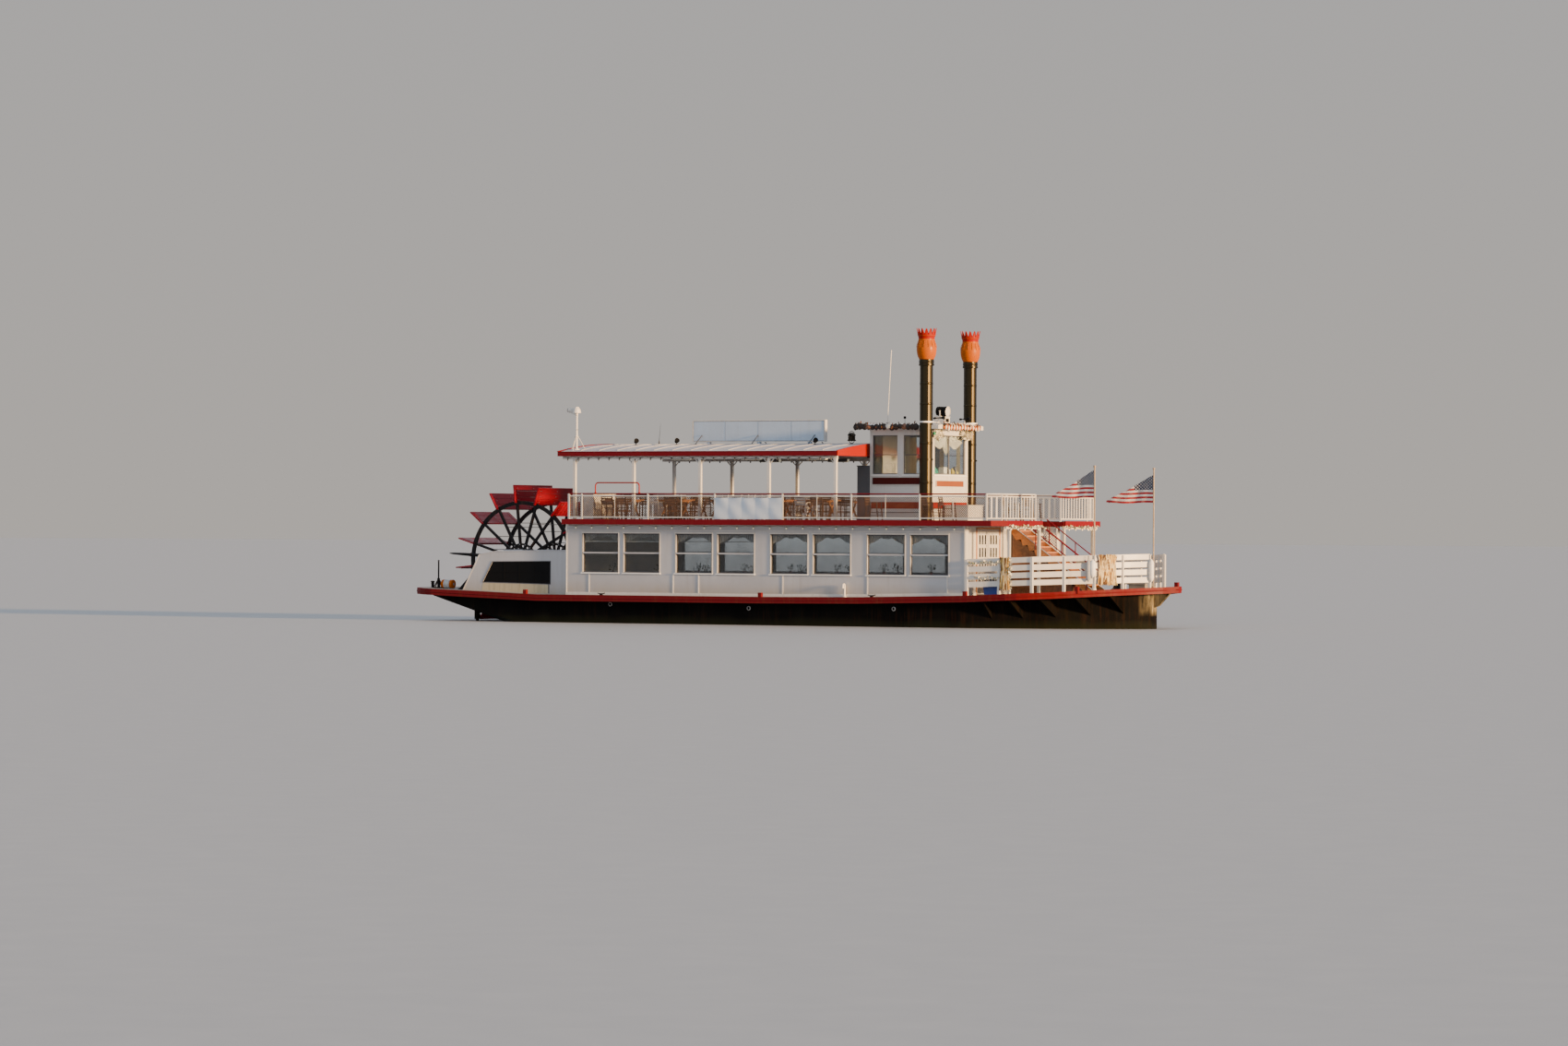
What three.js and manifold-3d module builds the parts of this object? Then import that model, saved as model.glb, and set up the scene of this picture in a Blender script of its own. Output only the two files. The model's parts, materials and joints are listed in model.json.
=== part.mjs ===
// Sternwheel paddle boat, afloat. Millimetres, +X towards the bow, +Y to port, +Z up.
// The origin is on the centreline amidships, at the waterline.
import * as THREE from "three";
import { mergeVertices } from "three/addons/utils/BufferGeometryUtils.js";
import Module from "manifold-3d";

const wasm = await Module();
wasm.setup();

// Clearance between pieces that touch, and between a door and its frame
const GAP = 0.3;
const DOOR_GAP = 6;

// Main deck: [x, height above the water] of its sheer line, and the plan of its edge
const SHEER = [
  [-14500, 1180],
  [-9000, 980],
  [0, 980],
  [4000, 1010],
  [8000, 1100],
  [11000, 1240],
  [14300, 1450],
];
const STERN = -14500;
const NOSE = 14230;
const HALF_BEAM = 3900;
const STERN_CORNER = 1100;
const BOW_CURVE_START = 9600;
const BOW_CURVE_POWER = 1.7;
const BOW_STEPS = 12;
const DECK_THICK = 60;
const GUARD_DEPTH = 220;
const GUARD_WIDE = 160;

// Hull under the deck
const HULL_HALF_BEAM = 3450;
const HULL_BOW_START = 5500;
const HULL_BOW_POWER = 2.2;
const STEM = 13270;
const STEM_HALF = 180;
const KEEL_Z = -1000;
const BILGE_Z = -720;
const KEEL_HALF = 70;

// Paddle wheel and the well it turns in
const WHEEL = { x: -11350, z: 2150, paddleR: 2720, rimR: 2130, rimDepth: 100, rimY: 1130, arms: 16 };
const WELL = { aft: -13980, fore: -8600, half: 1430 };

// Saloon on the main deck
const SALOON = { aft: -8000, fore: 7870, half: 3500, wall: 80, top: 3450 };
const WINDOW = { wide: 1460, gap: 220, pitch: 3800, first: -7320, low: 1780, high: 3140, bar: 50 };
const DOORWAY = { inner: 1050, outer: 2650, top: 3330 };

// Upper deck
const DECK2 = { aft: -7950, fore: 9450, half: 3900, low: 3450, top: 3600, chamfer: 400, fascia: 60 };
const STAIR_NOTCH = { aft: 8050, half: 850 };
const RAIL = { y: 3750, top: 4550, post: 50 };
const RAIL_POSTS = [-7720, -7200, -4500, -1800, 900, 3600, 6250, 8800];

// Awning over the after two thirds of the upper deck
const AWNING = { aft: -8300, fore: 2940, half: 3600, low: 5860, edge: 6000, crown: 6300 };
const AWNING_POSTS = [-7720, -5300, -2600, 150, 2780];
const AWNING_POST = { y: 3400, wide: 100 };

// Pilothouse and the two stacks beside its front
const PILOT = { aft: 2980, fore: 5380, half: 1330, wall: 60, top: 6780, sill: 5230, head: 6570 };
const STACK = { x: 5320, y: 1600, r: 225, top: 8940 };

const paint = (color, roughness = 0.5, metalness = 0) =>
  new THREE.MeshStandardMaterial({ color, roughness, metalness });
const WHITE = paint(0xe9e7e0);
const WALL_GREY = paint(0xd5d5d2);
const DARK_RED = paint(0x7d1713);
const RED = paint(0xb61d14);
const BLACK = paint(0x121212, 0.35);
const HULL_BLACK = paint(0x171615, 0.55);
const DECK_GREY = paint(0x77716a, 0.8);
const WOOD = paint(0x8a4a1c, 0.5);
const GLASS = paint(0x223038, 0.1);
const BRASS = paint(0xb8913f, 0.3, 0.9);
const STEEL = paint(0x8d8f91, 0.4, 0.8);
const CLOTH = paint(0xdfe4ea, 0.9);
const STRAW = paint(0xc79b4c, 0.9);
const AWNING_WHITE = paint(0xe4e2dc, 0.7);

const boat = new THREE.Group();

function addPiece(name, geometry, material) {
  const mesh = new THREE.Mesh(geometry, material);
  mesh.name = name;
  boat.add(mesh);
}

// Joining and cutting

const solids = new WeakMap();

function solid(geometry) {
  if (solids.has(geometry)) return solids.get(geometry);
  const bare = geometry.index ? geometry.toNonIndexed() : geometry.clone();
  bare.deleteAttribute("normal");
  bare.deleteAttribute("uv");
  const merged = mergeVertices(bare, 1e-3);
  return new wasm.Manifold(
    new wasm.Mesh({
      numProp: 3,
      vertProperties: merged.attributes.position.array,
      triVerts: new Uint32Array(merged.index.array),
    }),
  );
}

function fromSolid(made) {
  const mesh = made.getMesh();
  const geometry = new THREE.BufferGeometry();
  geometry.setAttribute("position", new THREE.BufferAttribute(new Float32Array(mesh.vertProperties), 3));
  geometry.setIndex(new THREE.BufferAttribute(new Uint32Array(mesh.triVerts), 1));
  geometry.computeVertexNormals();
  solids.set(geometry, made);
  return geometry;
}

const join = (...parts) => fromSolid(parts.map(solid).reduce((sum, part) => sum.add(part)));
const cut = (whole, ...tools) =>
  fromSolid(tools.map(solid).reduce((rest, tool) => rest.subtract(tool), solid(whole)));
const common = (a, b) => fromSolid(solid(a).intersect(solid(b)));

// Shapes

// Rings of points, [x, y, z] each, joined in turn and closed at both ends. A ring turns
// anticlockwise for someone who looks back at it from the last ring.
function loft(rings) {
  const n = rings[0].length;
  const last = (rings.length - 1) * n;
  const index = [];
  for (let r = 0; r + 1 < rings.length; r++)
    for (let i = 0; i < n; i++) {
      const a = r * n + i;
      const b = r * n + ((i + 1) % n);
      index.push(a, b, b + n, a, b + n, a + n);
    }
  for (let i = 1; i + 1 < n; i++) index.push(0, i + 1, i, last, last + i, last + i + 1);
  const geometry = new THREE.BufferGeometry();
  geometry.setAttribute("position", new THREE.Float32BufferAttribute(rings.flat(2), 3));
  geometry.setIndex(index);
  return geometry;
}

function box(x0, x1, y0, y1, z0, z1) {
  const geometry = new THREE.BoxGeometry(x1 - x0, y1 - y0, z1 - z0);
  return geometry.translate((x0 + x1) / 2, (y0 + y1) / 2, (z0 + z1) / 2);
}

const vec = (p) => new THREE.Vector3(...p);

// A round bar from p to q
function rod(p, q, radius, sides = 10) {
  const along = vec(q).sub(vec(p));
  const turn = new THREE.Quaternion().setFromUnitVectors(
    new THREE.Vector3(0, 1, 0),
    along.clone().normalize(),
  );
  const middle = vec(p).addScaledVector(along, 0.5);
  return new THREE.CylinderGeometry(radius, radius, along.length(), sides)
    .applyQuaternion(turn)
    .translate(middle.x, middle.y, middle.z);
}

// A square bar from p to q, its width level and its depth at right angles to that
function bar(p, q, wide, deep) {
  const along = vec(q).sub(vec(p)).normalize();
  const level = Math.abs(along.z) > 0.999 ? vec([0, 1, 0]) : vec([-along.y, along.x, 0]).normalize();
  const upright = along.clone().cross(level);
  const ring = (end) =>
    [
      [-1, -1],
      [1, -1],
      [1, 1],
      [-1, 1],
    ].map(([a, b]) =>
      vec(end)
        .addScaledVector(level, (a * wide) / 2)
        .addScaledVector(upright, (b * deep) / 2)
        .toArray(),
    );
  return loft([ring(p), ring(q)]);
}

// An outline pushed along one axis. The outline is in XY for z, XZ for y and YZ for x.
const PLANES = {
  x: new THREE.Matrix4().makeBasis(vec([0, 1, 0]), vec([0, 0, 1]), vec([1, 0, 0])),
  y: new THREE.Matrix4().makeBasis(vec([1, 0, 0]), vec([0, 0, 1]), vec([0, -1, 0])),
  z: new THREE.Matrix4(),
};
function plate(axis, outline, from, to) {
  const shape = new THREE.Shape(outline.map(([a, b]) => new THREE.Vector2(a, b)));
  const geometry = new THREE.ExtrudeGeometry(shape, { depth: to - from, bevelEnabled: false });
  geometry.applyMatrix4(PLANES[axis]);
  const shift = { x: [from, 0, 0], y: [0, to, 0], z: [0, 0, from] }[axis];
  return geometry.translate(...shift);
}

// A profile of [radius, height] turned about an upright axis
function turned(profile, x, y, sides = 24) {
  const points = profile.map(([r, z]) => new THREE.Vector2(r, z));
  return new THREE.LatheGeometry(points, sides).rotateX(Math.PI / 2).translate(x, y, 0);
}

// The same shape on the other side of the boat
function mirrored(geometry) {
  const other = geometry.index ? geometry.toNonIndexed() : geometry.clone();
  const place = other.attributes.position;
  for (let i = 0; i < place.count; i += 3) {
    const corner = [0, 2, 1].map((k) => [place.getX(i + k), -place.getY(i + k), place.getZ(i + k)]);
    corner.forEach((c, k) => place.setXYZ(i + k, ...c));
  }
  other.deleteAttribute("normal");
  return other;
}

// A starboard piece and its twin to port
function addPair(name, geometry, material) {
  addPiece(name + "_starboard", geometry, material);
  addPiece(name + "_port", mirrored(geometry), material);
}

// Height of the main deck at x
function deckZ(x) {
  const next = SHEER.findIndex(([end]) => end >= x);
  const [x0, z0] = SHEER[Math.max(next - 1, 0)];
  const [x1, z1] = SHEER[Math.max(next, 1)];
  return z0 + ((z1 - z0) * (x - x0)) / (x1 - x0);
}

// A layer that follows the sheer, from low to high above the deck
const sheerLayer = (low, high) =>
  plate(
    "y",
    [...SHEER.map(([x, z]) => [x, z + low]), ...SHEER.map(([x, z]) => [x, z + high]).reverse()],
    -HALF_BEAM - 100,
    HALF_BEAM + 100,
  );

// Half the deck's breadth at x on the bow's curve
const bowHalf = (x) =>
  HALF_BEAM * (1 - (Math.max(x - BOW_CURVE_START, 0) / (NOSE - BOW_CURVE_START)) ** BOW_CURVE_POWER);

// Plan of the deck's edge, moved in by inset
function deckPlan(inset) {
  const side = [];
  const radius = STERN_CORNER - inset;
  for (let a = 0; a <= 6; a++) {
    const angle = (a / 6) * (Math.PI / 2);
    side.push([
      STERN + STERN_CORNER - radius * Math.cos(angle),
      -(HALF_BEAM - STERN_CORNER) - radius * Math.sin(angle),
    ]);
  }
  const length = NOSE - BOW_CURVE_START - 1.3 * inset;
  for (let i = 0; i <= BOW_STEPS; i++) {
    const s = i / BOW_STEPS;
    const half = Math.max((HALF_BEAM - inset) * (1 - s ** BOW_CURVE_POWER), 110);
    side.push([BOW_CURVE_START + length * s, -half]);
  }
  return [...side, ...side.map(([x, y]) => [x, -y]).reverse()];
}

// Hull: sections from the raked stern to the stem, each [x, half breadth, top, bilge, keel]

function hullHalf(x) {
  const s = Math.max(x - HULL_BOW_START, 0) / (STEM - HULL_BOW_START);
  return STEM_HALF + (HULL_HALF_BEAM - STEM_HALF) * (1 - s ** HULL_BOW_POWER);
}
const RAKE = { fore: -8500, aft: -13600, low: BILGE_Z, high: 800 };
function rakeZ(x) {
  const s = Math.min(Math.max((RAKE.fore - x) / (RAKE.fore - RAKE.aft), 0), 1);
  return RAKE.low + (RAKE.high - RAKE.low) * s;
}
const HULL_STATIONS = [
  RAKE.aft, RAKE.fore, 0, HULL_BOW_START, 7500, 9000, 10300, 11400, 12300, 12900, STEM,
];
function hullSection(x) {
  const half = hullHalf(x);
  const bilge = rakeZ(x);
  const keel = x < RAKE.fore ? bilge - 5 : KEEL_Z + (x > 9000 ? ((x - 9000) / (STEM - 9000)) * 450 : 0);
  const foot = half * 0.86;
  return [
    [x, 0, keel],
    [x, foot, bilge],
    [x, half, Math.min(bilge + 320, 900)],
    [x, half, 1600],
    [x, -half, 1600],
    [x, -half, Math.min(bilge + 320, 900)],
    [x, -foot, bilge],
  ];
}

// Knees under the overhanging bow guard, and the bracket under the nose
const KNEES = [8600, 9600, 10600, 11600, 12500];
const KNEE_THICK = 60;
function knee(x) {
  const inner = hullHalf(x) - 150;
  const outer = bowHalf(x) - GUARD_WIDE - 60;
  return plate(
    "x",
    [
      [-inner, 1600],
      [-outer, 1600],
      [-outer, deckZ(x) - 200],
      [-inner, deckZ(x) - 900],
    ],
    x - KNEE_THICK / 2,
    x + KNEE_THICK / 2,
  );
}
const noseBracket = plate(
  "y",
  [
    [STEM - 60, 700],
    [STEM + 180, 780],
    [NOSE - 330, 1240],
    [NOSE - 330, 1600],
    [STEM - 60, 1600],
  ],
  -60,
  60,
);

// Rudders hang from bosses under the raked sterns
const RUDDER = { x: -12400, y: 2400, bossR: 110, bossLow: 60, stockR: 60, top: -60, low: -900 };
const rudderBoss = rod(
  [RUDDER.x, -RUDDER.y, RUDDER.bossLow],
  [RUDDER.x, -RUDDER.y, 900],
  RUDDER.bossR,
  16,
);

const ENGINE_BAY = { aft: -7400, fore: -4600, half: 1000, floor: -480 };
const starboardKnees = KNEES.map(knee);
const hullShape = join(
  loft(HULL_STATIONS.map(hullSection)),
  box(RAKE.fore, 9000, -KEEL_HALF, KEEL_HALF, KEEL_Z - 100, BILGE_Z),
  ...starboardKnees,
  ...starboardKnees.map(mirrored),
  noseBracket,
  rudderBoss,
  mirrored(rudderBoss),
);
const underDeck = plate(
  "y",
  [
    [-15000, -2000],
    [15000, -2000],
    ...SHEER.map(([x, z]) => [x, z - DECK_THICK - GAP]).reverse(),
    [-15000, SHEER[0][1] - DECK_THICK - GAP],
  ],
  -5000,
  5000,
);
const insideGuard = plate("z", deckPlan(GUARD_WIDE + GAP), -3000, 3000);
addPiece(
  "hull",
  cut(
    common(common(hullShape, underDeck), insideGuard),
    box(WELL.aft - 500, WELL.fore, -WELL.half, WELL.half, -2000, 2000),
    box(ENGINE_BAY.aft, ENGINE_BAY.fore, -ENGINE_BAY.half, ENGINE_BAY.half, ENGINE_BAY.floor, 2000),
  ),
  HULL_BLACK,
);
addPiece(
  "engine_block",
  box(-7100, -4900, -650, 650, ENGINE_BAY.floor + GAP, ENGINE_BAY.floor + 1050),
  STEEL,
);

// Main deck inside the guard, open over the wheel's well
addPiece(
  "main_deck",
  cut(
    common(plate("z", deckPlan(GUARD_WIDE + GAP), 0, 2000), sheerLayer(-DECK_THICK, 0)),
    box(WELL.aft, WELL.fore, -WELL.half, WELL.half, 0, 2000),
  ),
  DECK_GREY,
);

// Guard strake round the deck, with its bitts: [x, y]
const BITTS = [
  [-9490, 3810],
  [70, 3820],
  [8040, 3820],
  [11740, 2790],
];
const BITT = { wide: 130, high: 150 };
const bitt = (x, y) =>
  box(x - BITT.wide / 2, x + BITT.wide / 2, y - BITT.wide / 2, y + BITT.wide / 2, deckZ(x) - 80, deckZ(x) + BITT.high);
addPiece(
  "guard_strake",
  join(
    cut(
      common(plate("z", deckPlan(0), 0, 2000), sheerLayer(-GUARD_DEPTH, 0)),
      plate("z", deckPlan(GUARD_WIDE), -100, 2100),
    ),
    ...BITTS.flatMap(([x, y]) => [bitt(x, -y), bitt(x, y)]),
    bitt(NOSE - 130, 0),
  ),
  DARK_RED,
);

// Rudders
const rudder = join(
  rod([RUDDER.x, -RUDDER.y, RUDDER.low + 60], [RUDDER.x, -RUDDER.y, RUDDER.bossLow - GAP], RUDDER.stockR, 12),
  box(RUDDER.x - 750, RUDDER.x + 300, -RUDDER.y - 30, -RUDDER.y + 30, RUDDER.low, RUDDER.top),
);
addPair("rudder", rudder, HULL_BLACK);

// Saloon: walls that stand on the sheer, with their windows and doorways

const saloonFoot = (from, to) => [
  [from, deckZ(from) + GAP],
  ...SHEER.filter(([x]) => x > from && x < to).map(([x, z]) => [x, z + GAP]),
  [to, deckZ(to) + GAP],
];
const windowStarts = [0, 1, 2, 3].flatMap((pair) => {
  const start = WINDOW.first + pair * WINDOW.pitch;
  return [start, start + WINDOW.wide + WINDOW.gap];
});
const windowHoles = windowStarts.flatMap((x) => {
  const middle = (WINDOW.low + WINDOW.high) / 2;
  const across = [x, x + WINDOW.wide, -SALOON.half - 50, -SALOON.half + SALOON.wall + 50];
  return [
    box(...across, WINDOW.low, middle - WINDOW.bar / 2),
    box(...across, middle + WINDOW.bar / 2, WINDOW.high),
  ];
});
const SALOON_TOP = SALOON.top - GAP;
addPair(
  "saloon_side",
  cut(
    plate(
      "y",
      [...saloonFoot(SALOON.aft, SALOON.fore), [SALOON.fore, SALOON_TOP], [SALOON.aft, SALOON_TOP]],
      -SALOON.half,
      -SALOON.half + SALOON.wall,
    ),
    ...windowHoles,
  ),
  WALL_GREY,
);
const PANE = { thick: 12, margin: 60 };
const windowsEnd = windowStarts.at(-1) + WINDOW.wide;
const saloonInner = -SALOON.half + SALOON.wall;
addPair(
  "saloon_panes",
  box(
    WINDOW.first - PANE.margin,
    windowsEnd + PANE.margin,
    saloonInner + GAP,
    saloonInner + GAP + PANE.thick,
    WINDOW.low - PANE.margin,
    WINDOW.high + PANE.margin,
  ),
  GLASS,
);

const endHalf = SALOON.half - SALOON.wall - GAP;
addPiece(
  "saloon_aft_wall",
  box(SALOON.aft, SALOON.aft + SALOON.wall, -endHalf, endHalf, deckZ(SALOON.aft) + GAP, SALOON_TOP),
  WALL_GREY,
);
const frontFoot = deckZ(SALOON.fore) + GAP;
const SILL = 40;
addPiece(
  "saloon_front_wall",
  cut(
    box(SALOON.fore - SALOON.wall, SALOON.fore, -endHalf, endHalf, frontFoot, SALOON_TOP),
    ...[-1, 1].map((side) => {
      const edges = [side * DOORWAY.inner, side * DOORWAY.outer].sort((a, b) => a - b);
      return box(SALOON.fore - 500, SALOON.fore + 500, ...edges, frontFoot + SILL, DOORWAY.top);
    }),
  ),
  WHITE,
);

// Door leaves, hinged at the doorway's edges on barrels outside the wall
const LEAF = { thick: 45, lites: 3, rows: 4 };
const BARREL = { r: 12, out: 12.5 };
function doorLeaf(hingeY, freeY, x, low, high, glazed) {
  const way = Math.sign(freeY - hingeY);
  const near = hingeY + way * DOOR_GAP;
  const far = freeY - (way * DOOR_GAP) / 2;
  const [y0, y1] = [near, far].sort((a, b) => a - b);
  const z0 = low + DOOR_GAP;
  const z1 = high - DOOR_GAP;
  const holes = [];
  const stile = 95;
  const pitchY = (y1 - y0 - 2 * stile) / LEAF.lites;
  const pitchZ = (z1 - z0 - 450) / LEAF.rows;
  for (let i = 0; glazed && i < LEAF.lites; i++)
    for (let j = 0; j < LEAF.rows; j++)
      holes.push(
        box(
          x - 100,
          x + 100,
          y0 + stile + pitchY * (i + 0.18),
          y0 + stile + pitchY * (i + 0.82),
          z0 + 330 + pitchZ * (j + 0.12),
          z0 + 330 + pitchZ * (j + 0.88),
        ),
      );
  const slab = cut(box(x - LEAF.thick, x, y0, y1, z0, z1), ...holes);
  const axis = [x + BARREL.out, hingeY];
  const knuckle = (z) =>
    join(
      rod([...axis, z - 60], [...axis, z + 60], BARREL.r, 12),
      box(x - 10, axis[0] + 2.5, ...[hingeY + way * 1.5, near + way * 30].sort((a, b) => a - b), z - 50, z + 50),
    );
  return join(slab, knuckle(z0 + 250), knuckle(z1 - 250));
}
const doorMiddle = (DOORWAY.inner + DOORWAY.outer) / 2;
const doorAt = [SALOON.fore, frontFoot + SILL, DOORWAY.top, true];
addPair("door_outer", doorLeaf(-DOORWAY.outer, -doorMiddle, ...doorAt), WHITE);
addPair("door_inner", doorLeaf(-DOORWAY.inner, -doorMiddle, ...doorAt), WHITE);

// Tables with a bench on each side of them, on a floor rail under each row of windows
const TABLE = { pitch: 1900, first: -6500, count: 7, wide: 1300 };
function saloonSeats() {
  const outer = -endHalf + 30;
  const inner = outer + TABLE.wide;
  const leg = [outer + 500, outer + 620];
  const end = TABLE.first + (TABLE.count - 1) * TABLE.pitch;
  const rail = saloonFoot(TABLE.first - 800, end + 800);
  const parts = [plate("y", [...rail, ...rail.map(([x, z]) => [x, z + 40]).reverse()], ...leg)];
  for (let i = 0; i < TABLE.count; i++) {
    const x = TABLE.first + i * TABLE.pitch;
    const floor = deckZ(x);
    parts.push(box(x - 350, x + 350, outer, inner, floor + 700, floor + 740));
    parts.push(box(x - 50, x + 50, ...leg, floor + 30, floor + 720));
    for (const side of [-1, 1]) {
      const seat = x + side * 615;
      const foot = deckZ(seat);
      parts.push(box(seat - 185, seat + 185, outer, inner, foot + 380, foot + 440));
      parts.push(box(seat - 40, seat + 40, ...leg, foot + 25, foot + 400));
    }
  }
  return join(...parts);
}
const seatRow = saloonSeats();
addPair("saloon_tables", seatRow, WOOD);

// Upper deck with the stair's notch, and the fascia round it

function upperPlan(inset) {
  const half = DECK2.half - inset;
  const fore = DECK2.fore - inset;
  const slant = DECK2.chamfer - inset * (Math.SQRT2 - 1) * Math.SQRT2;
  return [
    [DECK2.aft + inset, -half],
    [fore - slant, -half],
    [fore, -half + slant],
    [fore, half - slant],
    [fore - slant, half],
    [DECK2.aft + inset, half],
  ];
}
const notch = box(STAIR_NOTCH.aft, DECK2.fore + 500, -STAIR_NOTCH.half, STAIR_NOTCH.half, 3000, 4000);
addPiece("upper_deck", cut(plate("z", upperPlan(DECK2.fascia + GAP), DECK2.low, DECK2.top), notch), DECK_GREY);
addPiece(
  "upper_fascia",
  cut(
    plate("z", upperPlan(0), DECK2.low, DECK2.top + 40),
    plate("z", upperPlan(DECK2.fascia), 3000, 4000),
    notch,
  ),
  DARK_RED,
);

// Rails of the upper deck
const railZ = { top: [RAIL.top - 50, RAIL.top], second: [4430, 4470], low: [3690, 3730] };
const railFoot = DECK2.top + GAP;

// A rail along a line of points [x, y], with posts at them and pickets between
function railRun(points, picketPitch) {
  const parts = points.map(([x, y]) =>
    box(x - RAIL.post / 2, x + RAIL.post / 2, y - RAIL.post / 2, y + RAIL.post / 2, railFoot, RAIL.top - 20),
  );
  for (let i = 0; i + 1 < points.length; i++) {
    const [p, q] = [points[i], points[i + 1]];
    const level = ([low, high], wide) => {
      const z = (low + high) / 2;
      parts.push(bar([...p, z], [...q, z], wide, high - low));
    };
    level(railZ.top, 64);
    level(railZ.second, 30);
    level(railZ.low, 30);
    const length = Math.hypot(q[0] - p[0], q[1] - p[1]);
    const count = picketPitch ? Math.round(length / picketPitch) : 0;
    for (let k = 1; k < count; k++) {
      const [x, y] = [0, 1].map((c) => p[c] + ((q[c] - p[c]) * k) / count);
      parts.push(box(x - 10, x + 10, y - 10, y + 10, railZ.low[0] + 15, railZ.second[1] - 15));
    }
  }
  return join(...parts);
}
const FORE_RAIL = { x: 9200, corner: 3400, gate: 940 };
addPair(
  "upper_rail",
  join(
    railRun(RAIL_POSTS.map((x) => [x, -RAIL.y]), 0),
    railRun(
      [
        [RAIL_POSTS.at(-1), -RAIL.y],
        [FORE_RAIL.x, -FORE_RAIL.corner],
        [FORE_RAIL.x, -FORE_RAIL.gate],
        [STAIR_NOTCH.aft + 50, -FORE_RAIL.gate],
      ],
      230,
    ),
  ),
  WHITE,
);
const AFT_RAIL = { x: -7840, half: 3600 };
addPiece(
  "aft_rail",
  railRun([-1, -0.5, 0, 0.5, 1].map((k) => [AFT_RAIL.x, k * AFT_RAIL.half]), 230),
  WHITE,
);

// Raised hoop over the starboard rail, and the banner that hangs on the rail
const HOOP = { aft: -6650, fore: -4860, top: 4920, r: 22 };
const hoopBar = (p, q) => rod(p, q, HOOP.r, 8);
const hoopFeet = RAIL.top + GAP;
addPiece(
  "gate_hoop",
  join(
    hoopBar([HOOP.aft, -RAIL.y, hoopFeet], [HOOP.aft, -RAIL.y, HOOP.top]),
    hoopBar([HOOP.fore, -RAIL.y, hoopFeet], [HOOP.fore, -RAIL.y, HOOP.top]),
    hoopBar([HOOP.aft - 15, -RAIL.y, HOOP.top - 8], [HOOP.fore + 15, -RAIL.y, HOOP.top - 8]),
  ),
  RED,
);
const bannerBack = -RAIL.y - RAIL.post / 2 - GAP;
addPiece("rail_banner", box(-1790, 890, bannerBack - 12, bannerBack, 3650, 4400), CLOTH);

// Awning: posts and header on each side, roof on cross beams, fascia round it
const AWNING_HEADER = { deep: 120 };
const awningPostTop = AWNING.low - AWNING_HEADER.deep / 2;
addPair(
  "awning_frame",
  join(
    ...AWNING_POSTS.map((x) =>
      box(
        x - AWNING_POST.wide / 2,
        x + AWNING_POST.wide / 2,
        -AWNING_POST.y - AWNING_POST.wide / 2,
        -AWNING_POST.y + AWNING_POST.wide / 2,
        railFoot,
        awningPostTop,
      ),
    ),
    box(
      AWNING.aft + 100,
      AWNING.fore - 80,
      -AWNING_POST.y - 40,
      -AWNING_POST.y + 40,
      AWNING.low - AWNING_HEADER.deep,
      AWNING.low,
    ),
  ),
  WHITE,
);
const ROOF_THICK = 50;
const roofHalf = AWNING.half - 60 - GAP;
const camber = (y, rise) => rise * (1 - (y / roofHalf) ** 2);
const roofRow = Array.from({ length: 13 }, (_, i) => -roofHalf + (i / 12) * 2 * roofHalf);
const roofRise = AWNING.crown - AWNING.edge;
const awningShell = plate(
  "x",
  [
    ...roofRow.map((y) => [y, AWNING.edge - ROOF_THICK + camber(y, roofRise)]),
    ...roofRow.map((y) => [y, AWNING.edge + camber(y, roofRise)]).reverse(),
  ],
  AWNING.aft + 60 + GAP,
  AWNING.fore - GAP,
);
const beamRow = roofRow.filter((_, i) => i % 2 === 0);
const crossBeam = (x) =>
  plate(
    "x",
    [
      [-roofHalf + 20, AWNING.low + GAP],
      [roofHalf - 20, AWNING.low + GAP],
      ...beamRow.map((y) => [y * 0.994, AWNING.edge - 20 + camber(y, roofRise)]).reverse(),
    ],
    x - 35,
    x + 35,
  );
addPiece("awning_roof", join(awningShell, ...AWNING_POSTS.map(crossBeam)), AWNING_WHITE);
addPiece(
  "awning_fascia",
  cut(
    join(
      plate(
        "z",
        [
          [AWNING.aft, -AWNING.half],
          [AWNING.fore, -AWNING.half],
          [AWNING.fore, AWNING.half],
          [AWNING.aft, AWNING.half],
        ],
        AWNING.low - 20,
        AWNING.edge,
      ),
    ),
    box(AWNING.aft + 60, AWNING.fore + 100, -AWNING.half + 60, AWNING.half - 60, 5000, 7000),
  ),
  DARK_RED,
);

// Pilothouse: walls with their windows, panes, after door, cambered roof
const pilotFoot = DECK2.top + GAP;
const pilotShell = cut(
  box(PILOT.aft, PILOT.fore, -PILOT.half, PILOT.half, pilotFoot, PILOT.top),
  box(
    PILOT.aft + PILOT.wall,
    PILOT.fore - PILOT.wall,
    -PILOT.half + PILOT.wall,
    PILOT.half - PILOT.wall,
    3000,
    7000,
  ),
);
const PILOT_DOOR = { half: 360, top: 5620 };
const pilotSideWindows = [
  [3090, 4060],
  [4300, 5260],
];
const nameBoard = box(3080, 5060, -PILOT.half - 30, -PILOT.half + 10, 4860, 5130);
addPiece(
  "pilothouse_walls",
  cut(
    join(pilotShell, nameBoard, mirrored(nameBoard)),
    ...pilotSideWindows.map(([a, b]) => box(a, b, -2000, 2000, PILOT.sill, PILOT.head)),
    box(PILOT.fore - 500, PILOT.fore + 500, -1120, 1120, PILOT.sill, PILOT.head),
    box(PILOT.aft - 500, PILOT.aft + 500, -PILOT_DOOR.half, PILOT_DOOR.half, pilotFoot + SILL, PILOT_DOOR.top),
  ),
  WHITE,
);
const paneHalf = PILOT.half - PILOT.wall - GAP;
const paneZ = [PILOT.sill - 50, PILOT.head + 50];
const paneFore = PILOT.fore - PILOT.wall - GAP;
const sidePane = box(PILOT.aft + 80, paneFore, -paneHalf, -paneHalf + PANE.thick, ...paneZ);
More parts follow.
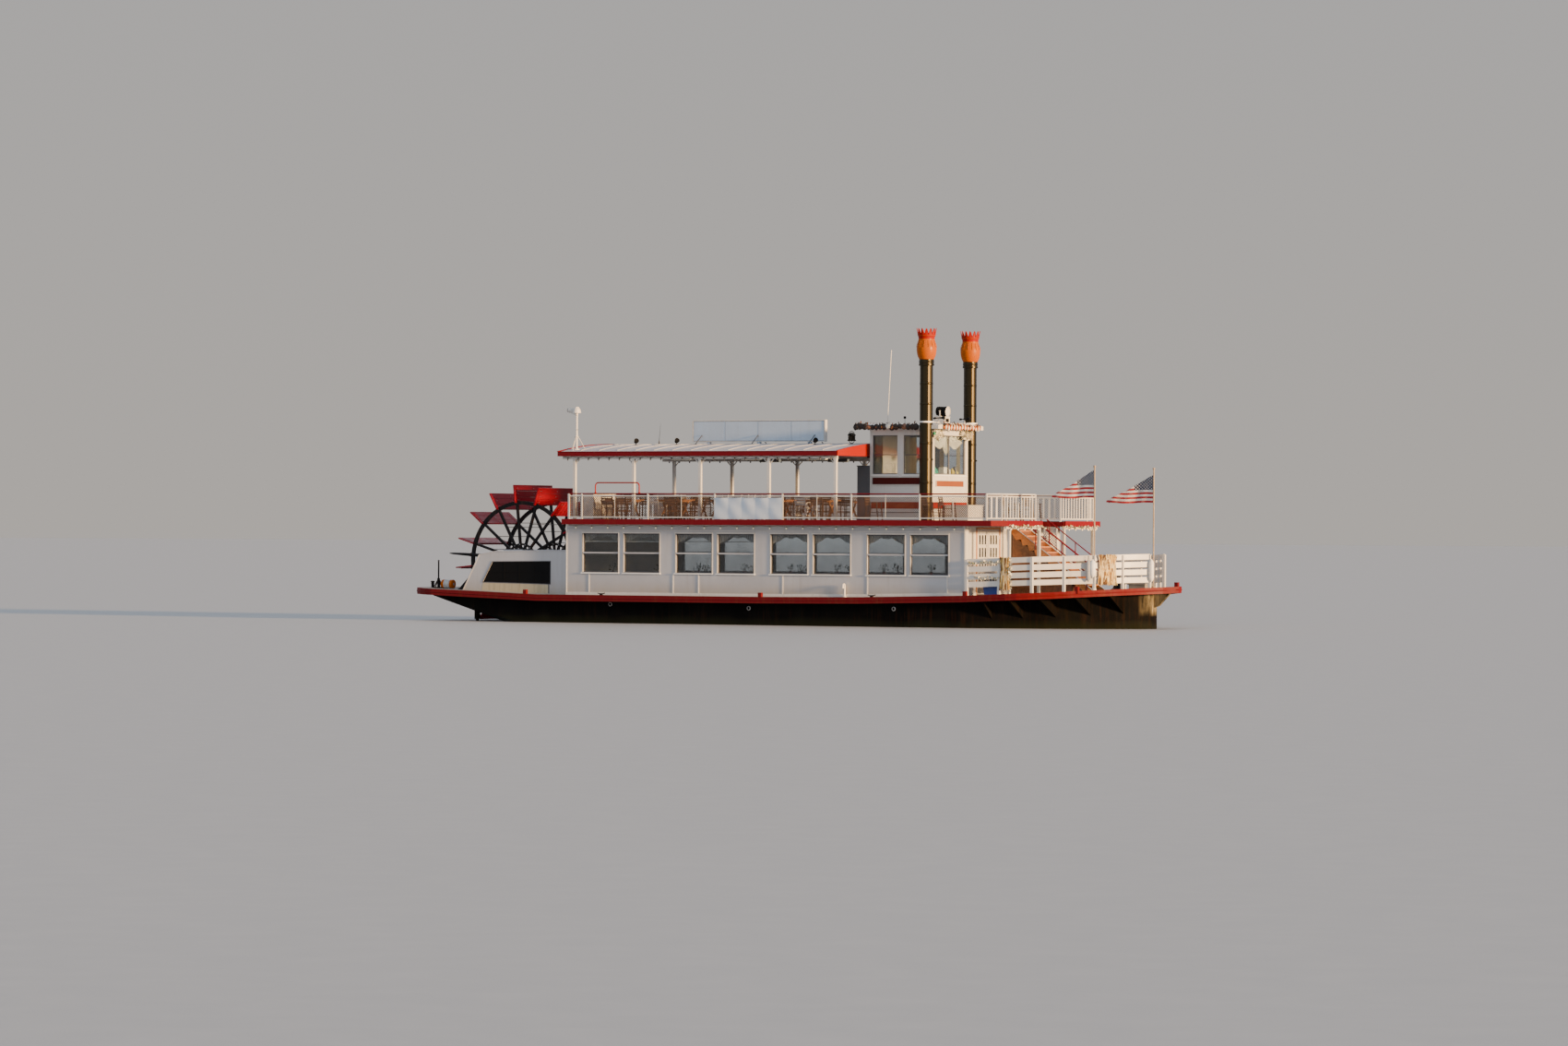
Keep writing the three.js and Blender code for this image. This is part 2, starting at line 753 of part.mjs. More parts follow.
addPiece(
  "pilothouse_panes",
  join(
    sidePane,
    mirrored(sidePane),
    box(paneFore - PANE.thick, paneFore, -paneHalf, paneHalf, ...paneZ),
  ),
  GLASS,
);
function pilotDoor() {
  const leaf = doorLeaf(
    -PILOT_DOOR.half,
    PILOT_DOOR.half,
    0,
    pilotFoot + SILL,
    PILOT_DOOR.top,
    false,
  );
  return leaf.rotateZ(Math.PI).translate(PILOT.aft, 0, 0);
}
addPiece("pilothouse_door", pilotDoor(), WHITE);

// Pilothouse roof, cut round the stacks, with the searchlight and the aerial on it
const PILOT_ROOF = { aft: 2560, fore: 5820, half: 1650, thick: 130, rise: 90 };
const roofLow = PILOT.top + GAP;
const crownAt = (y) => roofLow + PILOT_ROOF.thick + PILOT_ROOF.rise * (1 - (y / PILOT_ROOF.half) ** 2);
const pilotRoofRow = Array.from({ length: 9 }, (_, i) => (i / 4 - 1) * PILOT_ROOF.half);
const pilotRoof = plate(
  "x",
  [
    [-PILOT_ROOF.half, roofLow],
    [PILOT_ROOF.half, roofLow],
    ...pilotRoofRow.map((y) => [y, crownAt(y)]).reverse(),
  ],
  PILOT_ROOF.aft,
  PILOT_ROOF.fore,
);
const stackClear = (side) =>
  rod([STACK.x, side * STACK.y, 6000], [STACK.x, side * STACK.y, 8000], STACK.r + 15, 24);
const searchlight = [
  box(4880, 5280, -190, 190, crownAt(0) - 30, 7230),
  rod([5080, 0, 7200], [5080, 0, 7300], 40, 10),
  rod([4900, 0, 7420], [5290, 0, 7400], 150, 20),
];
const aerial = rod([2818, 200, crownAt(200) - 30], [2960, 200, 9560], 14, 8);
addPiece(
  "pilothouse_roof",
  join(cut(pilotRoof, stackClear(-1), stackClear(1)), ...searchlight, aerial),
  WHITE,
);

// Steering console with its wheel, and the pilot's seat
const HELM = { x: 4750, wheelZ: 4700, wheelR: 330 };
const helmFoot = DECK2.top + GAP;
addPiece(
  "helm_console",
  join(
    box(HELM.x, HELM.x + 350, -600, 600, helmFoot, 4650),
    rod([HELM.x - 160, 0, HELM.wheelZ - 150], [HELM.x + 10, 0, HELM.wheelZ - 150], 30, 10),
    new THREE.TorusGeometry(HELM.wheelR, 22, 5, 16)
      .rotateY(Math.PI / 2)
      .translate(HELM.x - 140, 0, HELM.wheelZ - 150),
    ...[0, 1, 2].map((i) => {
      const angle = (i * Math.PI) / 3;
      const reach = [Math.cos(angle), Math.sin(angle)].map((k) => k * (HELM.wheelR + 80));
      const at = (sign) => [HELM.x - 140, sign * reach[0], HELM.wheelZ - 150 + sign * reach[1]];
      return rod(at(-1), at(1), 14, 5);
    }),
  ),
  WOOD,
);
addPiece(
  "pilot_seat",
  join(
    rod([3900, 0, helmFoot], [3900, 0, 4350], 60, 12),
    box(3700, 4120, -230, 230, 4300, 4420),
    box(3640, 3720, -230, 230, 4330, 4980),
    box(3720, 4060, -170, 170, helmFoot, 3640),
  ),
  BLACK,
);

// Stacks and their crowns: [radius, height] profiles
addPair(
  "stack",
  turned(
    [
      [0, railFoot],
      [STACK.r, railFoot],
      [STACK.r, STACK.top],
      [255, STACK.top],
      [255, 9160],
      [0, 9160],
    ],
    STACK.x,
    -STACK.y,
  ),
  BLACK,
);
const CROWN = { base: 9160 + GAP, points: 14, low: 9980, tip: 10230 };
const crownPoint = (i) => {
  const angle = ((i + 0.5) / CROWN.points) * 2 * Math.PI;
  const at = (radius, turn, z) => [
    STACK.x + radius * Math.cos(angle + turn),
    -STACK.y + radius * Math.sin(angle + turn),
    z,
  ];
  const ring = (radius) => [
    at(radius, -0.19, CROWN.low - 60),
    at(radius, 0.19, CROWN.low - 60),
    at(radius + 48, 0, CROWN.tip),
  ];
  return loft([ring(282), ring(306)]);
};
addPair(
  "stack_crown",
  join(
    turned(
      [
        [0, CROWN.base],
        [255, CROWN.base],
        [325, 9340],
        [345, 9500],
        [325, 9660],
        [280, 9820],
        [318, CROWN.low],
        [272, CROWN.low],
        [240, 9900],
        [0, 9900],
      ],
      STACK.x,
      -STACK.y,
      20,
    ),
    ...Array.from({ length: CROWN.points }, (_, i) => crownPoint(i)),
  ),
  RED,
);

// Sign board on the awning's crown, left blank
const SIGN = { aft: -4900, fore: 480, low: 6380, top: 7150, thick: 140 };
addPiece(
  "sign_board",
  join(
    box(SIGN.aft, SIGN.fore, -SIGN.thick / 2, SIGN.thick / 2, SIGN.low, SIGN.top),
    ...[0.12, 0.5, 0.88].map((k) => {
      const x = SIGN.aft + (SIGN.fore - SIGN.aft) * k;
      return box(x - 60, x + 60, -60, 60, AWNING.crown + GAP, SIGN.low + 20);
    }),
  ),
  CLOTH,
);

// Stern light mast on the awning
const MAST = { x: -7900, y: -3000, top: 7600 };
addPiece(
  "stern_mast",
  join(
    rod([MAST.x, MAST.y, AWNING.edge + camber(MAST.y, roofRise) + 6], [MAST.x, MAST.y, MAST.top - 200], 38, 12),
    turned(
      [
        [0, MAST.top - 240],
        [150, MAST.top - 230],
        [130, MAST.top - 120],
        [70, MAST.top - 20],
        [0, MAST.top],
      ],
      MAST.x,
      MAST.y,
      16,
    ),
  ),
  WHITE,
);

// Bell in its stand on the awning, ahead of the sign
const BELL = { x: 1510, pivot: 6600, mouth: 6400, r: 145 };
const yoke = (side) => box(BELL.x - 25, BELL.x + 25, side * 205 - 12, side * 205 + 12, 6320, 6640);
addPiece(
  "bell_stand",
  join(
    box(BELL.x - 150, BELL.x + 150, -160, 160, AWNING.crown + GAP, 6340),
    box(BELL.x - 30, BELL.x + 30, -217, 217, 6310, 6340),
    yoke(-1),
    yoke(1),
  ),
  STEEL,
);
addPiece(
  "bell",
  join(
    turned(
      [
        [0, 6560],
        [60, 6540],
        [90, 6480],
        [BELL.r - 14, BELL.mouth],
        [BELL.r, BELL.mouth],
        [BELL.r - 35, 6480],
        [82, 6580],
        [40, 6625],
        [0, 6630],
      ],
      BELL.x,
      0,
      20,
    ),
    rod([BELL.x, -193 + GAP, BELL.pivot + 10], [BELL.x, 193 - GAP, BELL.pivot + 10], 14, 10),
  ),
  BRASS,
);

// Paddle wheel: shaft, hubs, rims, arms and boards turn together
function paddleWheel() {
  const at = (angle, radius, y) => [
    WHEEL.x + radius * Math.cos(angle),
    y,
    WHEEL.z + radius * Math.sin(angle),
  ];
  const disc = (radius, y, wide, sides) => rod(at(0, 0, y - wide / 2), at(0, 0, y + wide / 2), radius, sides);
  const rimSides = WHEEL.arms * 2;
  const parts = [disc(90, 0, 2980, 16)];
  for (const side of [-1, 1]) {
    const y = side * WHEEL.rimY;
    parts.push(disc(330, y, 110, 24));
    parts.push(cut(disc(WHEEL.rimR, y, 70, rimSides), disc(WHEEL.rimR - WHEEL.rimDepth, y, 200, rimSides)));
    for (let i = 0; i < WHEEL.arms; i++) {
      const angle = ((i + 0.25) / WHEEL.arms) * 2 * Math.PI;
      parts.push(bar(at(angle, 200, y), at(angle, WHEEL.paddleR - 40, y), 60, 60));
    }
  }
  for (let i = 0; i < WHEEL.arms; i++) {
    const angle = ((i + 0.25) / WHEEL.arms) * 2 * Math.PI;
    const board = box(WHEEL.rimR - 60, WHEEL.paddleR, -1290, 1290, -22, 22);
    parts.push(board.rotateY(-angle).translate(WHEEL.x, 0, WHEEL.z));
  }
  return join(...parts);
}
addPiece("paddle_wheel", paddleWheel(), RED);

// Side boxes that carry the wheel's bearings, with dark panels in their outer sides
const BOX_OUTLINE = [
  [-12400, 0],
  [-8100, 0],
  [-8100, 2540],
  [-11000, 2500],
  [-11720, 2380],
];
const SIDE_BOX = { outer: -3350, inner: -1560 };
const boxFoot = [-12400, ...SHEER.map(([x]) => x).filter((x) => x > -12400 && x < -8100), -8100];
const boxPanel = plate(
  "y",
  [
    [-11560, 1400],
    [-8750, 1350],
    [-8750, 2140],
    [-11160, 2110],
  ],
  SIDE_BOX.outer - 50,
  SIDE_BOX.outer + 25,
);
addPair(
  "side_box",
  cut(
    plate(
      "y",
      [...boxFoot.map((x) => [x, deckZ(x) + GAP]), ...BOX_OUTLINE.slice(2)],
      SIDE_BOX.outer,
      SIDE_BOX.inner,
    ),
    boxPanel,
  ),
  WALL_GREY,
);
const BEARING = { r: 210, bore: 90.8 };
addPair(
  "wheel_bearing",
  cut(
    join(
      rod([WHEEL.x, SIDE_BOX.inner + GAP, WHEEL.z], [WHEEL.x, -1420, WHEEL.z], BEARING.r, 20),
      box(WHEEL.x - 260, WHEEL.x + 260, SIDE_BOX.inner + GAP, SIDE_BOX.inner + 50, WHEEL.z - 330, WHEEL.z + 120),
    ),
    rod([WHEEL.x, SIDE_BOX.inner + 55, WHEEL.z], [WHEEL.x, -1300, WHEEL.z], BEARING.bore, 32),
  ),
  STEEL,
);

// Bow stair from the upper deck's notch down to the main deck, with its locker and handrails
const STAIR = { top: [STAIR_NOTCH.aft + GAP + 5, 3490], foot: 11160, half: 500, board: 50, deep: 260, treads: 11 };
const stairSlope = (deckZ(STAIR.foot) + 40 - STAIR.top[1]) / (STAIR.foot - STAIR.top[0]);
const stairZ = (x) => STAIR.top[1] + (x - STAIR.top[0]) * stairSlope;
function bowStair() {
  const stringer = (y0, y1) =>
    plate(
      "y",
      [
        [STAIR.top[0], stairZ(STAIR.top[0]) - STAIR.deep],
        [STAIR.foot - 330, deckZ(STAIR.foot - 330) + 6],
        [STAIR.foot, deckZ(STAIR.foot) + GAP],
        [STAIR.foot + 20, deckZ(STAIR.foot) + 30],
        [STAIR.top[0], stairZ(STAIR.top[0])],
      ],
      y0,
      y1,
    );
  const parts = [
    stringer(-STAIR.half, -STAIR.half + STAIR.board),
    stringer(STAIR.half - STAIR.board, STAIR.half),
  ];
  const run = (STAIR.foot - STAIR.top[0]) / (STAIR.treads + 1);
  for (let i = 1; i <= STAIR.treads; i++) {
    const x = STAIR.top[0] + run * (i - 0.5);
    const z = stairZ(x + run / 2) + 5;
    parts.push(box(x - run * 0.45, x + run * 0.55, -STAIR.half + 20, STAIR.half - 20, z - 40, z));
    parts.push(box(x - run * 0.45, x - run * 0.45 + 20, -STAIR.half + 20, STAIR.half - 20, z - 20, z + 150));
  }
  return join(...parts);
}
const handrailY = -STAIR.half - 15;
const handrailAt = (x, rise) => [x, handrailY, stairZ(x) + rise];
const handrail = join(
  rod(handrailAt(8900, 800), handrailAt(11060, 800), 20, 8),
  rod(handrailAt(8900, 450), handrailAt(11060, 450), 20, 8),
  ...[9000, 10000, 10960].map((x) => rod(handrailAt(x, -150), handrailAt(x, 805), 20, 8)),
);
addPiece("bow_stair", join(bowStair(), handrail, mirrored(handrail)), WOOD);
const LOCKER = { aft: 8060, fore: 10350, half: 440 };
const lockerTop = (x) => stairZ(x) - STAIR.deep - 60;
addPiece(
  "stair_locker",
  plate(
    "y",
    [
      [LOCKER.aft, deckZ(LOCKER.aft) + GAP],
      [LOCKER.fore, deckZ(LOCKER.fore) + GAP],
      [LOCKER.fore, lockerTop(LOCKER.fore)],
      [LOCKER.aft, lockerTop(LOCKER.aft)],
    ],
    -LOCKER.half,
    LOCKER.half,
  ),
  WOOD,
);
// Posts under the upper deck's front edge
const FRONT_POSTS = { x: 9340, wide: 90 };
const frontPost = (y) =>
  box(
    FRONT_POSTS.x - FRONT_POSTS.wide / 2,
    FRONT_POSTS.x + FRONT_POSTS.wide / 2,
    y - FRONT_POSTS.wide / 2,
    y + FRONT_POSTS.wide / 2,
    deckZ(FRONT_POSTS.x + FRONT_POSTS.wide / 2) + GAP,
    3400,
  );
addPair(
  "front_posts",
  join(
    frontPost(-3120),
    frontPost(-930),
    box(FRONT_POSTS.x - 45, FRONT_POSTS.x + 45, -3400, -880, 3360, DECK2.low - GAP),
  ),
  WHITE,
);

// Bow fences: boards between posts on each side of the fore deck, each corner [x, y]
const FENCE = {
  corners: [
    [8020, -3665],
    [10400, -3500],
    [12150, -2330],
    [13350, -560],
  ],
  boards: 4,
  boardHigh: 185,
  pitch: 258,
  top: (x) => 2335 + 0.038 * (x - 8000),
  posts: [9200, 11300, 12760],
};
function fenceY(x) {
  const i = Math.max(FENCE.corners.findIndex(([end]) => end >= x), 1);
  const [[x0, y0], [x1, y1]] = [FENCE.corners[i - 1], FENCE.corners[i]];
  return y0 + ((y1 - y0) * (x - x0)) / (x1 - x0);
}
function bowFence() {
  const posts = [...FENCE.corners.map(([x]) => x), ...FENCE.posts];
  const parts = posts.map((x) => {
    const y = fenceY(x);
    return box(x - 45, x + 45, y - 45, y + 45, deckZ(x + 45) + GAP, FENCE.top(x) - 20);
  });
  for (let i = 0; i + 1 < FENCE.corners.length; i++) {
    const [[x0, y0], [x1, y1]] = [FENCE.corners[i], FENCE.corners[i + 1]];
    for (let k = 0; k < FENCE.boards; k++) {
      const down = FENCE.boardHigh / 2 + k * FENCE.pitch;
      const end = ([x, y]) => [x, y, FENCE.top(x) - down];
      parts.push(bar(end([x0, y0]), end([x1, y1]), 40, FENCE.boardHigh));
    }
  }
  return join(...parts);
}

// Staffs and flags: a flag is a cloth that flies aft and droops to its lower fly corner
const JACKSTAFF = { x: 13220, y: 0, top: 5400 };
const FLAGSTAFF = { x: 12150, y: -2330, top: 5450 };
const flagstaff = ({ x, y, top }) =>
  join(
    rod([x, y, deckZ(x + 80) + GAP], [x, y, top], 26, 10),
    rod([x, y, deckZ(x + 80) + GAP], [x, y, deckZ(x) + 60], 80, 12),
    rod([x, y, top - 5], [x, y, top + 50], 45, 10),
  );
addPiece("jackstaff", flagstaff(JACKSTAFF), WHITE);
const fence = bowFence();
addPiece("bow_fence_starboard", join(fence, flagstaff(FLAGSTAFF)), WHITE);
addPiece("bow_fence_port", mirrored(fence), WHITE);
const flag = ({ x, y }, hoistTop, hoist, fly) =>
  plate(
    "y",
    [
      [x - 25.2, hoistTop],
      [x - 25.2, hoistTop - hoist],
      [x - fly * 0.55, hoistTop - hoist * 1.13],
      [x - fly, hoistTop - hoist * 1.04],
      [x - fly * 0.96, hoistTop - hoist * 0.92],
      [x - fly * 0.5, hoistTop - hoist * 0.4],
    ],
    y - 30,
    y + 30,
  );
addPiece("jack_flag", flag(JACKSTAFF, 5200, 930, 1850), CLOTH);
addPiece("side_flag", flag(FLAGSTAFF, 5340, 920, 1650), CLOTH);

// Gear on the starboard quarter
const POLE = { x: -13700, y: -2950, top: 2150 };
const poleFoot = deckZ(POLE.x - 220) + GAP;
addPiece(
  "stern_pole",
  join(
    rod([POLE.x, POLE.y, poleFoot], [POLE.x, POLE.y, POLE.top], 32, 10),
    box(POLE.x - 220, POLE.x + 220, POLE.y - 30, POLE.y + 30, poleFoot, poleFoot + 40),
    box(POLE.x - 30, POLE.x + 30, POLE.y - 220, POLE.y + 220, poleFoot, poleFoot + 40),
    bar([POLE.x - 200, POLE.y, poleFoot + 20], [POLE.x, POLE.y, poleFoot + 320], 30, 30),
    bar([POLE.x + 200, POLE.y, poleFoot + 20], [POLE.x, POLE.y, poleFoot + 320], 30, 30),
  ),
  BLACK,
);
const DRUM = { x: -13220, y: -3050, r: 160, half: 230 };
addPiece(
  "stern_drum",
  rod(
    [DRUM.x - DRUM.half, DRUM.y, deckZ(DRUM.x - DRUM.half) + DRUM.r + GAP],
    [DRUM.x + DRUM.half, DRUM.y, deckZ(DRUM.x - DRUM.half) + DRUM.r + GAP],
    DRUM.r,
    20,
  ),
  RED,
);

// Bundle of dry stalks tied flat against the outer side of the starboard fence, beside the flagstaff.
// Its sections are [height, half breadth, half thickness].
const STALKS = { along: 465 };
const stalksTop = FENCE.top(FLAGSTAFF.x + 250);
const STALK_SECTIONS = [
  [stalksTop - 1030, 370, 75],
  [stalksTop - 780, 350, 62],
  [stalksTop - 300, 315, 48],
  [stalksTop - 120, 330, 55],
  [stalksTop + 20, 365, 70],
];
function stalkBundle() {
  const [, , corner, end] = FENCE.corners.map(([x, y]) => new THREE.Vector2(x, y));
  const along = end.clone().sub(corner).normalize();
  const out = new THREE.Vector2(along.y, -along.x);
  const boardFace = 20 + GAP;
  const middle = corner.clone().addScaledVector(along, STALKS.along);
  return loft(
    STALK_SECTIONS.map(([z, breadth, thick]) =>
      Array.from({ length: 10 }, (_, i) => {
        const angle = ((i + 0.5) / 10) * 2 * Math.PI;
        const place = middle
          .clone()
          .addScaledVector(along, breadth * Math.cos(angle))
          .addScaledVector(out, boardFace + thick * (1 - Math.sin(angle)));
        return [place.x, place.y, z];
      }),
    ),
  );
}
addPiece("straw_bundle", stalkBundle(), STRAW);

export default boat;
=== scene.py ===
import json
import math
import random
from math import cos, pi, sin
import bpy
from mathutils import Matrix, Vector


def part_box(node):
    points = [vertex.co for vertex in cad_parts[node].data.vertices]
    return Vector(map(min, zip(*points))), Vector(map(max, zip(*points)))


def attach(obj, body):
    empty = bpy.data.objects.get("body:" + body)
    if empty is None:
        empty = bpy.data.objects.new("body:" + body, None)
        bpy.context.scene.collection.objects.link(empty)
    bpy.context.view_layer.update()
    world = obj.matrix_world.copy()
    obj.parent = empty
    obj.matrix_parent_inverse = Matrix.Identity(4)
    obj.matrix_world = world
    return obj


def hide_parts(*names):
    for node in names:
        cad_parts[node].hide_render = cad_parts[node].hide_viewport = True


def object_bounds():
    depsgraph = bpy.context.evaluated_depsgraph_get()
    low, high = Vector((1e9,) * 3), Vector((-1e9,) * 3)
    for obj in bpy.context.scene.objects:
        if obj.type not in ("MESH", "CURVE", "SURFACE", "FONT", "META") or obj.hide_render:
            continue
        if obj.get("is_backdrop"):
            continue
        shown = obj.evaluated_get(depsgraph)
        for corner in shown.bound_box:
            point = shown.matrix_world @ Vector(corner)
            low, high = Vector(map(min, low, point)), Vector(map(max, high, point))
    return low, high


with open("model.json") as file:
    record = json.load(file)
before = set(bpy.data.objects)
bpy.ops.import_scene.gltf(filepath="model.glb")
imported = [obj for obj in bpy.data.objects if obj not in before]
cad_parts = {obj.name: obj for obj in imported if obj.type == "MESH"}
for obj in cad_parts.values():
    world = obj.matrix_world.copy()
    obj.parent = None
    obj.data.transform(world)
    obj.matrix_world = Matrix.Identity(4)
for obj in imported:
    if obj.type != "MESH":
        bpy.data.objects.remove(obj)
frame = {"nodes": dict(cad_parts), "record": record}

from types import SimpleNamespace as Sizes

import bmesh
import bpy
from mathutils import Matrix, Vector

# Dresses the sternwheel paddle boat. Metres, +X towards the bow, +Y to port, +Z up, with the
# water at height 0. A piece is made on the starboard side and mirrored where it has a twin.

CAD_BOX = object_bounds()
chance = random.Random(1907)
vary = chance.uniform


def placed(name, data):
    """A new object in the scene."""
    made = bpy.data.objects.new(name, data)
    bpy.context.scene.collection.objects.link(made)
    return made


# Camera: level, seen from the starboard bow at eye height over the water
IMAGE = Sizes(wide=1700, high=1134)
CAMERA = Sizes(turn=math.radians(29.5), roll=math.radians(0.29), away=200.0, height=3.2, scale=31.0)
ORIGIN_PIXEL, HORIZON_PIXEL = 882, 577.5


def make_camera():
    data = bpy.data.cameras.new("camera")
    seen = placed("camera", data)
    away = Vector((sin(CAMERA.turn), -cos(CAMERA.turn), 0)) * CAMERA.away
    seen.location = away + Vector((0, 0, CAMERA.height))
    level = (-away).to_track_quat("-Z", "Y").to_matrix()
    seen.rotation_euler = (level @ Matrix.Rotation(CAMERA.roll, 3, "Z")).to_euler()
    data.sensor_width = 36
    data.lens = CAMERA.scale * CAMERA.away / IMAGE.wide * data.sensor_width
    data.shift_x = (IMAGE.wide / 2 - ORIGIN_PIXEL) / IMAGE.wide
    data.shift_y = (HORIZON_PIXEL - IMAGE.high / 2) / IMAGE.wide
    data.clip_start, data.clip_end = 1, 2000
    bpy.context.scene.camera = seen


def make_light(name, towards, strength, spread, tint):
    """Soft parallel light that comes from a direction."""
    data = bpy.data.lights.new(name, "SUN")
    data.energy, data.angle, data.color = strength, math.radians(spread), tint
    lamp = placed(name, data)
    lamp.location = Vector(towards) * 60
    lamp.rotation_euler = (-Vector(towards)).to_track_quat("-Z", "Y").to_euler()


def make_studio():
    """Even sky, a warm soft light low off the starboard bow and two faint cool ones."""
    world = bpy.data.worlds.new("studio")
    world.use_nodes = True
    nodes, links = world.node_tree.nodes, world.node_tree.links
    sky = nodes["Background"]
    height = nodes.new("ShaderNodeSeparateXYZ")
    links.new(nodes.new("ShaderNodeTexCoord").outputs["Generated"], height.inputs[0])
    haze = nodes.new("ShaderNodeValToRGB")
    links.new(height.outputs[2], haze.inputs[0])
    links.new(haze.outputs[0], sky.inputs["Color"])
    low, high = haze.color_ramp.elements
    low.position, low.color = 0.0, (0.86, 0.8, 0.74, 1)
    high.position, high.color = 0.45, (0.66, 0.76, 0.9, 1)
    sky.inputs["Strength"].default_value = 0.58
    bpy.context.scene.world = world
    make_light("bow light", (1.0, -0.1, 0.1), 12.0, 5, (1.0, 0.63, 0.31))
    make_light("side light", (-0.1, -1.0, 0.6), 0.7, 70, (0.84, 0.91, 1.0))
    make_light("far light", (-0.5, 0.8, 0.6), 0.4, 70, (0.95, 0.95, 1.0))


make_camera()
make_studio()

# Shapes

BOX_FACES = [(0, 1, 3, 2), (4, 6, 7, 5), (0, 4, 5, 1), (2, 3, 7, 6), (0, 2, 6, 4), (1, 5, 7, 3)]
SHARP_FROM, ROUNDED_FROM = math.radians(50), math.radians(40)
SIDES, SIDE_NAMES = (-1, 1), ("starboard", "port")
SQUARE = [(-1, -1), (1, -1), (1, 1), (-1, 1)]


def across(along):
    """Two directions at right angles to one another and to a direction."""
    helper = Vector((0, 0, 1)) if abs(along.z) < 0.9 else Vector((0, 1, 0))
    side = along.cross(helper).normalized()
    return side, side.cross(along).normalized()


def turns(count, start=0.0):
    """Angles spaced evenly round a circle."""
    return [2 * pi * (k + start) / count for k in range(count)]


def strip(line, rise):
    """Outline between a line and the same line moved up."""
    return line + [(along, z + rise) for along, z in reversed(line)]


def ring(middle, side, up, radius, angles):
    return [middle + (side * cos(t) + up * sin(t)) * radius for t in angles]


class Shape:
    """Faces gathered for one piece. Each face keeps the number of its finish."""

    def __init__(self):
        self.points, self.faces, self.finishes = [], [], []

    def add(self, points, faces, finish=0):
        start = len(self.points)
        self.points += [tuple(p) for p in points]
        self.faces += [[start + i for i in face] for face in faces]
        self.finishes += [finish] * len(faces)

    def box(self, corner, opposite, finish=0):
        x, y, z = zip(corner, opposite)
        self.add([(a, b, c) for a in x for b in y for c in z], BOX_FACES, finish)

    def pad(self, x, y, half_x, half_y, low, high, finish=0):
        """Upright box about a point of the plan."""
        self.box((x - half_x, y - half_y, low), (x + half_x, y + half_y, high), finish)

    def block(self, centre, size, finish=0):
        self.box([c - s / 2 for c, s in zip(centre, size)], [c + s / 2 for c, s in zip(centre, size)], finish)

    def loft(self, rings, finish=0, capped=True, looped=False):
        """Skin over rings of points, closed at both ends or back onto the first ring."""
        n, count = len(rings[0]), len(rings)
        faces = []
        for r in range(count if looped else count - 1):
            near, far = r * n, (r + 1) % count * n
            faces += [(near + i, near + (i + 1) % n, far + (i + 1) % n, far + i) for i in range(n)]
        if capped and not looped:
            faces += [tuple(range(n))[::-1], tuple(range((count - 1) * n, count * n))]
        self.add([p for points in rings for p in points], faces, finish)

    def rod(self, p, q, radius, sides=8, finish=0, far_radius=None):
        p, q = Vector(p), Vector(q)
        side, up = across((q - p).normalized())
        angles = turns(sides, 0.5)
        far = radius if far_radius is None else far_radius
        self.loft([ring(p, side, up, radius, angles), ring(q, side, up, far, angles)], finish)

    def pin(self, x, y, low, high, radius, sides=8, finish=0, far_radius=None):
        """Upright rod."""
        self.rod((x, y, low), (x, y, high), radius, sides, finish, far_radius)

    def bar(self, p, q, wide, deep, finish=0):
        """Square bar from p to q, its width level."""
        p, q = Vector(p), Vector(q)
        side, up = across((q - p).normalized())
        self.loft([[end + side * a * wide / 2 + up * b * deep / 2 for a, b in SQUARE] for end in (p, q)], finish)

    def sweep(self, route, radius, sides=6, finish=0, looped=False):
        """Round bar along a route. The radius is one number, or one for each point."""
        route = [Vector(p) for p in route]
        count = len(route)
        radii = radius if hasattr(radius, "__len__") else [radius] * count
        rings, side = [], None
        for i, point in enumerate(route):
            before = route[i - 1] if i or looped else point
            after = route[(i + 1) % count] if i + 1 < count or looped else point
            along = (after - before).normalized()
            side = across(along)[0] if side is None else (side - along * side.dot(along)).normalized()
            rings.append(ring(point, side, side.cross(along), radii[i], turns(sides)))
        self.loft(rings, finish, looped=looped)

    def turned(self, profile, place, sides=24, finish=0, axis=(0, 0, 1)):
        """Profile of (radius, way along the axis) turned about an axis through a place."""
        axis, place = Vector(axis).normalized(), Vector(place)
        side, up = across(axis)
        self.loft([ring(place + axis * h, side, up, max(r, 1e-4), turns(sides)) for r, h in profile], finish)

    def collar(self, place, inner, outer, low, high, slope, sides=16, finish=0, axis=(0, 0, 1)):
        """Raised band round a post, with sloped edges."""
        profile = [(inner, low), (outer, low + slope), (outer, high - slope), (inner, high)]
        self.turned(profile, place, sides, finish, axis)

    def plate(self, outline, axis, start, end, finish=0):
        """Outline pushed along one axis: in YZ for x, XZ for y and XY for z."""
        def corner(a, b, c):
            return {"x": (c, a, b), "y": (a, c, b), "z": (a, b, c)}[axis]
        self.loft([[corner(a, b, c) for a, b in outline] for c in (start, end)], finish)

    def copy_in(self, other, turn=None):
        """Adds another shape, moved by a matrix."""
        start = len(self.points)
        self.points += [tuple(turn @ Vector(p)) for p in other.points] if turn else other.points
        self.faces += [[start + i for i in face] for face in other.faces]
        self.finishes += other.finishes

    def twin(self):
        """The same shape on the other side of the boat."""
        other = Shape()
        other.copy_in(self, Matrix.Scale(-1, 4, (0, 1, 0)))
        return other


